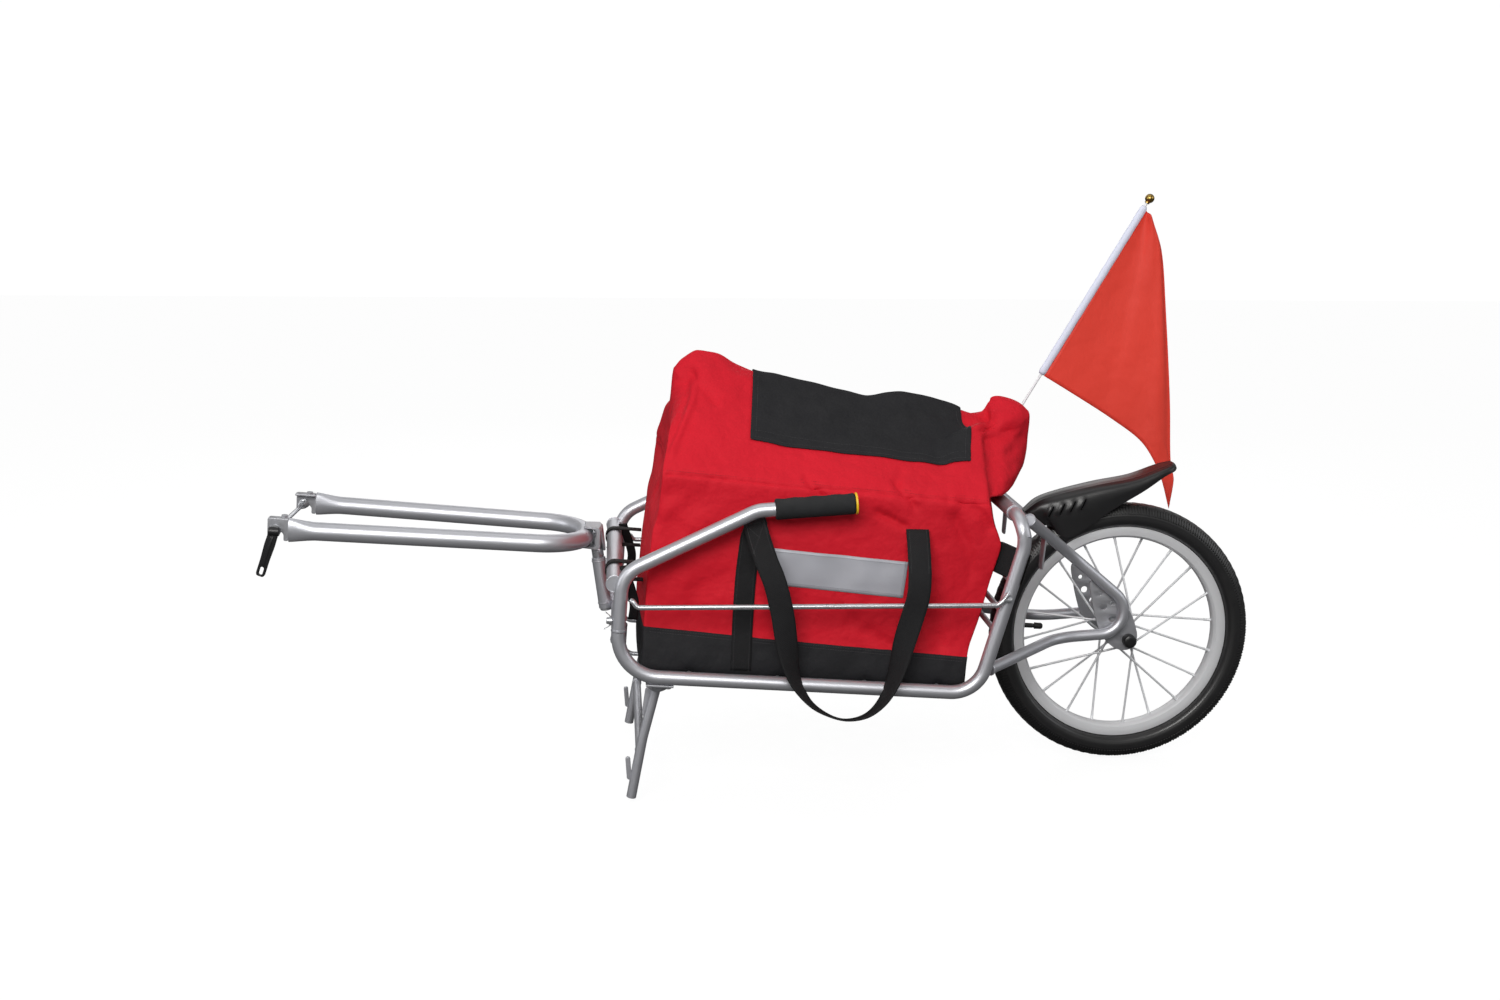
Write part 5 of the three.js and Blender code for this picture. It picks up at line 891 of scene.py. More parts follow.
def leaf_plate(hand, side):
    skin = Skin()
    rim = flow(PLATE_OUTLINE, 84, closed=True)
    holes = [circle(x, z, radius) for x, z, radius in PLATE_HOLES] + [circle(0, 0, 5.3)]
    plate(skin, [rim, *holes], side * 50, side * 54, 0.6)
    piece(f"leaf_plate_{hand}", skin, STEEL, "cradle", f"axle_plate_{hand}")


def handle_line(side):
    y = side * HALF_TRACK
    return bent([(UPRIGHT_X, y, 11.6), (UPRIGHT_X, y, 90), (-566, y, 186.3), (-438, y, 203.6)], [42, 45])


def handle_tube(hand, side):
    skin = Skin()
    line = handle_line(side)
    tube(skin, line, RAIL_RADIUS, 32)
    turned(
        skin, [(9.4, 0.2), (10.2, 0.4), (10.4, 2), (10.2, 3.6), (9.4, 3.8)], line[0], (0, 0, 1), 32,
        loop=True,
    )
    piece(f"handle_tube_{hand}", skin, TUBE, "cradle", f"handle_{hand}")


GRIP_LENGTH = 106


def foam_grip(hand, side):
    """A foam grip with four finger waves along its top."""
    line = handle_line(side)
    along = (line[-1] - line[-2]).normalized()
    start = line[-1] - along * GRIP_LENGTH
    up = along.cross(ACROSS).normalized()
    up = -up if up.z < 0 else up
    rows = []
    stations = 64
    for i in range(stations + 1):
        share = i / stations
        distance = GRIP_LENGTH * share
        edge = min(distance, GRIP_LENGTH - distance)
        full = 14.2 - 1.5 * max(0, 1 - edge / 2.2) ** 2
        row = []
        for k in range(32):
            angle = math.tau * k / 32
            top = max(0, math.sin(angle)) ** 2
            wave = 0.9 * top * (0.5 - 0.5 * math.cos(share * math.tau * 4)) * min(1, edge / 8)
            radius = full - wave
            aside = ACROSS * radius * math.cos(angle)
            row.append(start + along * distance + aside + up * radius * math.sin(angle))
        rows.append(row)
    lip = [start + (p - start).normalized() * 9.8 for p in rows[0]]
    end = [p + (line[-1] - p).normalized() * 4.2 for p in rows[-1]]
    skin = Skin()
    skin.rows([lip, *rows, end], ring=True)
    made = piece(f"foam_grip_{hand}", skin, FOAM, "cradle", f"grip_{hand}", crease=60)
    ring = Skin()
    profile = [(2, 0.3), (13.9, 0.3), (14.6, 1.0), (14.6, 2.6), (14.0, 3.2), (11, 3.5), (9.4, 2.9), (2, 2.9)]
    turned(ring, profile, line[-1], along, 36)
    piece(f"grip_end_{hand}", ring, YELLOW, "cradle", f"grip_ring_{hand}")


def wing_bolt(hand, side):
    y = side * HALF_TRACK
    seat = UPRIGHT_X - RAIL_RADIUS - 0.3
    crown = seat - 7
    skin = Skin()
    axis = Vector((1, 0, 0))
    reach = UPRIGHT_X + RAIL_RADIUS - crown
    turned(skin, [(0, 0), (2.6, 0), (2.6, reach), (0, reach)], (crown, y, 26), axis, 20)
    turned(skin, [(0, -0.2), (3.6, -0.2), (4.4, 0.6), (5, 5.5), (5, 7), (0, 7)], (crown, y, 26), axis, 28)
    wing = [
        (seat - 3, 21), (seat - 5.4, 17.5), (crown - 3, 14.6), (crown - 1.4, 14), (crown - 0.2, 15),
        (seat - 2.2, 19), (seat - 0.4, 21.5), (seat - 0.4, 30.5), (seat - 2.2, 33), (crown - 0.2, 37),
        (crown - 1.4, 38), (crown - 3, 37.4), (seat - 5.4, 34.5), (seat - 3, 31),
    ]
    plate(skin, [flow(wing, 56, closed=True)], y - 1.5, y + 1.5, 0.6)
    piece(f"wing_screw_{hand}", skin, ZINC, f"wing_bolt_{hand}", f"wing_bolt_{hand}")


def side_rod(hand, side):
    outset = HALF_TRACK + 13.4
    path = [
        (-727.5, 58.5, -6.5), (-722, 56, -1.5), (-717, 49, 0), (-236, 79, 0), (-228, 86, 0), (-222, 96, 0),
    ]
    line = bent([(x, side * (outset + inset), z) for x, z, inset in path], [4, 9, 8, 8])
    line[0] = line[0] + (line[1] - line[0]).normalized() * 2.5
    skin = Skin()
    tube(skin, line, 3.5, 16, 0.9)
    tube(skin, [Vector((-226.5, side * outset, 87.3)), Vector((-217, side * outset, 87.5))], 3.5, 16, 0.6)
    piece(f"thin_rod_{hand}", skin, ZINC, "cradle", f"side_rod_{hand}")


# Folding stand
HINGE = (-681.7, -69)
STAND_HALF, STAND_TUBE = 164, 6.8


def stand_legs():
    skin = Skin()
    for side in (LEFT, RIGHT):
        y = side * STAND_HALF
        line = bent([(HINGE[0], y, HINGE[1]), (-696.3, y, -146), (-707.6, y, -240.3)], [90])
        line[0] = line[0] + (line[1] - line[0]).normalized() * 7.2
        line[-1] = line[-1] + (line[-2] - line[-1]).normalized() * 8.6
        tube(skin, line, STAND_TUBE, 24, 0.6)
        eye = [circle(*HINGE, 8, 32), circle(*HINGE, 4.4, 20)]
        plate(skin, eye, y - STAND_TUBE, y + STAND_TUBE, 0.6)
        plate(skin, [slot_outline((-692, -80), (-694.5, -112), 5)], y - side * 4, y - side * 7.8, 0.5)
        plate(skin, [slot_outline((-714.5, -177), (-711, -203), 3.4)], y - 1.5, y + 1.5, 0.4)
        inner = y - side * 7.8
        turned(
            skin, [(0, 0), (3.4, 0), (3.4, 1.2), (2.4, 2), (0, 2.2)], (-694.2, inner + side * 0.1, -108),
            (0, -side, 0), 18,
        )
    tube(skin, [Vector((-698.6, y, -165)) for y in (-158.4, 158.4)], 6.2, 24)
    for side in (LEFT, RIGHT):
        weld(skin, (-698.6, side * 157, -165), ACROSS, 6.3, 1.3)
    piece("stand_legs", skin, TUBE, "stand", "stand_frame")


def stand_hinge(hand, side):
    flange_top = RAIL_Z - RAIL_RADIUS - 0.3
    cheek_out = STAND_HALF + STAND_TUBE + 1.2 + 3
    cheek_in = cheek_out - 3
    skin = Skin()
    ys = sorted((side * cheek_in, side * (HALF_TRACK + RAIL_RADIUS / 2)))
    block(skin, (-698, ys[0], flange_top - 3), (-661, ys[1], flange_top))
    outline = [
        (-698, flange_top - 0.1), (-697, HINGE[1]), (HINGE[0] - 5, HINGE[1] - 7.6),
        (HINGE[0] + 5, HINGE[1] - 7.6), (-663, HINGE[1]), (-661, flange_top - 0.1),
    ]
    plate(skin, [eased(outline, 4)], side * cheek_in, side * cheek_out, 0.5)
    pin_end = STAND_HALF - STAND_TUBE - 1.2 - 3
    pin_long = cheek_out - pin_end + 2
    pin = [(0, 0), (6.5, 0), (6.5, 1.6), (5.8, 2.4), (4, 2.6), (4, pin_long), (0, pin_long)]
    turned(skin, pin, (HINGE[0], side * (cheek_out + 2.2), HINGE[1]), (0, -side, 0), 24)
    for x in (-691, -668):
        turned(
            skin, [(0, 0), (4.4, 0), (4.4, 2.6), (3.2, 3.4), (0, 3.4)], (x, side * 197, flange_top - 2.9),
            (0, 0, -1), 6,
        )
    piece(f"stand_hinge_{hand}", skin, STEEL, "cradle", f"stand_bracket_{hand}")


# Wheel
TYRE_OUTSIDE = [
    (154.2, 8.2), (154.8, 9.8), (158.6, 10.6), (160.2, 14.5), (162.4, 18.6), (167.5, 21.8), (173, 22.3),
    (179, 21), (185, 17.6), (189, 13.2), (191.2, 8), (192.1, 3.6), (192.3, 0),
]


def tyre_casing():
    outer = flow([(r, y, 0) for r, y in TYRE_OUTSIDE], 44)
    outer = [(p.x, p.y) for p in outer]
    for i, (radius, y) in enumerate(outer):
        for rib in (164.8, 176.5):
            if abs(radius - rib) < 0.9 and radius < 180:
                outer[i] = (radius, y + 0.55)
    inner = [(188.5, 0), (187.6, 7), (183, 13), (172, 18.4), (163, 15.2), (159, 7.8), (156, 7.2)]
    skin = Skin()
    turned(skin, both_sides([*inner, *outer]), (0, 0, 0), ACROSS, 120, loop=True)
    piece("tyre_casing", skin, RUBBER, "wheel", "tyre", crease=50)


def tread_pitch():
    """One pitch of the tread: a middle pair, two edge blocks and three shoulder bars on each side."""
    skin = Skin()

    def base_radius(y):
        return table_at(
            [(0, 192.0), (3.6, 191.8), (8, 190.9), (13.2, 188.7), (17.6, 184.6), (21, 178.6)], abs(y),
        )

    def pad(corners, tall):
        lower, upper, top = [], [], []
        middle_y = sum(c[1] for c in corners) / len(corners)
        middle_a = sum(c[0] for c in corners) / len(corners)
        for angle, y in corners:
            r = base_radius(y)
            tilt = Vector((math.cos(angle), 0, math.sin(angle)))
            slope = (base_radius(abs(y) + 0.5) - base_radius(abs(y) - 0.5 if abs(y) > 0.5 else 0)) or -0.01
            out = (tilt + ACROSS * (math.copysign(1, y) * min(2.4, -slope) if abs(y) > 1 else 0)).normalized()
            ground = tilt * (r - 0.8) + ACROSS * y
            lower.append(ground)
            upper.append(ground + out * (tall + 0.35))
            small_a = middle_a + (angle - middle_a) * 0.86
            small_y = middle_y + (y - middle_y) * 0.86
            tilt2 = Vector((math.cos(small_a), 0, math.sin(small_a)))
            top.append(tilt2 * (base_radius(small_y) - 0.8) + ACROSS * small_y + out * (tall + 0.8))
        skin.rows([lower, upper, top], ring=True)

    for side in (LEFT, RIGHT):
        lead = 0.008 * side
        for start, end, slant, low, high, tall in (
            (-0.020, 0.015, 0.008, 0.6, 5.4, 0.5), (-0.014, 0.018, -0.006, 7.0, 12.4, 0.7),
            (-0.034, -0.022, -0.003, 13.8, 20.8, 1.5), (-0.011, 0.001, -0.003, 13.8, 20.8, 1.5),
            (0.012, 0.024, -0.003, 13.8, 20.8, 1.5),
        ):
            a, b = lead + start, lead + end
            pad([(a, side * low), (b, side * low), (b + slant, side * high), (a + slant, side * high)], tall)
    return skin


def rim_band():
    half = [
        (141.5, 0), (141.8, 6), (142.6, 8.4), (145.5, 11.4), (150, 12.2), (157.2, 12.6), (158.5, 12.1),
        (158.5, 10.7), (156.8, 10.4), (152.6, 10.4), (149.8, 6.4), (149.4, 5), (149.4, 0),
    ]
    skin = Skin()
    turned(skin, both_sides(half), (0, 0, 0), ACROSS, 160, loop=True)
    piece("rim_band", skin, ALLOY, "wheel", "rim", crease=28)


FLANGE_Y = 27
SPOKE_LEAN = math.radians(76)


def spoke_pair(side):
    """Two neighbouring spokes with their heads and nipples, drawn at the wheel's centre."""
    skin = Skin()
    y = side * FLANGE_Y
    for i in (0, 1):
        rim_angle = -(math.tau / 10) * (i + side / 4)
        hub_angle = rim_angle - (SPOKE_LEAN if i == 0 else -SPOKE_LEAN)
        lift = 2.3 if i == 0 else -2.3
        root = Vector((18 * math.cos(hub_angle), y + lift, -18 * math.sin(hub_angle)))
        tip = Vector((140.6 * math.cos(rim_angle), side * 5, -140.6 * math.sin(rim_angle)))
        back = Vector((root.x, y - lift * 1.15, root.z))
        way = (tip - root).normalized()
        line = [back, Vector((root.x, y + lift * 0.3, root.z)), root + way * 1.6, root + way * 6, tip]
        skin.rows(rings_along(flow(line[:4], 9) + [tip], 1.6, 10), ring=True)
        turned(
            skin, [(0, -0.6), (1.7, -0.5), (1.9, 0.2), (1.2, 0.8), (0, 0.8)], back,
            (root - back).normalized() * -1, 10,
        )
        turned(
            skin,
            [(0, -0.4), (1.1, -0.4), (1.9, 0.4), (1.9, 9), (2.3, 9.6), (2.3, 11.4), (0, 11.4)],
            tip - way * 9.4, way, 10,
        )
    return skin


def spoke_set(hand, side):
    wheel_repeat(f"spoke_set_{hand}", spoke_pair(side), SPOKE_STEEL, 5)
    skin = Skin()
    y = side * FLANGE_Y
    plate(skin, [circle(0, 0, 21, 72), circle(0, 0, 12.7, 48)], y - 1.6, y + 1.6, 0.5)
    piece(f"hub_flange_{hand}", skin, ZINC, "wheel", f"spokes_{hand}")


def hub_parts():
    half = [(5.2, 34), (11.4, 34), (12.5, 33), (12.5, 30), (12.4, 24), (11.4, 17), (10.9, 8), (10.9, 0)]
    skin = Skin()
    turned(skin, both_sides(half), (0, 0, 0), ACROSS, 40)
    piece("hub_barrel", skin, ZINC, "wheel", "hub_shell")
    threads = [(4.8 if k % 2 else 4.45, 63 - k * 0.5) for k in range(26)]
    half = [(0, 64), (4.2, 64), *threads, (4.8, 49.7), (8, 49.7), (8, 37.4), (7, 35.4), (4.8, 34.4), (4.8, 0)]
    skin = Skin()
    turned(skin, both_sides(half), (0, 0, 0), ACROSS, 32)
    nut = [(4.7, 0), (8.3, 0), (8.6, 0.4), (8.6, 4.6), (8.0, 5.2), (4.7, 5.2)]
    for side in (LEFT, RIGHT):
        turned(skin, nut, (0, side * 44.2, 0), (0, side, 0), 6, loop=True)
    piece("axle_rod", skin, ZINC, "cradle", "axle")
    profile = [
        (5.4, 0), (9.2, 0), (9.6, 0.5), (9.6, 10.4), (8.8, 12.6), (6.8, 13.8), (3.4, 14), (0, 14), (0, 10.2),
        (5.4, 10.2),
    ]
    for hand, side in HANDS.items():
        skin = Skin()
        turned(skin, profile, (0, side * 54.3, 0), (0, side, 0), 36, loop=True)
        piece(f"cap_{hand}", skin, PLASTIC, "cradle", f"axle_cap_{hand}")


def valve():
    profile = [(0, 0), (3.0, 0), (3.6, 0.6), (4.1, 1.2)]
    profile += [(4.9 if k % 2 else 4.4, 2 + k * 0.9) for k in range(10)]
    profile += [
        (4.9, 11.8), (3.1, 12.2), (3.1, 14), (3.5, 15), (3.6, 28.6), (5.2, 28.8), (5.2, 30.4), (3.6, 30.6),
        (3.6, 43), (0, 43),
    ]
    skin = Skin()
    turned(skin, profile, (-114, 0, 0), (-1, 0, 0), 20)
    piece("valve", skin, RUBBER, "wheel", "valve_stem")


# Mudguard
GUARD_LINE = [
    (-161, 172, 17, 24), (-142, 190, 25, 50), (-112, 203, 30, 62), (-60, 219, 31, 42), (-8, 232, 30, 21),
    (30, 248, 26, 10), (45, 254, 21, 8.5), (51, 256.5, 13, 7),
]
GUARD_SECTION = [
    (-1, -1), (-0.985, -0.45), (-0.86, -0.14), (-0.5, -0.02), (0, 0.02), (0.5, -0.02), (0.86, -0.14),
    (0.985, -0.45), (1, -1),
]
GUARD_SLOTS = (-126, -111, -96, -81)


def louvre(x, z, crowns):
    """How far the skirt stands out in a small hood over each vent slot."""
    proud = 0
    for middle, crown in crowns.items():
        rise = z - crown
        off = x - middle - rise * 0.36 + 3.2
        proud += 2.6 * math.exp(-((off / 2.6) ** 2)) * math.exp(-((rise / 8) ** 4))
    return proud


def mudguard_shell():
    stations = 120
    spine = flow([(x, z, half) for x, z, half, drop in GUARD_LINE], stations)
    drops = flow([(drop, 0, 0) for x, z, half, drop in GUARD_LINE], stations)
    section = flow([(a, b, 0) for a, b in GUARD_SECTION], 61)
    crowns = {x: table_at([(p.x, p.y) for p in spine], x) - 22 for x in GUARD_SLOTS}
    rows = []
    for i, place in enumerate(spine):
        before, after = spine[max(0, i - 1)], spine[min(stations - 1, i + 1)]
        slope = Vector((after.x - before.x, after.y - before.y)).normalized()
        up = Vector((-slope.y, 0, slope.x))
        drop = drops[i].x
        row = []
        for spot in section:
            rib = 0.7 * math.exp(-((abs(spot.x) - 0.55) / 0.05) ** 2)
            point = Vector((place.x, spot.x * (place.z - 0.2), place.y)) + up * (spot.y * drop + rib - 1.4)
            row.append(point + ACROSS * math.copysign(louvre(point.x, point.z, crowns), spot.x))
        rows.append(row)
    skin = Skin()
    skin.rows(rows)
    holder = put("blank", mesh_of(skin, mapped=True))
    wall = holder.modifiers.new("wall", "SOLIDIFY")
    wall.thickness = 2.4
    wall.offset = 0
    cutters = Skin()
    for x, crown in crowns.items():
        for side in (LEFT, RIGHT):
            outline = slot_outline((x - 2.5, crown - 7), (x + 2.5, crown + 7), 1.1)
            plate(cutters, [outline], side * 16, side * 60, 0.01)
    blade = put("blade", mesh_of(cutters))
    cut = holder.modifiers.new("slots", "BOOLEAN")
    cut.object = blade
    cut.operation = "DIFFERENCE"
    cut.solver = "EXACT"
    made = made_plain(holder)
    made.transform(LEVEL)
    made.materials.clear()
    made.materials.append(PLASTIC)
    bpy.data.objects.remove(holder)
    bpy.data.objects.remove(blade)
    settle("mudguard_shell", made, "cradle", "mudguard", crease=50)


STRIP_LINE = ((-203, 200), (-186, 183), (-169, 163.4), (-157, 166.4), (-141, 182))


def guard_strip():
    """The steel strip under the mudguard. Its first steps are left off to clear the rear cross tube."""
    line = flow([(x, 0, z) for x, z in STRIP_LINE], 30)
    skin = Skin()
    rows = []
    for i, point in enumerate(line):
        run = run_at(line, i)
        up = Vector((-run.z, 0, run.x))
        rows.append([point + ACROSS * a + up * b for a, b in ((-9, -1.2), (9, -1.2), (9, 1.2), (-9, 1.2))])
    skin.rows(rows[2:], ring=True)
    turned(skin, [(0, 0), (4.6, 0), (4.6, 3), (3.6, 4), (0, 4)], (-150, 0, 171.5), (-0.5, 0, -1), 6)
    piece("guard_strip", skin, STEEL, "cradle", "mudguard_bracket", round_off=0.4)


# Hitch
def head_point(distance):
    return HEAD_FOOT + HEAD_AXIS * distance


def head_tube():
    skin = Skin()
    profile = [(6.4, 0), (9.4, 0), (9.8, 0.5), (9.8, 6), (9.8, 68), (9.8, 74.3), (9.4, 74.8), (6.4, 74.8)]
    turned(skin, profile, HEAD_FOOT, HEAD_AXIS, 36, loop=True)
    gusset = [(-757, -2), (-739, -3.4), (-747, 63), (-769, 66)]
    plate(skin, [eased(gusset, 3)], -3, 3, 0.5)
    weld(skin, head_point(70), HEAD_AXIS, 9.8, 1.1)
    weld(skin, head_point(8), HEAD_AXIS, 9.8, 1.1)
    piece("head_tube", skin, TUBE, "cradle", "head_sleeve")


def stem_bolt():
    skin = Skin()
    profile = [
        (0, -3.3), (7.6, -3.3), (8.4, -2.6), (8.4, -0.3), (6, -0.3), (6, 75.6), (8.0, 75.6), (8.4, 76.2),
        (8.4, 91.4), (8.0, 92), (6, 92), (6, 119), (5.2, 121), (0, 121),
    ]
    turned(skin, profile, HEAD_FOOT, HEAD_AXIS, 32)
    turned(
        skin, [(6, 106), (9.2, 106), (9.6, 106.5), (9.6, 111.5), (8.8, 112.2), (6, 112.2)], HEAD_FOOT,
        HEAD_AXIS, 6, loop=True,
    )
    piece("stem_bolt", skin, ZINC, "fork", "pivot_stem", place=HITCH)


FORK_Z = 97.5
FORK_END = Vector((-1190, 92, FORK_Z))
FORK_RADIUS = 12.7


def fork_tube():
    """A U of round tube, whose two ends are pressed into tall lips."""
    arm = lambda side: Vector((FORK_END.x, side * FORK_END.y, FORK_Z))
    corner = lambda side: Vector((-791, side * 70, FORK_Z))
    up = Vector((0, 0, 1))
    angles = [math.tau * j / 36 for j in range(36)]

    def flare(side):
        steps = []
        for k in range(15):
            share = k / 14
            blend = min(1, share**1.5 * (3 - 2 * share))
            wide = 6.8 + (FORK_RADIUS - 6.8) * blend
            tall = 16.8 + (FORK_RADIUS - 16.8) * blend
            place = arm(side) + (corner(side) - arm(side)).normalized() * 46 * share
            aside, rise = ACROSS * -side * wide, up * tall
            steps.append([place + aside * math.cos(a) + rise * math.sin(a) for a in angles])
        end = arm(side)
        rim = [end + (p - end) * 0.93 for p in steps[0]]
        inner = [end + Vector((6, (p.y - end.y) * 0.7, (p.z - end.z) * 0.8)) for p in steps[0]]
        return [inner, rim, *steps]

    line = bent([arm(LEFT), corner(LEFT), corner(RIGHT), arm(RIGHT)], [66.5, 66.5], 4)
    line[0] = line[0] + (corner(LEFT) - arm(LEFT)).normalized() * 47
    line[-1] = line[-1] + (corner(RIGHT) - arm(RIGHT)).normalized() * 47
    bend = []
    for i, point in enumerate(line):
        aside = up.cross(run_at(line, i)).normalized()
        bend.append([point + (aside * math.cos(a) + up * math.sin(a)) * FORK_RADIUS for a in angles])
    skin = Skin()
    skin.rows([*flare(LEFT), *bend, *reversed(flare(RIGHT))], ring=True)
    piece("fork_tube", skin, TUBE, "fork", "hitch_fork", place=HITCH, crease=45)


def saddle_plate():
    """The folded channel behind the fork's bend and the tongue that takes the stem."""
    skin = Skin()
    centre_x = -861
    section = [
        (70, 13), (86, 13), (89, 10), (89, -10), (86, -13), (70, -13), (70, -16), (91.5, -16), (95, -12.5),
        (95, 12.5), (91.5, 16), (70, 16),
    ]
    rows = []
    for k in range(15):
        angle = math.radians(-14 + 2 * k)
        ahead, aside = math.cos(angle), math.sin(angle)
        rows.append([Vector((centre_x + r * ahead, r * aside, FORK_Z + h)) for r, h in section])
    skin.rows(rows, ring=True)
    outline = eased([(-6, 84), (6, 84), (15, 99), (20, 118), (-20, 118), (-15, 99)], 3)
    front = []
    for offset in (8.8, 11.8):
        front.append([head_point(p.y) + ACROSS * p.x + HEAD_FRONT * offset for p in outline])
    skin.rows(front, ring=True)
    piece("saddle_plate", skin, STEEL, "fork", "hitch_bracket", place=HITCH, round_off=0.5, crease=30)


def dropout_plate(hand, side):
    skin = Skin()
    y = side * 92
    slot, half = -1208, 5.2
    rear = -1190.6
    outline = [
        (-1219, 113), (-1219, 87), (slot - half, 87), (slot - half, 96.5), (slot - half * 0.7, 100),
        (slot, 101.7), (slot + half * 0.7, 100), (slot + half, 96.5), (-1197, 91.3), (-1197, 82), (rear, 82),
        (rear, 113),
    ]
    plate(skin, [eased(outline, 2.2, 3)], y - 1.5, y + 1.5, 0.4)
    lip = sorted((y, y - side * 14))
    block(skin, (-1218.6, lip[0], 110), (rear, lip[1], 112.9))
    turned(skin, [(0, 0), (5, 0), (5, 3), (4, 4), (0, 4)], (-1198, y - side * 9, 112.6), (0, 0, 1), 6)
    piece(f"dropout_plate_{hand}", skin, STEEL, "fork", f"hitch_dropout_{hand}", place=HITCH)


def skewer_parts():
    centre = Vector((-1208, 0, 96.5))
    skin = Skin()
    face = 93.8
    profile = [(0, -face - 2), (7.6, -face - 2), (8, -face - 1.5), (8, -face), (3, -face), (3, 101)]
    profile += [(3.0 if k % 2 else 2.7, 101.2 + k * 0.4) for k in range(11)]
    profile += [(2.6, 106), (0, 106)]
    turned(skin, profile, centre, ACROSS, 24)
    for start, way in ((-88.5, 1), (88.5, -1)):
        line = []
        for k in range(97):
            angle = math.tau * 4.5 * k / 96
            radius = 4.2 + 2.6 * (1 - k / 96)
            y = start + way * 16 * k / 96
            line.append(centre + Vector((radius * math.cos(angle), y, radius * math.sin(angle))))
        skin.rows(rings_along(line, 0.55, 8), ring=True)
    piece("skewer_shaft", skin, ZINC, "skewer", "skewer_rod", place=HITCH)
    nut = Skin()
    profile = [(3.4, 0), (7, 0), (7.5, 0.5), (7.5, 3), (7.2, 3.4)]
    profile += [(7.2 if k % 2 else 6.8, 4 + k * 0.8) for k in range(9)]
    profile += [(6.5, 12.2), (6.0, 13), (3.4, 13)]
    turned(nut, profile, centre + ACROSS * face, ACROSS, 24, loop=True)
    piece("skewer_end", nut, ZINC, "skewer", "skewer_nut", place=HITCH)
    lever = Skin()
    middle = -(face + 2 + 0.3 + 6.2)
    barrel = [(0, -7), (5.6, -7), (6.2, -6.4), (6.2, 6.4), (5.6, 7), (0, 7)]
    turned(lever, barrel, centre + ACROSS * middle, (1, 0, 0), 28)
    lean = math.radians(15.5)
    down = Vector((-math.sin(lean), -math.cos(lean)))
    aside = Vector((-down.y, down.x))
    at = lambda along, off: Vector((centre.x, centre.z)) + down * along * 66 + aside * off
    rim = [(0, 6.6), (0.3, 7.2), (0.62, 6.2), (0.95, 6.2), (1, 4.4)]
    outline = [at(a, -b) for a, b in rim] + [at(a, b) for a, b in reversed(rim)]
    holes = [slot_outline(at(0.83, 0), at(0.93, 0), 2.6)]
    plate(lever, [eased(outline, 3), *holes], middle - 2.5, middle + 2.5, 0.8)
    ridge = [at(0.12, -2.6), at(0.5, -2.2), at(0.74, -1.6), at(0.74, 1.6), at(0.5, 2.2), at(0.12, 2.6)]
    plate(lever, [eased(ridge, 1)], middle - 3.4, middle - 1.5, 0.6)
    piece("cam_lever", lever, PLASTIC, "lever", "skewer_lever", place=HITCH)


# Bag
BAG_HALF = 165
BAG_FLOOR = -44.2
WALL_SHARES = [
    (1.04, 0), (1.075, 0.015), (1.09, 0.05), (1.06, 0.13), (1.015, 0.25), (1, 0.45), (1, 0.65), (1, 0.82),
    (1, 0.918), (1, 1),
]
ROOF_SHARES = [
    (1, 0), (0.97, 0.04), (0.86, 0.18), (0.68, 0.37), (0.48, 0.57), (0.3, 0.74), (0.16, 0.87), (0.06, 0.96),
    (0, 1),
]
RIDGE = [
    (0, 345), (0.016, 361), (0.04, 371), (0.1, 368), (0.18, 355), (0.234, 346), (0.315, 339), (0.403, 330),
    (0.474, 325), (0.544, 320), (0.631, 324), (0.72, 320), (0.792, 314), (0.847, 308), (0.865, 312),
    (0.895, 326), (0.945, 335), (0.98, 332), (1, 318),
]
FRONT_EDGE = [
    (-44.2, -706), (50, -705.5), (80, -705), (117, -703), (146, -701), (166, -697.5), (195, -696),
    (222, -694), (240, -692), (277, -686), (288, -680), (308, -670), (326, -664), (340, -662), (380, -660),
]
FRONT_MIDDLE = [
    (-44.2, -707), (-8, -710), (33, -712), (59, -711), (100, -708.5), (146, -703), (173, -697), (196, -690),
    (212, -686), (232, -684), (260, -684), (292, -683), (333, -682), (355, -679), (372, -668),
]
REAR_EDGE = [
    (-44.2, -263), (-5.4, -260), (77, -241.5), (140, -228.5), (149, -226.5), (158, -229), (186, -241),
    (204, -246), (239, -245), (261, -244), (282, -242), (297, -241), (318, -238), (380, -236),
]
REAR_MIDDLE = [
    (-44.2, -262), (0, -251), (100, -229), (170, -224), (206.5, -224.5), (210, -200), (220, -182),
    (240, -172), (274, -165.5), (309, -165.7), (326, -174), (334, -188), (380, -200),
]
FRONT_NOSE, REAR_NOSE = 26, 62
BAND_FRONT = Vector((-714, 0, 13.6))
BAND_REAR = Vector((-260, 0, -5.4))


def seam_height(share):
    return 222 + (206.5 - 222) * share


def half_width(share, z):
    """How far the bag's side stands from its middle at this height."""
    seam = seam_height(share)
    if z <= seam:
        return BAG_HALF
    rise = min(1, (z - seam) / (table_at(RIDGE, share) - seam))
    return BAG_HALF * table_at([(up, wide) for wide, up in ROOF_SHARES], rise)


def bag_x(share, y, z):
    """The place along the bag between its two ends, which bulge between their edges."""
    wide = half_width(share, z)
    bow = math.cos(min(1, abs(y) / max(wide, FRONT_NOSE)) * math.pi / 2)
    lobe = math.cos(min(1, abs(y) / max(wide, REAR_NOSE)) * math.pi / 2) ** 0.8
    front = table_at(FRONT_EDGE, z) * (1 - bow) + table_at(FRONT_MIDDLE, z) * bow
    rear = table_at(REAR_EDGE, z) * (1 - lobe) + table_at(REAR_MIDDLE, z) * lobe
    return front + (rear - front) * share


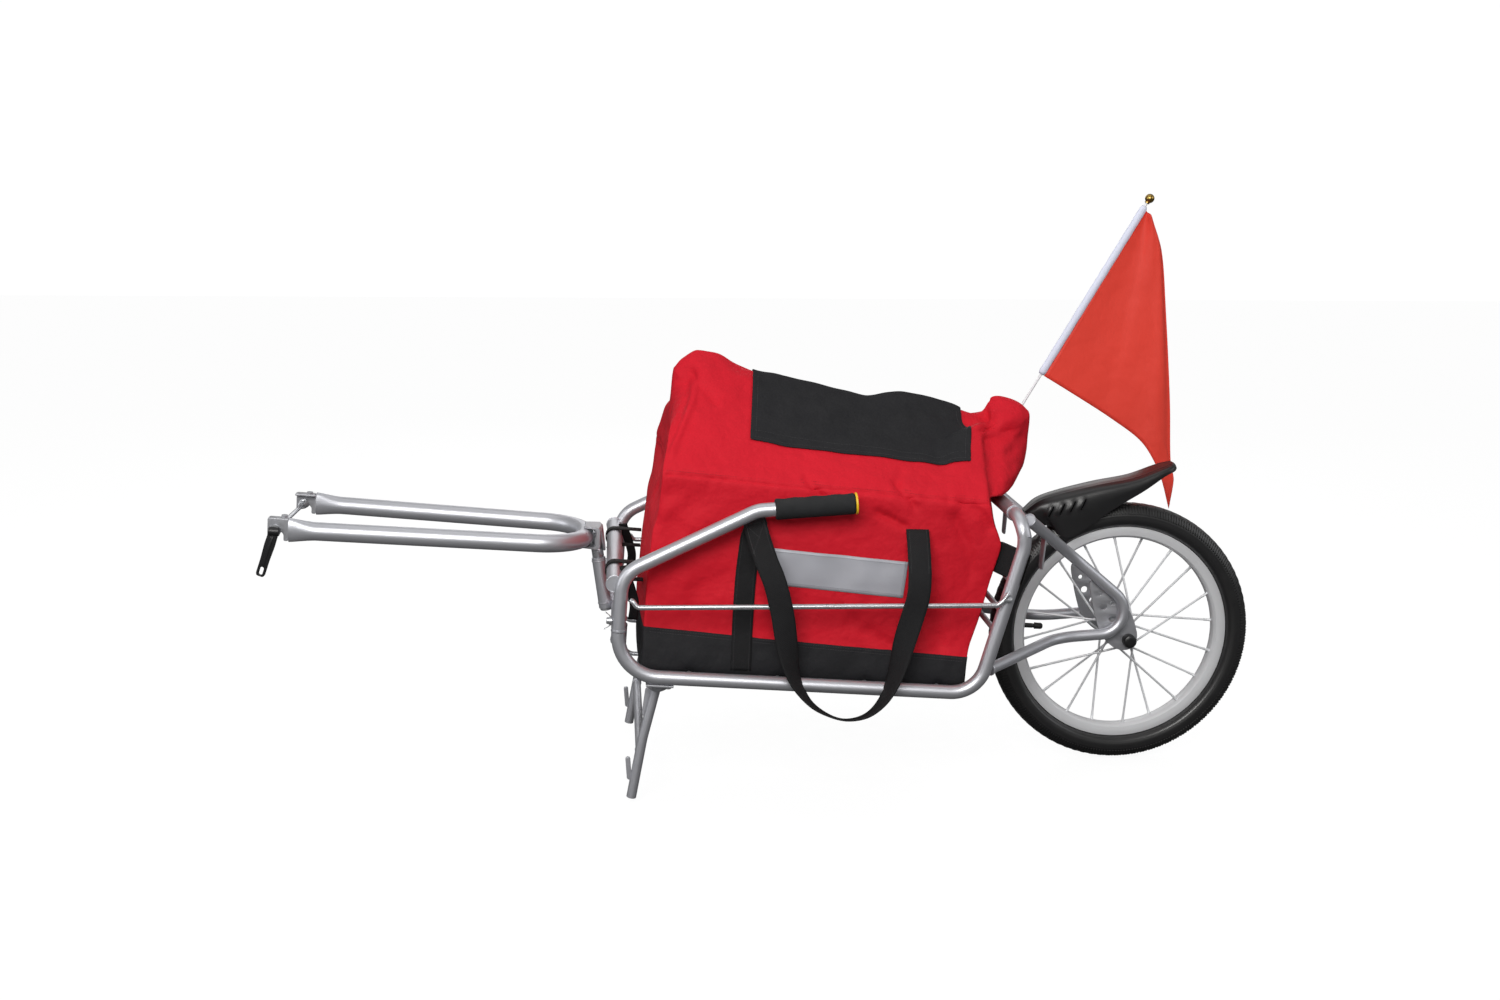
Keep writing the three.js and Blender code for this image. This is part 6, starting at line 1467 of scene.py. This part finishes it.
WALL_LINE = [(p.x, p.y) for p in flow([(a, b, 0) for a, b in WALL_SHARES], 41) if p.y < 0.968]
WALL_LINE += [(1, 0.978), (1, 0.99), (1, 1)]
ROOF_LINE = [(0.991, 0.012), (0.98, 0.026)]
ROOF_LINE += [(p.x, p.y) for p in flow([(a, b, 0) for a, b in ROOF_SHARES], 41) if p.y > 0.034]


def half_section(share):
    """The bag's outline from its floor corner over the seam to the ridge, as (y, z) pairs."""
    seam, ridge = seam_height(share), table_at(RIDGE, share)
    spots = []
    for wide, tall in WALL_LINE:
        swell = 7 * math.sin(math.pi * tall) * math.sin(math.pi * share) * min(1, tall * 12)
        spots.append((BAG_HALF * wide + swell, BAG_FLOOR + (seam - BAG_FLOOR) * tall))
    for wide, rise in ROOF_LINE:
        spots.append((max(0, BAG_HALF * wide), seam + (ridge - seam) * min(rise, 1)))
    spots[-1] = (0, ridge)
    return spots


# Folds seen on the near wall and roof: (x, z) points in the level trailer, then width and depth.
FOLDS = [
    ([(-499, 226), (-490, 214), (-479, 204)], 4.5, -7.0),
    ([(-377, 224), (-362, 210), (-352, 199)], 4.5, -7.0),
    ([(-401, 187), (-383, 180), (-362, 170)], 4.5, -7.0),
    ([(-430, 34), (-402, 24), (-370, 6)], 6, -6.0),
    ([(-699, 212), (-697, 180), (-697, 148)], 5, -5.0),
    ([(-705, 148), (-684, 172), (-662, 193)], 8, 2.4),
    ([(-374, 228), (-366, 240)], 5, -3.6),
    ([(-652, 332), (-657, 308), (-668, 282), (-682, 249)], 4, 2.6),
    ([(-661, 330), (-664, 312), (-673, 288), (-688, 250)], 4, -2.6),
    ([(-648, 322), (-652, 300), (-661, 276), (-674, 246)], 6, -1.6),
    ([(-656, 342), (-652, 334), (-637, 324), (-622, 311)], 5, -5.0),
    ([(-644, 309), (-624, 310)], 6, -2.6),
    ([(-636, 341), (-618, 330), (-600, 318)], 8, 2.0),
    ([(-560, 120), (-548, 70), (-540, 22)], 22, 2.5),
    ([(-330, 150), (-300, 110), (-290, 50)], 20, 2.2),
    ([(-455, 200), (-440, 160), (-446, 110)], 18, -1.8),
    ([(-640, 60), (-600, 90), (-560, 96)], 12, -2.0),
    ([(-690, 90), (-660, 120), (-640, 160)], 14, 2.2),
    ([(-296, 186), (-276, 150), (-262, 110)], 8, -5.0),
    ([(-470, 232), (-440, 238), (-400, 231)], 10, 1.6),
    ([(-620, 240), (-560, 236), (-510, 228)], 12, -1.8),
    ([(-232, 306), (-233, 280), (-235, 250), (-238, 212)], 7, -13.0),
    ([(-232, 300), (-218, 292), (-204, 291)], 6, -6.0),
    ([(-226, 236), (-206, 232), (-190, 240)], 8, 3.0),
    ([(-228, 268), (-214, 272), (-202, 278), (-190, 288)], 5, 2.6),
    ([(-226, 262), (-210, 262), (-198, 266)], 6, -4.0),
    ([(-238, 300), (-226, 304), (-212, 300)], 5, -3.0),
    ([(-330, 60), (-312, 36), (-300, 8)], 8, -4.4),
    ([(-246, 176), (-262, 196), (-284, 206)], 7, -4.4),
]


def fold_push(x, z, mirror):
    """How far the folds near a point press the cloth in or out. They are shifted and softer on the far side."""
    push = 0
    shift = 9 if mirror else 0
    for line, width, depth in FOLDS:
        near = 1e9
        for (ax, az), (bx, bz) in zip(line, line[1:]):
            dx, dz = bx - ax, bz - az
            t = max(0, min(1, ((x - ax - shift) * dx + (z - az) * dz) / (dx * dx + dz * dz)))
            near = min(near, math.hypot(x - ax - shift - dx * t, z - az - dz * t))
        if near < width * 3:
            push += depth * (0.7 if mirror else 1) * math.exp(-((near / width) ** 2))
    return push


def floor_sag(x, y):
    """How far the slack floor hangs between the rods that carry it."""
    near = min(abs(x - rod) for rod in FLOOR_RODS)
    runner = abs(abs(y) - RUNNER_Y)
    return 9 * (1 - math.exp(-((near / 10) ** 2))) * (1 - math.exp(-((runner / 12) ** 2)))


# Where the far side, the floor and the ends lie on the bag's map, in metres.
FAR_MAP, FLOOR_MAP, END_MAP = 2.0, 4, 6


def bag_hull(grow=0.0):
    """The whole bag as one closed skin: two walls, the roof, two ends and the floor."""
    rings, columns = 112, 26
    shares = [0.5 - 0.5 * math.cos(math.pi * i / (rings - 1)) for i in range(rings)]
    shares = [0.55 * s + 0.45 * i / (rings - 1) for i, s in enumerate(shares)]
    skin = Skin()
    places = []

    def add(share, y, z):
        skin.points.append(Vector((bag_x(share, y, z), y, z)))
        places.append((share, y, z))
        return len(skin.points) - 1

    def cross(share, left, right, y, z):
        """A row of points from one side to the other."""
        inner = [add(share, y * (2 * c / columns - 1), z) for c in range(1, columns)]
        return [left, *inner, right]

    rights, lefts, runs, floors = [], [], [], []
    for share in shares:
        section = half_section(share)
        run = [0.0]
        for a, b in zip(section, section[1:]):
            run.append(run[-1] + math.hypot(b[0] - a[0], b[1] - a[1]) * MM)
        runs.append(run)
        rights.append([add(share, y, z) for y, z in section])
        lefts.append([rights[-1][i] if y == 0 else add(share, -y, z) for i, (y, z) in enumerate(section)])
        floors.append(cross(share, lefts[-1][0], rights[-1][0], *section[0]))
    for r in range(rings - 1):
        for hand_rows, offset in ((rights, 0.0), (lefts, FAR_MAP)):
            for i in range(len(hand_rows[r]) - 1):
                quad = (hand_rows[r][i], hand_rows[r + 1][i], hand_rows[r + 1][i + 1], hand_rows[r][i + 1])
                spots = tuple(
                    (skin.points[v].x * MM + offset, runs[rr][ii])
                    for v, rr, ii in zip(quad, (r, r + 1, r + 1, r), (i, i, i + 1, i + 1))
                )
                skin.face(quad, spots)
        for c in range(columns):
            floor = (floors[r][c], floors[r][c + 1], floors[r + 1][c + 1], floors[r + 1][c])
            skin.face(floor, tuple((skin.points[v].x * MM + FLOOR_MAP, skin.points[v].y * MM) for v in floor))
    for ring in (0, rings - 1):
        rows = [floors[ring]]
        for i, (y, z) in enumerate(half_section(shares[ring])):
            if 0 < i and y > 0:
                rows.append(cross(shares[ring], lefts[ring][i], rights[ring][i], y, z))
        for low, high in zip(rows, rows[1:]):
            for c in range(columns):
                corners = (low[c], low[c + 1], high[c + 1], high[c])
                skin.face(corners, tuple((places[v][1] * MM + END_MAP, places[v][2] * MM) for v in corners))
        tip = rights[ring][-1]
        for c in range(columns):
            corners = (rows[-1][c], rows[-1][c + 1], tip)
            skin.face(corners, tuple((places[v][1] * MM + END_MAP, places[v][2] * MM) for v in corners))
    shape_cloth(skin, places, grow)
    return skin


def shape_cloth(skin, places, grow):
    """Pushes the skin out and in where the cloth puckers, folds and is drawn in by its seams."""
    mesh = mesh_of(skin)
    for i, (share, y, z) in enumerate(places):
        point = skin.points[i]
        normal = mesh.vertices[i].normal.copy()
        seam = seam_height(share)
        corner = min(share, 1 - share)
        along = 1 if 0.01 < share < 0.99 else 0.4
        push = -3.4 * math.exp(-(((z - seam) / 2.0) ** 2)) * along
        bulge = math.exp(-(((z - seam - 9) / 9) ** 2)) * 1.5
        bulge += math.exp(-(((z - seam + 10) / 11) ** 2)) * 1.1
        push += bulge * along
        push += fold_push(point.x, point.z, y > 0) if abs(y) > 6 else 0
        ripple = noise.noise(point * 0.012) * 2.6 + noise.noise(point * 0.035 + Vector((7, 3, 1))) * 1.3
        ripple += abs(noise.noise(point * 0.022 + Vector((1, 9, 4)))) * 1.8 - 0.5
        calm = 0.4 if z < 20 or share == 0 else 1
        pucker = math.sin(point.x * 0.29 + 3 * noise.noise(point * 0.03)) * 0.7 * math.exp(-abs(z - seam) / 8)
        push += ripple * calm + pucker
        push -= 1.2 * math.exp(-((corner / 0.004) ** 2)) if abs(y) > 20 else 0
        low = max(0, 1 - (z - BAG_FLOOR) / 30)
        slack = Vector((0, 0, floor_sag(point.x, y) * low))
        skin.points[i] = point + normal * (push * (1 - 0.9 * low) + grow) - slack
    bpy.data.meshes.remove(mesh)


def trimmed(skin, lift, keep_above):
    """The part of the bag's skin above or below the band's edge."""
    mesh = mesh_of(skin, mapped=True)
    work = bmesh.new()
    work.from_mesh(mesh)
    run = (BAND_REAR - BAND_FRONT).normalized()
    up = Vector((-run.z, 0, run.x))
    bmesh.ops.bisect_plane(
        work, geom=[*work.verts, *work.edges, *work.faces], dist=0.001, plane_co=BAND_FRONT + up * lift,
        plane_no=up, clear_outer=not keep_above, clear_inner=keep_above,
    )
    work.to_mesh(mesh)
    work.free()
    return mesh


class Cloth:
    """The bag's finished skin, asked where a thing that lies on it touches it."""

    def __init__(self, skin):
        self.tree = BVHTree.FromPolygons(skin.points, skin.faces)

    def beside(self, x, z, side, clear):
        """A point just off the wall or the roof's side."""
        hit = self.tree.ray_cast(Vector((x, side * 260, z)), Vector((0, -side, 0)))[0]
        return Vector((x, (hit.y if hit else side * BAG_HALF) + side * clear, z))

    def above(self, x, y, clear):
        """A point just over the roof, and the way the roof faces there."""
        hit, out = self.tree.ray_cast(Vector((x, y, 500)), Vector((0, 0, -1)))[:2]
        out = out if out.z > 0 else -out
        return hit + out * clear, out


def seam_run(cloth, side, rise, clear=0.5):
    """A line of points along the side seam, a little above or below it."""
    line = []
    for k in range(160):
        share = 0.015 + 0.97 * k / 159
        z = seam_height(share) + rise
        line.append(cloth.beside(bag_x(share, BAG_HALF, z), z, side, clear))
    return line


def bag_parts():
    hull = bag_hull()
    cloth = Cloth(hull)
    for name, node, skin, lift, keep_above, material in (
        ("bag_shell", "bag_body", hull, -6, True, RED_CLOTH),
        ("bag_band", "bag_base", bag_hull(0.9), 0, False, BLACK_CLOTH),
    ):
        mesh = trimmed(skin, lift, keep_above)
        mesh.materials.append(material)
        mesh.transform(LEVEL)
        made = settle(name, mesh, "cradle", node, crease=70, wall=1.4, subdivide=1)
    run = (BAND_REAR - BAND_FRONT) / 150
    for hand, side in HANDS.items():
        sewn(f"seam_thread_{hand}", [seam_run(cloth, side, rise) for rise in (4.5, 7.5)], RED_THREAD_AND_SEAM_SHADE)
        edge = [BAND_FRONT + run * k for k in range(6, 148)]
        edges = [[cloth.beside(p.x, p.z - drop, side, 1.8) for p in edge] for drop in (2.6, 6.2)]
        sewn(f"band_thread_{hand}", edges, BLACK_THREAD)
    return cloth


FLAP_FRONT = [(0, -570), (62, -573), (113, -576)]
FLAP_REAR = [(0, -269), (25, -269), (42, -260), (62, -262), (86, -266), (109, -269)]
FLAP_LIP = [
    (-576, 0), (-567, 1), (-528, 5), (-485, 4), (-449, 2), (-414, 2), (-371, 7), (-327, 8), (-291, 6),
    (-264, 1),
]


def flap(cloth):
    """Two black panels at the closure, whose free edges stand up along the ridge in a wavy lip."""
    for name, side, reach, curl in (("flap_near", LEFT, 111, 2.4), ("flap_far", RIGHT, 60, 2.0)):
        rows = []
        for i in range(25):
            t = i / 24
            y = reach * (1 - t)
            front, rear = table_at(FLAP_FRONT, y), table_at(FLAP_REAR, y)
            row = []
            for k in range(81):
                x = front + (rear - front) * k / 80
                point, out = cloth.above(x, side * max(y, 3), 1.8)
                lip = max(0, (t - 0.8) / 0.2) ** 2
                wave = table_at(FLAP_LIP, x) * (1 if side == LEFT else 0.8)
                ease = 0.5 * math.sin(x * 0.05 + side) * math.sin(math.pi * min(1, t / 0.8))
                row.append(point + out * ease + Vector((0, side * curl * (0.4 + lip), (2 + wave) * lip)))
            rows.append(row)
        cloth_piece(name, rows, BLACK_CLOTH, "bag_flap" if side == LEFT else None, wall=1.5, subdivide=1)
        runs = [rows[1][2:-2], [row[2] for row in rows[1:-3]], [row[-3] for row in rows[1:-3]], rows[3][2:-2]]
        sewn(f"{name}_thread", runs, BLACK_THREAD, by=Vector((0, side * 0.6, 0.7)))


def reflective_strip(hand, side, cloth):
    corners = [Vector(p) for p in ((-541, 131), (-354, 122), (-357, 72), (-537, 81))]
    rows = []
    for i in range(13):
        row = []
        for k in range(49):
            low, top = corners[3].lerp(corners[2], k / 48), corners[0].lerp(corners[1], k / 48)
            spot = low.lerp(top, i / 12)
            row.append(cloth.beside(spot.x, spot.y, side, 1.3))
        rows.append(row)
    cloth_piece(f"bright_strip_{hand}", rows, GREY_CLOTH, f"reflective_strip_{hand}", wall=0.8)
    inset = [rows[1], rows[-2], [r[1] for r in rows], [r[-2] for r in rows]]
    sewn(f"strip_thread_{hand}", inset, GREY_THREAD, by=Vector((0, side * 0.5, 0)), pitch=3.2, radius=0.3)


WALL_STRAP = [(-166, -563), (-141, -570), (-70, -573), (40, -571)]


def wall_strap(hand, side, cloth):
    """The upright webbing strap sewn to the wall under the carry loop's front end."""
    rows = []
    for i in range(60):
        z = 166 - 204 * i / 59
        middle = table_at(WALL_STRAP, -z)
        rows.append([cloth.beside(middle + 14 * (k / 4 - 1), z, side, 2.0) for k in range(9)])
    cloth_piece(f"wall_strap_{hand}", rows, WEBBING, wall=1.4)
    edges = [[r[1] for r in rows], [r[-2] for r in rows]]
    by = Vector((0, side * 0.8, 0))
    sewn(f"wall_strap_thread_{hand}", edges, BLACK_THREAD, by=by, pitch=3.2, radius=0.3)


LOOP_LINE = [
    (-569, 174, -26, 0), (-562, 150, -12, 0), (-551, 122, 6, 0), (-537, 92, 17, 0), (-524, 50, 19, 4),
    (-515, 10, 19, 20), (-502, -34, 20, 58), (-480, -65, 24, 84), (-455, -80, 28, 98), (-428, -86, 29, 104),
    (-400, -78, 28, 98), (-379, -56, 24, 82), (-366, -22, 20, 60), (-358, 22, 19, 32), (-350, 60, 19.2, 10),
    (-345, 86, 18.8, 0), (-344, 112, 12, 0), (-345, 140, -4, 0), (-346, 168, -26.6, 0),
]


def cross_stitches(corner, along, across, inset=3.0):
    """A sewn box with an X in it, between a corner and two edges."""
    a = corner + along.normalized() * inset + across.normalized() * inset
    u = along - along.normalized() * inset * 2
    v = across - across.normalized() * inset * 2
    steps = lambda start, way: [start + way * k / 10 for k in range(11)]
    return [steps(a, u), steps(a + v, u), steps(a, v), steps(a + u, v), steps(a, u + v), steps(a + v, u - v)]


def carry_loop(hand, side):
    steps = 130
    line = flow([(x, side * (HALF_TRACK + out), z) for x, z, out, lay in LOOP_LINE], steps)
    lays = flow([(lay, 0, 0) for x, z, out, lay in LOOP_LINE], steps)
    rows = []
    for i, point in enumerate(line):
        run = run_at(line, i)
        flat = run.cross(ACROSS).normalized()
        flat = Quaternion(run, math.radians(lays[i].x * side)) @ flat
        face = run.cross(flat).normalized()
        row = []
        for k in range(9):
            share = k / 4 - 1
            row.append(point + flat * 15.5 * share + face * 0.5 * math.cos(share * math.pi / 2))
        rows.append(row)
    cloth_piece(f"carry_strap_{hand}", rows, WEBBING, f"bag_loop_{hand}", held="hung", wall=2.0)
    lift = Vector((0, side * 1.5, 0))
    stitches = [[row[k] + lift for row in part] for part in (rows[:14], rows[-14:]) for k in (1, 7)]
    for first, last in ((rows[2], rows[12]), (rows[-3], rows[-13])):
        stitches += cross_stitches(first[0] + lift, last[0] - first[0], first[-1] - first[0])
    sewn(f"carry_thread_{hand}", stitches, BLACK_THREAD, pitch=3.0)


UPPER_BAR_RADIUS = 11


def front_tie(hand, side):
    """A short strap round the upper bar with its two ends drawn to the bag."""
    y, reach = side * 110, UPPER_BAR_RADIUS + 1.4
    bag_end = bag_x(0, 110, UPPER_BAR.z) - 0.6
    line = [Vector((bag_end, y, UPPER_BAR.z + reach * 0.95))]
    for k in range(19):
        angle = math.pi / 2 + math.pi * k / 18
        line.append(Vector((UPPER_BAR.x + reach * math.cos(angle), y, UPPER_BAR.z + reach * math.sin(angle))))
    line.append(Vector((bag_end, y, UPPER_BAR.z - reach * 0.95)))
    outs = []
    for i, point in enumerate(line):
        away = point - Vector((UPPER_BAR.x, y, UPPER_BAR.z))
        outs.append(Vector((away.x if 0 < i < len(line) - 1 else 0, 0, away.z)).normalized())
    rests_on = ("bag_shell", "upper_cross_tube")
    rows = ribbon(line, outs, 9)
    cloth_piece(f"front_tie_{hand}", rows, WEBBING, f"front_lace_{hand}", rests_on=rests_on, wall=1.6)


TIE_TAIL = [(-736, 140, 88), (-731, 149, 74), (-724, 153, 56), (-719, 155, 38), (-720, 156, 18)]
REAR_TIE = [(-22, 152), (-13, 163), (-1, 175), (7, 183), (11.6, 191), (13.2, 200), (10.5, 207)]


def laces():
    for hand, side in HANDS.items():
        front_tie(hand, side)
        tail = flow([(x, side * y, z) for x, y, z in TIE_TAIL], 24)
        rows = ribbon(tail, [Vector((0.25, side, 0))] * len(tail), 6.5)
        rests_on = ("upper_cross_tube",)
        cloth_piece(f"front_tail_{hand}", rows, WEBBING, held="hung", rests_on=rests_on, wall=1.5)
        rows = []
        for z in (148, 126.5, 105):
            x = rear_upright_x(z)
            rows.append([Vector((x + dx, side * y, z + 3 * (1 - dx / 12))) for dx, y in REAR_TIE])
        rows = [flow([row[k] for row in rows], 7) for k in range(7)]
        rests_on = ("bag_shell", f"side_tube_{hand}")
        shaping = {"wall": 1.6, "subdivide": 1}
        cloth_piece(f"rear_tie_{hand}", rows, WEBBING, f"rear_lace_{hand}", rests_on=rests_on, **shaping)


# Flag
POLE_LEAN = math.radians(26.5)
POLE_AXIS = Vector((math.sin(POLE_LEAN), 0, math.cos(POLE_LEAN)))
POLE_ACROSS = Vector((POLE_AXIS.z, 0, -POLE_AXIS.x))
FLAG_Y = 146
POLE_ROOT = Vector((-197.7, FLAG_Y, 196))
SLEEVE = (178.5, 471)
POLE_TOP = 477
FREE_EDGE = [
    (0, 104, 161), (0.1, 107, 205), (0.17, 99.4, 232), (0.36, 87.7, 321), (0.7, 62.2, 472), (0.87, 46.4, 551),
    (1, 22, 607),
]
LOW_EDGE = [
    (0, -113, 355), (0.19, -53, 324), (0.35, -3, 297), (0.54, 48, 264), (0.65, 66, 242), (0.82, 88, 204),
    (1, 104, 161),
]


def pole_point(distance):
    return POLE_ROOT + POLE_AXIS * distance


def edge_point(table, share):
    return Vector((table_at(table, share, 1), FLAG_Y, table_at(table, share, 2)))


def flag_parts():
    skin = Skin()
    profile = [(0, 0), (4.6, 0), (5, 0.5), (5, 67), (4.6, 68), (3, 68), (3, 20), (0, 20)]
    turned(skin, profile, pole_point(-36), POLE_AXIS, 24)
    weld(skin, pole_point(-6), POLE_AXIS, 5.2, 1.1)
    piece("flag_holder", skin, TUBE, "cradle", "flag_socket")
    skin = Skin()
    profile = [
        (0, -30), (2.2, -30), (2.6, -29.5), (2.6, 34), (1.9, 40), (1.9, 180), (1.9, 330),
        (1.9, POLE_TOP - 0.5),
    ]
    turned(skin, [*profile, (1.5, POLE_TOP), (0, POLE_TOP)], pole_point(0), POLE_AXIS, 20)
    piece("flag_stick", skin, WHITE_POLE, "flag", "flag_pole")
    skin = Skin()
    ball = [(3.4, -8.2), (3.8, -8), (3.8, -6.4), (3.2, -6)]
    for k in range(2, 19):
        angle = -math.pi / 2 + math.pi * k / 18
        ball.append((7 * math.cos(angle) if k < 18 else 0, 7 * math.sin(angle)))
    turned(skin, [(0, -8.2), *ball], pole_point(POLE_TOP + 0.3 + 7), POLE_AXIS, 32)
    piece("pole_ball", skin, BRASS, "flag", "flag_ball")

    sleeve = Skin()
    rows = []
    for i in range(70):
        share = i / 69
        distance = SLEEVE[0] + (SLEEVE[1] - SLEEVE[0]) * share
        tuck = 1 - 0.34 * max(0, 1 - min(share, 1 - share) / 0.012)
        row = []
        for k in range(28):
            angle = math.tau * k / 28
            wide = 5.4 * (1 + 0.03 * math.sin(i * 0.8)) * tuck
            thick = (3.5 if math.cos(angle) < 0.3 else 3.5 * (1 - 0.45 * (math.cos(angle) - 0.3))) * tuck
            aside = POLE_ACROSS * wide * math.cos(angle)
            row.append(pole_point(distance) + aside + ACROSS * thick * math.sin(angle))
        rows.append(row)
    sleeve.rows(rows, ring=True, ends=False)
    made = piece("pole_sleeve", sleeve, WHITE_CLOTH, "flag", "flag_sleeve", crease=60, wall=0.6)

    count = 56
    rows = []
    for r in range(count):
        rise = 0.985 * r / (count - 1)
        hoist = pole_point(SLEEVE[0] + (SLEEVE[1] - SLEEVE[0]) * rise) + POLE_ACROSS * 5.2
        free = edge_point(FREE_EDGE, rise)
        row = []
        for c in range(count):
            share = c / (count - 1)
            straight = hoist.lerp(free, share)
            chord = edge_point(LOW_EDGE, 0).lerp(edge_point(LOW_EDGE, 1), share)
            sag = edge_point(LOW_EDGE, share) - chord
            point = straight + sag * (1 - rise)
            fold = 7 * math.sin(math.pi * (2.2 * share + 0.4 * rise))
            fold += 1.6 * math.sin(math.pi * (5.2 * share - 0.8 * rise))
            fold += 4 * math.exp(-((share - 0.3) / 0.05) ** 2) * (1 - rise)
            turn = share - 0.76 * (1 - rise**2.4)
            fold -= 26 * max(0, turn) * (1 - 0.6 * rise)
            point.y += fold * share**0.7 + 0.6
            row.append(point)
        rows.append(row)
    skin = Skin()
    skin.rows(rows)
    pennant = piece("flag_sheet", skin, FLAG_CLOTH_PAINTED_GLOW, "flag", "flag_pennant", wall=0.7, crease=80)
    low, hoist = cut_size(rows[:1])[0], cut_size([row[:1] for row in rows])[1]
    hem = [rows[1], [r[1] for r in rows], [r[-3] for r in rows]]
    sewn("flag_thread", hem, FLAG_CLOTH_PAINTED_GLOW, by=Vector((0, -0.6, 0)), body="flag", radius=0.28)


# Camera, light and floor
def by_ray(tree, to_others, to_camera):
    """One shader for the camera's own rays and another for all others."""
    rays = add_node(tree, "ShaderNodeLightPath")
    mix = add_node(tree, "ShaderNodeMixShader")
    for place, source in enumerate((rays.outputs["Is Camera Ray"], to_others, to_camera)):
        join(tree, source, mix.inputs[place])
    return mix.outputs[0]


def floor_finish():
    """Pale and evenly lit to the camera, and a dark grey to all other rays."""
    material = finish("pale_floor", (0.08, 0.08, 0.08, 1), (0.7, 0.8), 0, (2, 0.01), 40, 0.02, dust=0.0)
    tree = material.node_tree
    plain = tree.nodes["Principled BSDF"].outputs[0]
    glow = add_node(tree, "ShaderNodeEmission", {"Strength": 0.93})
    shown = add_node(tree, "ShaderNodeAddShader", {0: plain, 1: glow.outputs[0]})
    join(tree, by_ray(tree, plain, shown.outputs[0]), tree.nodes["Material Output"].inputs[0])
    return material


CAMERA_PLACE = (-0.2246, -2.4570, 0.8663)
CAMERA_TURN = (4.54, 10.89, 0.58)
CAMERA_LENS = 42.02
LAMPS = (
    ("key", (-0.7, -2.8, 2.0), (0, 0, 0.3), (2.0, 1.4), 84, (1, 0.99, 0.97)),
    ("left", (-2.9, -0.9, 1.3), (-0.3, 0, 0.3), (1.4, 1.6), 16, (0.97, 0.98, 1)),
    ("right", (2.8, -1.0, 1.4), (0.3, 0, 0.3), (1.4, 1.6), 10, (0.97, 0.98, 1)),
    ("top", (0.1, 0.2, 3.0), (0, 0, 0), (3.0, 1.6), 13, (1, 1, 1)),
    ("back", (0.2, 2.8, 1.6), (0, 0, 0.4), (2.4, 1.0), 12, (1, 1, 1)),
)


def camera_and_lamps():
    yaw, pitch, roll = (math.radians(angle) for angle in CAMERA_TURN)
    ahead = Vector((math.sin(yaw) * math.cos(pitch), math.cos(yaw) * math.cos(pitch), -math.sin(pitch)))
    right = Vector((math.cos(yaw), -math.sin(yaw), 0))
    up = right.cross(ahead)
    right, up = right * math.cos(roll) + up * math.sin(roll), up * math.cos(roll) - right * math.sin(roll)
    data = bpy.data.cameras.new("camera")
    data.sensor_width = 36
    data.lens = CAMERA_LENS
    data.clip_start = 0.05
    camera = put("camera", data)
    turn = Matrix((right, up, -ahead)).transposed().to_4x4()
    camera.matrix_world = Matrix.Translation(CAMERA_PLACE) @ turn
    bpy.context.scene.camera = camera

    for name, place, aim, size, power, tone in LAMPS:
        lamp = bpy.data.lights.new(name, "AREA")
        lamp.shape = "RECTANGLE"
        lamp.size, lamp.size_y = size
        lamp.energy = power
        lamp.color = tone
        holder = put(name, lamp)
        holder.location = place
        holder.rotation_euler = (Vector(aim) - Vector(place)).to_track_quat("-Z", "Y").to_euler()


def surroundings():
    """White to the camera, and a soft grey room to all other rays."""
    world = bpy.data.worlds.new("studio")
    world.use_nodes = True
    bpy.context.scene.world = world
    tree = world.node_tree
    tree.nodes.clear()
    out = add_node(tree, "ShaderNodeOutputWorld").inputs
    seen = add_node(tree, "ShaderNodeBackground", {"Color": (1, 1, 1, 1), "Strength": 1.02})
    around = add_node(tree, "ShaderNodeBackground", {"Strength": 0.42})
    height = xyz_of(tree, add_node(tree, "ShaderNodeTexCoord").outputs["Generated"])["Z"]
    share = maths(tree, "MULTIPLY", maths(tree, "ADD", height, 1.0), 0.5)
    ramp = add_node(tree, "ShaderNodeValToRGB", {0: share})
    ramp.color_ramp.elements[0].position = 0.35
    ramp.color_ramp.elements[0].color = (0.03, 0.03, 0.03, 1)
    ramp.color_ramp.elements[1].position = 0.95
    ramp.color_ramp.elements[1].color = (0.55, 0.55, 0.55, 1)
    for place, value in ((0.5, 0.08), (0.56, 0.5), (0.66, 1.0), (0.78, 0.75)):
        stop = ramp.color_ramp.elements.new(place)
        stop.color = (value, value, value, 1)
    join(tree, ramp.outputs[0], around.inputs["Color"])
    join(tree, by_ray(tree, around.outputs[0], seen.outputs[0]), out[0])


def studio_floor():
    mesh = bpy.data.meshes.new("floor")
    mesh.from_pydata([(-9, -9, 0), (9, -9, 0), (9, 9, 0), (-9, 9, 0)], [], [(0, 1, 2, 3)])
    floor = put("floor", mesh)
    mesh.materials.append(floor_finish())


# Assembly
camera_and_lamps()
surroundings()
studio_floor()
bpy.context.scene.view_settings.view_transform = "Standard"
PAIRS = (
    side_tube, stay_tube, leaf_plate, handle_tube, foam_grip, wing_bolt, side_rod, stand_hinge, spoke_set,
    dropout_plate,
)
for hand, side in HANDS.items():
    for build in PAIRS:
        build(hand, side)
rear_cross_tube()
upper_cross_tube()
floor_rods()
back_rods()
stand_legs()
tyre_casing()
wheel_repeat("tread_blocks", tread_pitch(), RUBBER, 90)
rim_band()
hub_parts()
valve()
mudguard_shell()
guard_strip()
head_tube()
stem_bolt()
fork_tube()
saddle_plate()
skewer_parts()
cloth = bag_parts()
flap(cloth)
for hand, side in HANDS.items():
    reflective_strip(hand, side, cloth)
    wall_strap(hand, side, cloth)
    carry_loop(hand, side)
laces()
flag_parts()

air_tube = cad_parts["inner_tube"]
air_tube.data.materials.clear()
air_tube.data.materials.append(RUBBER)
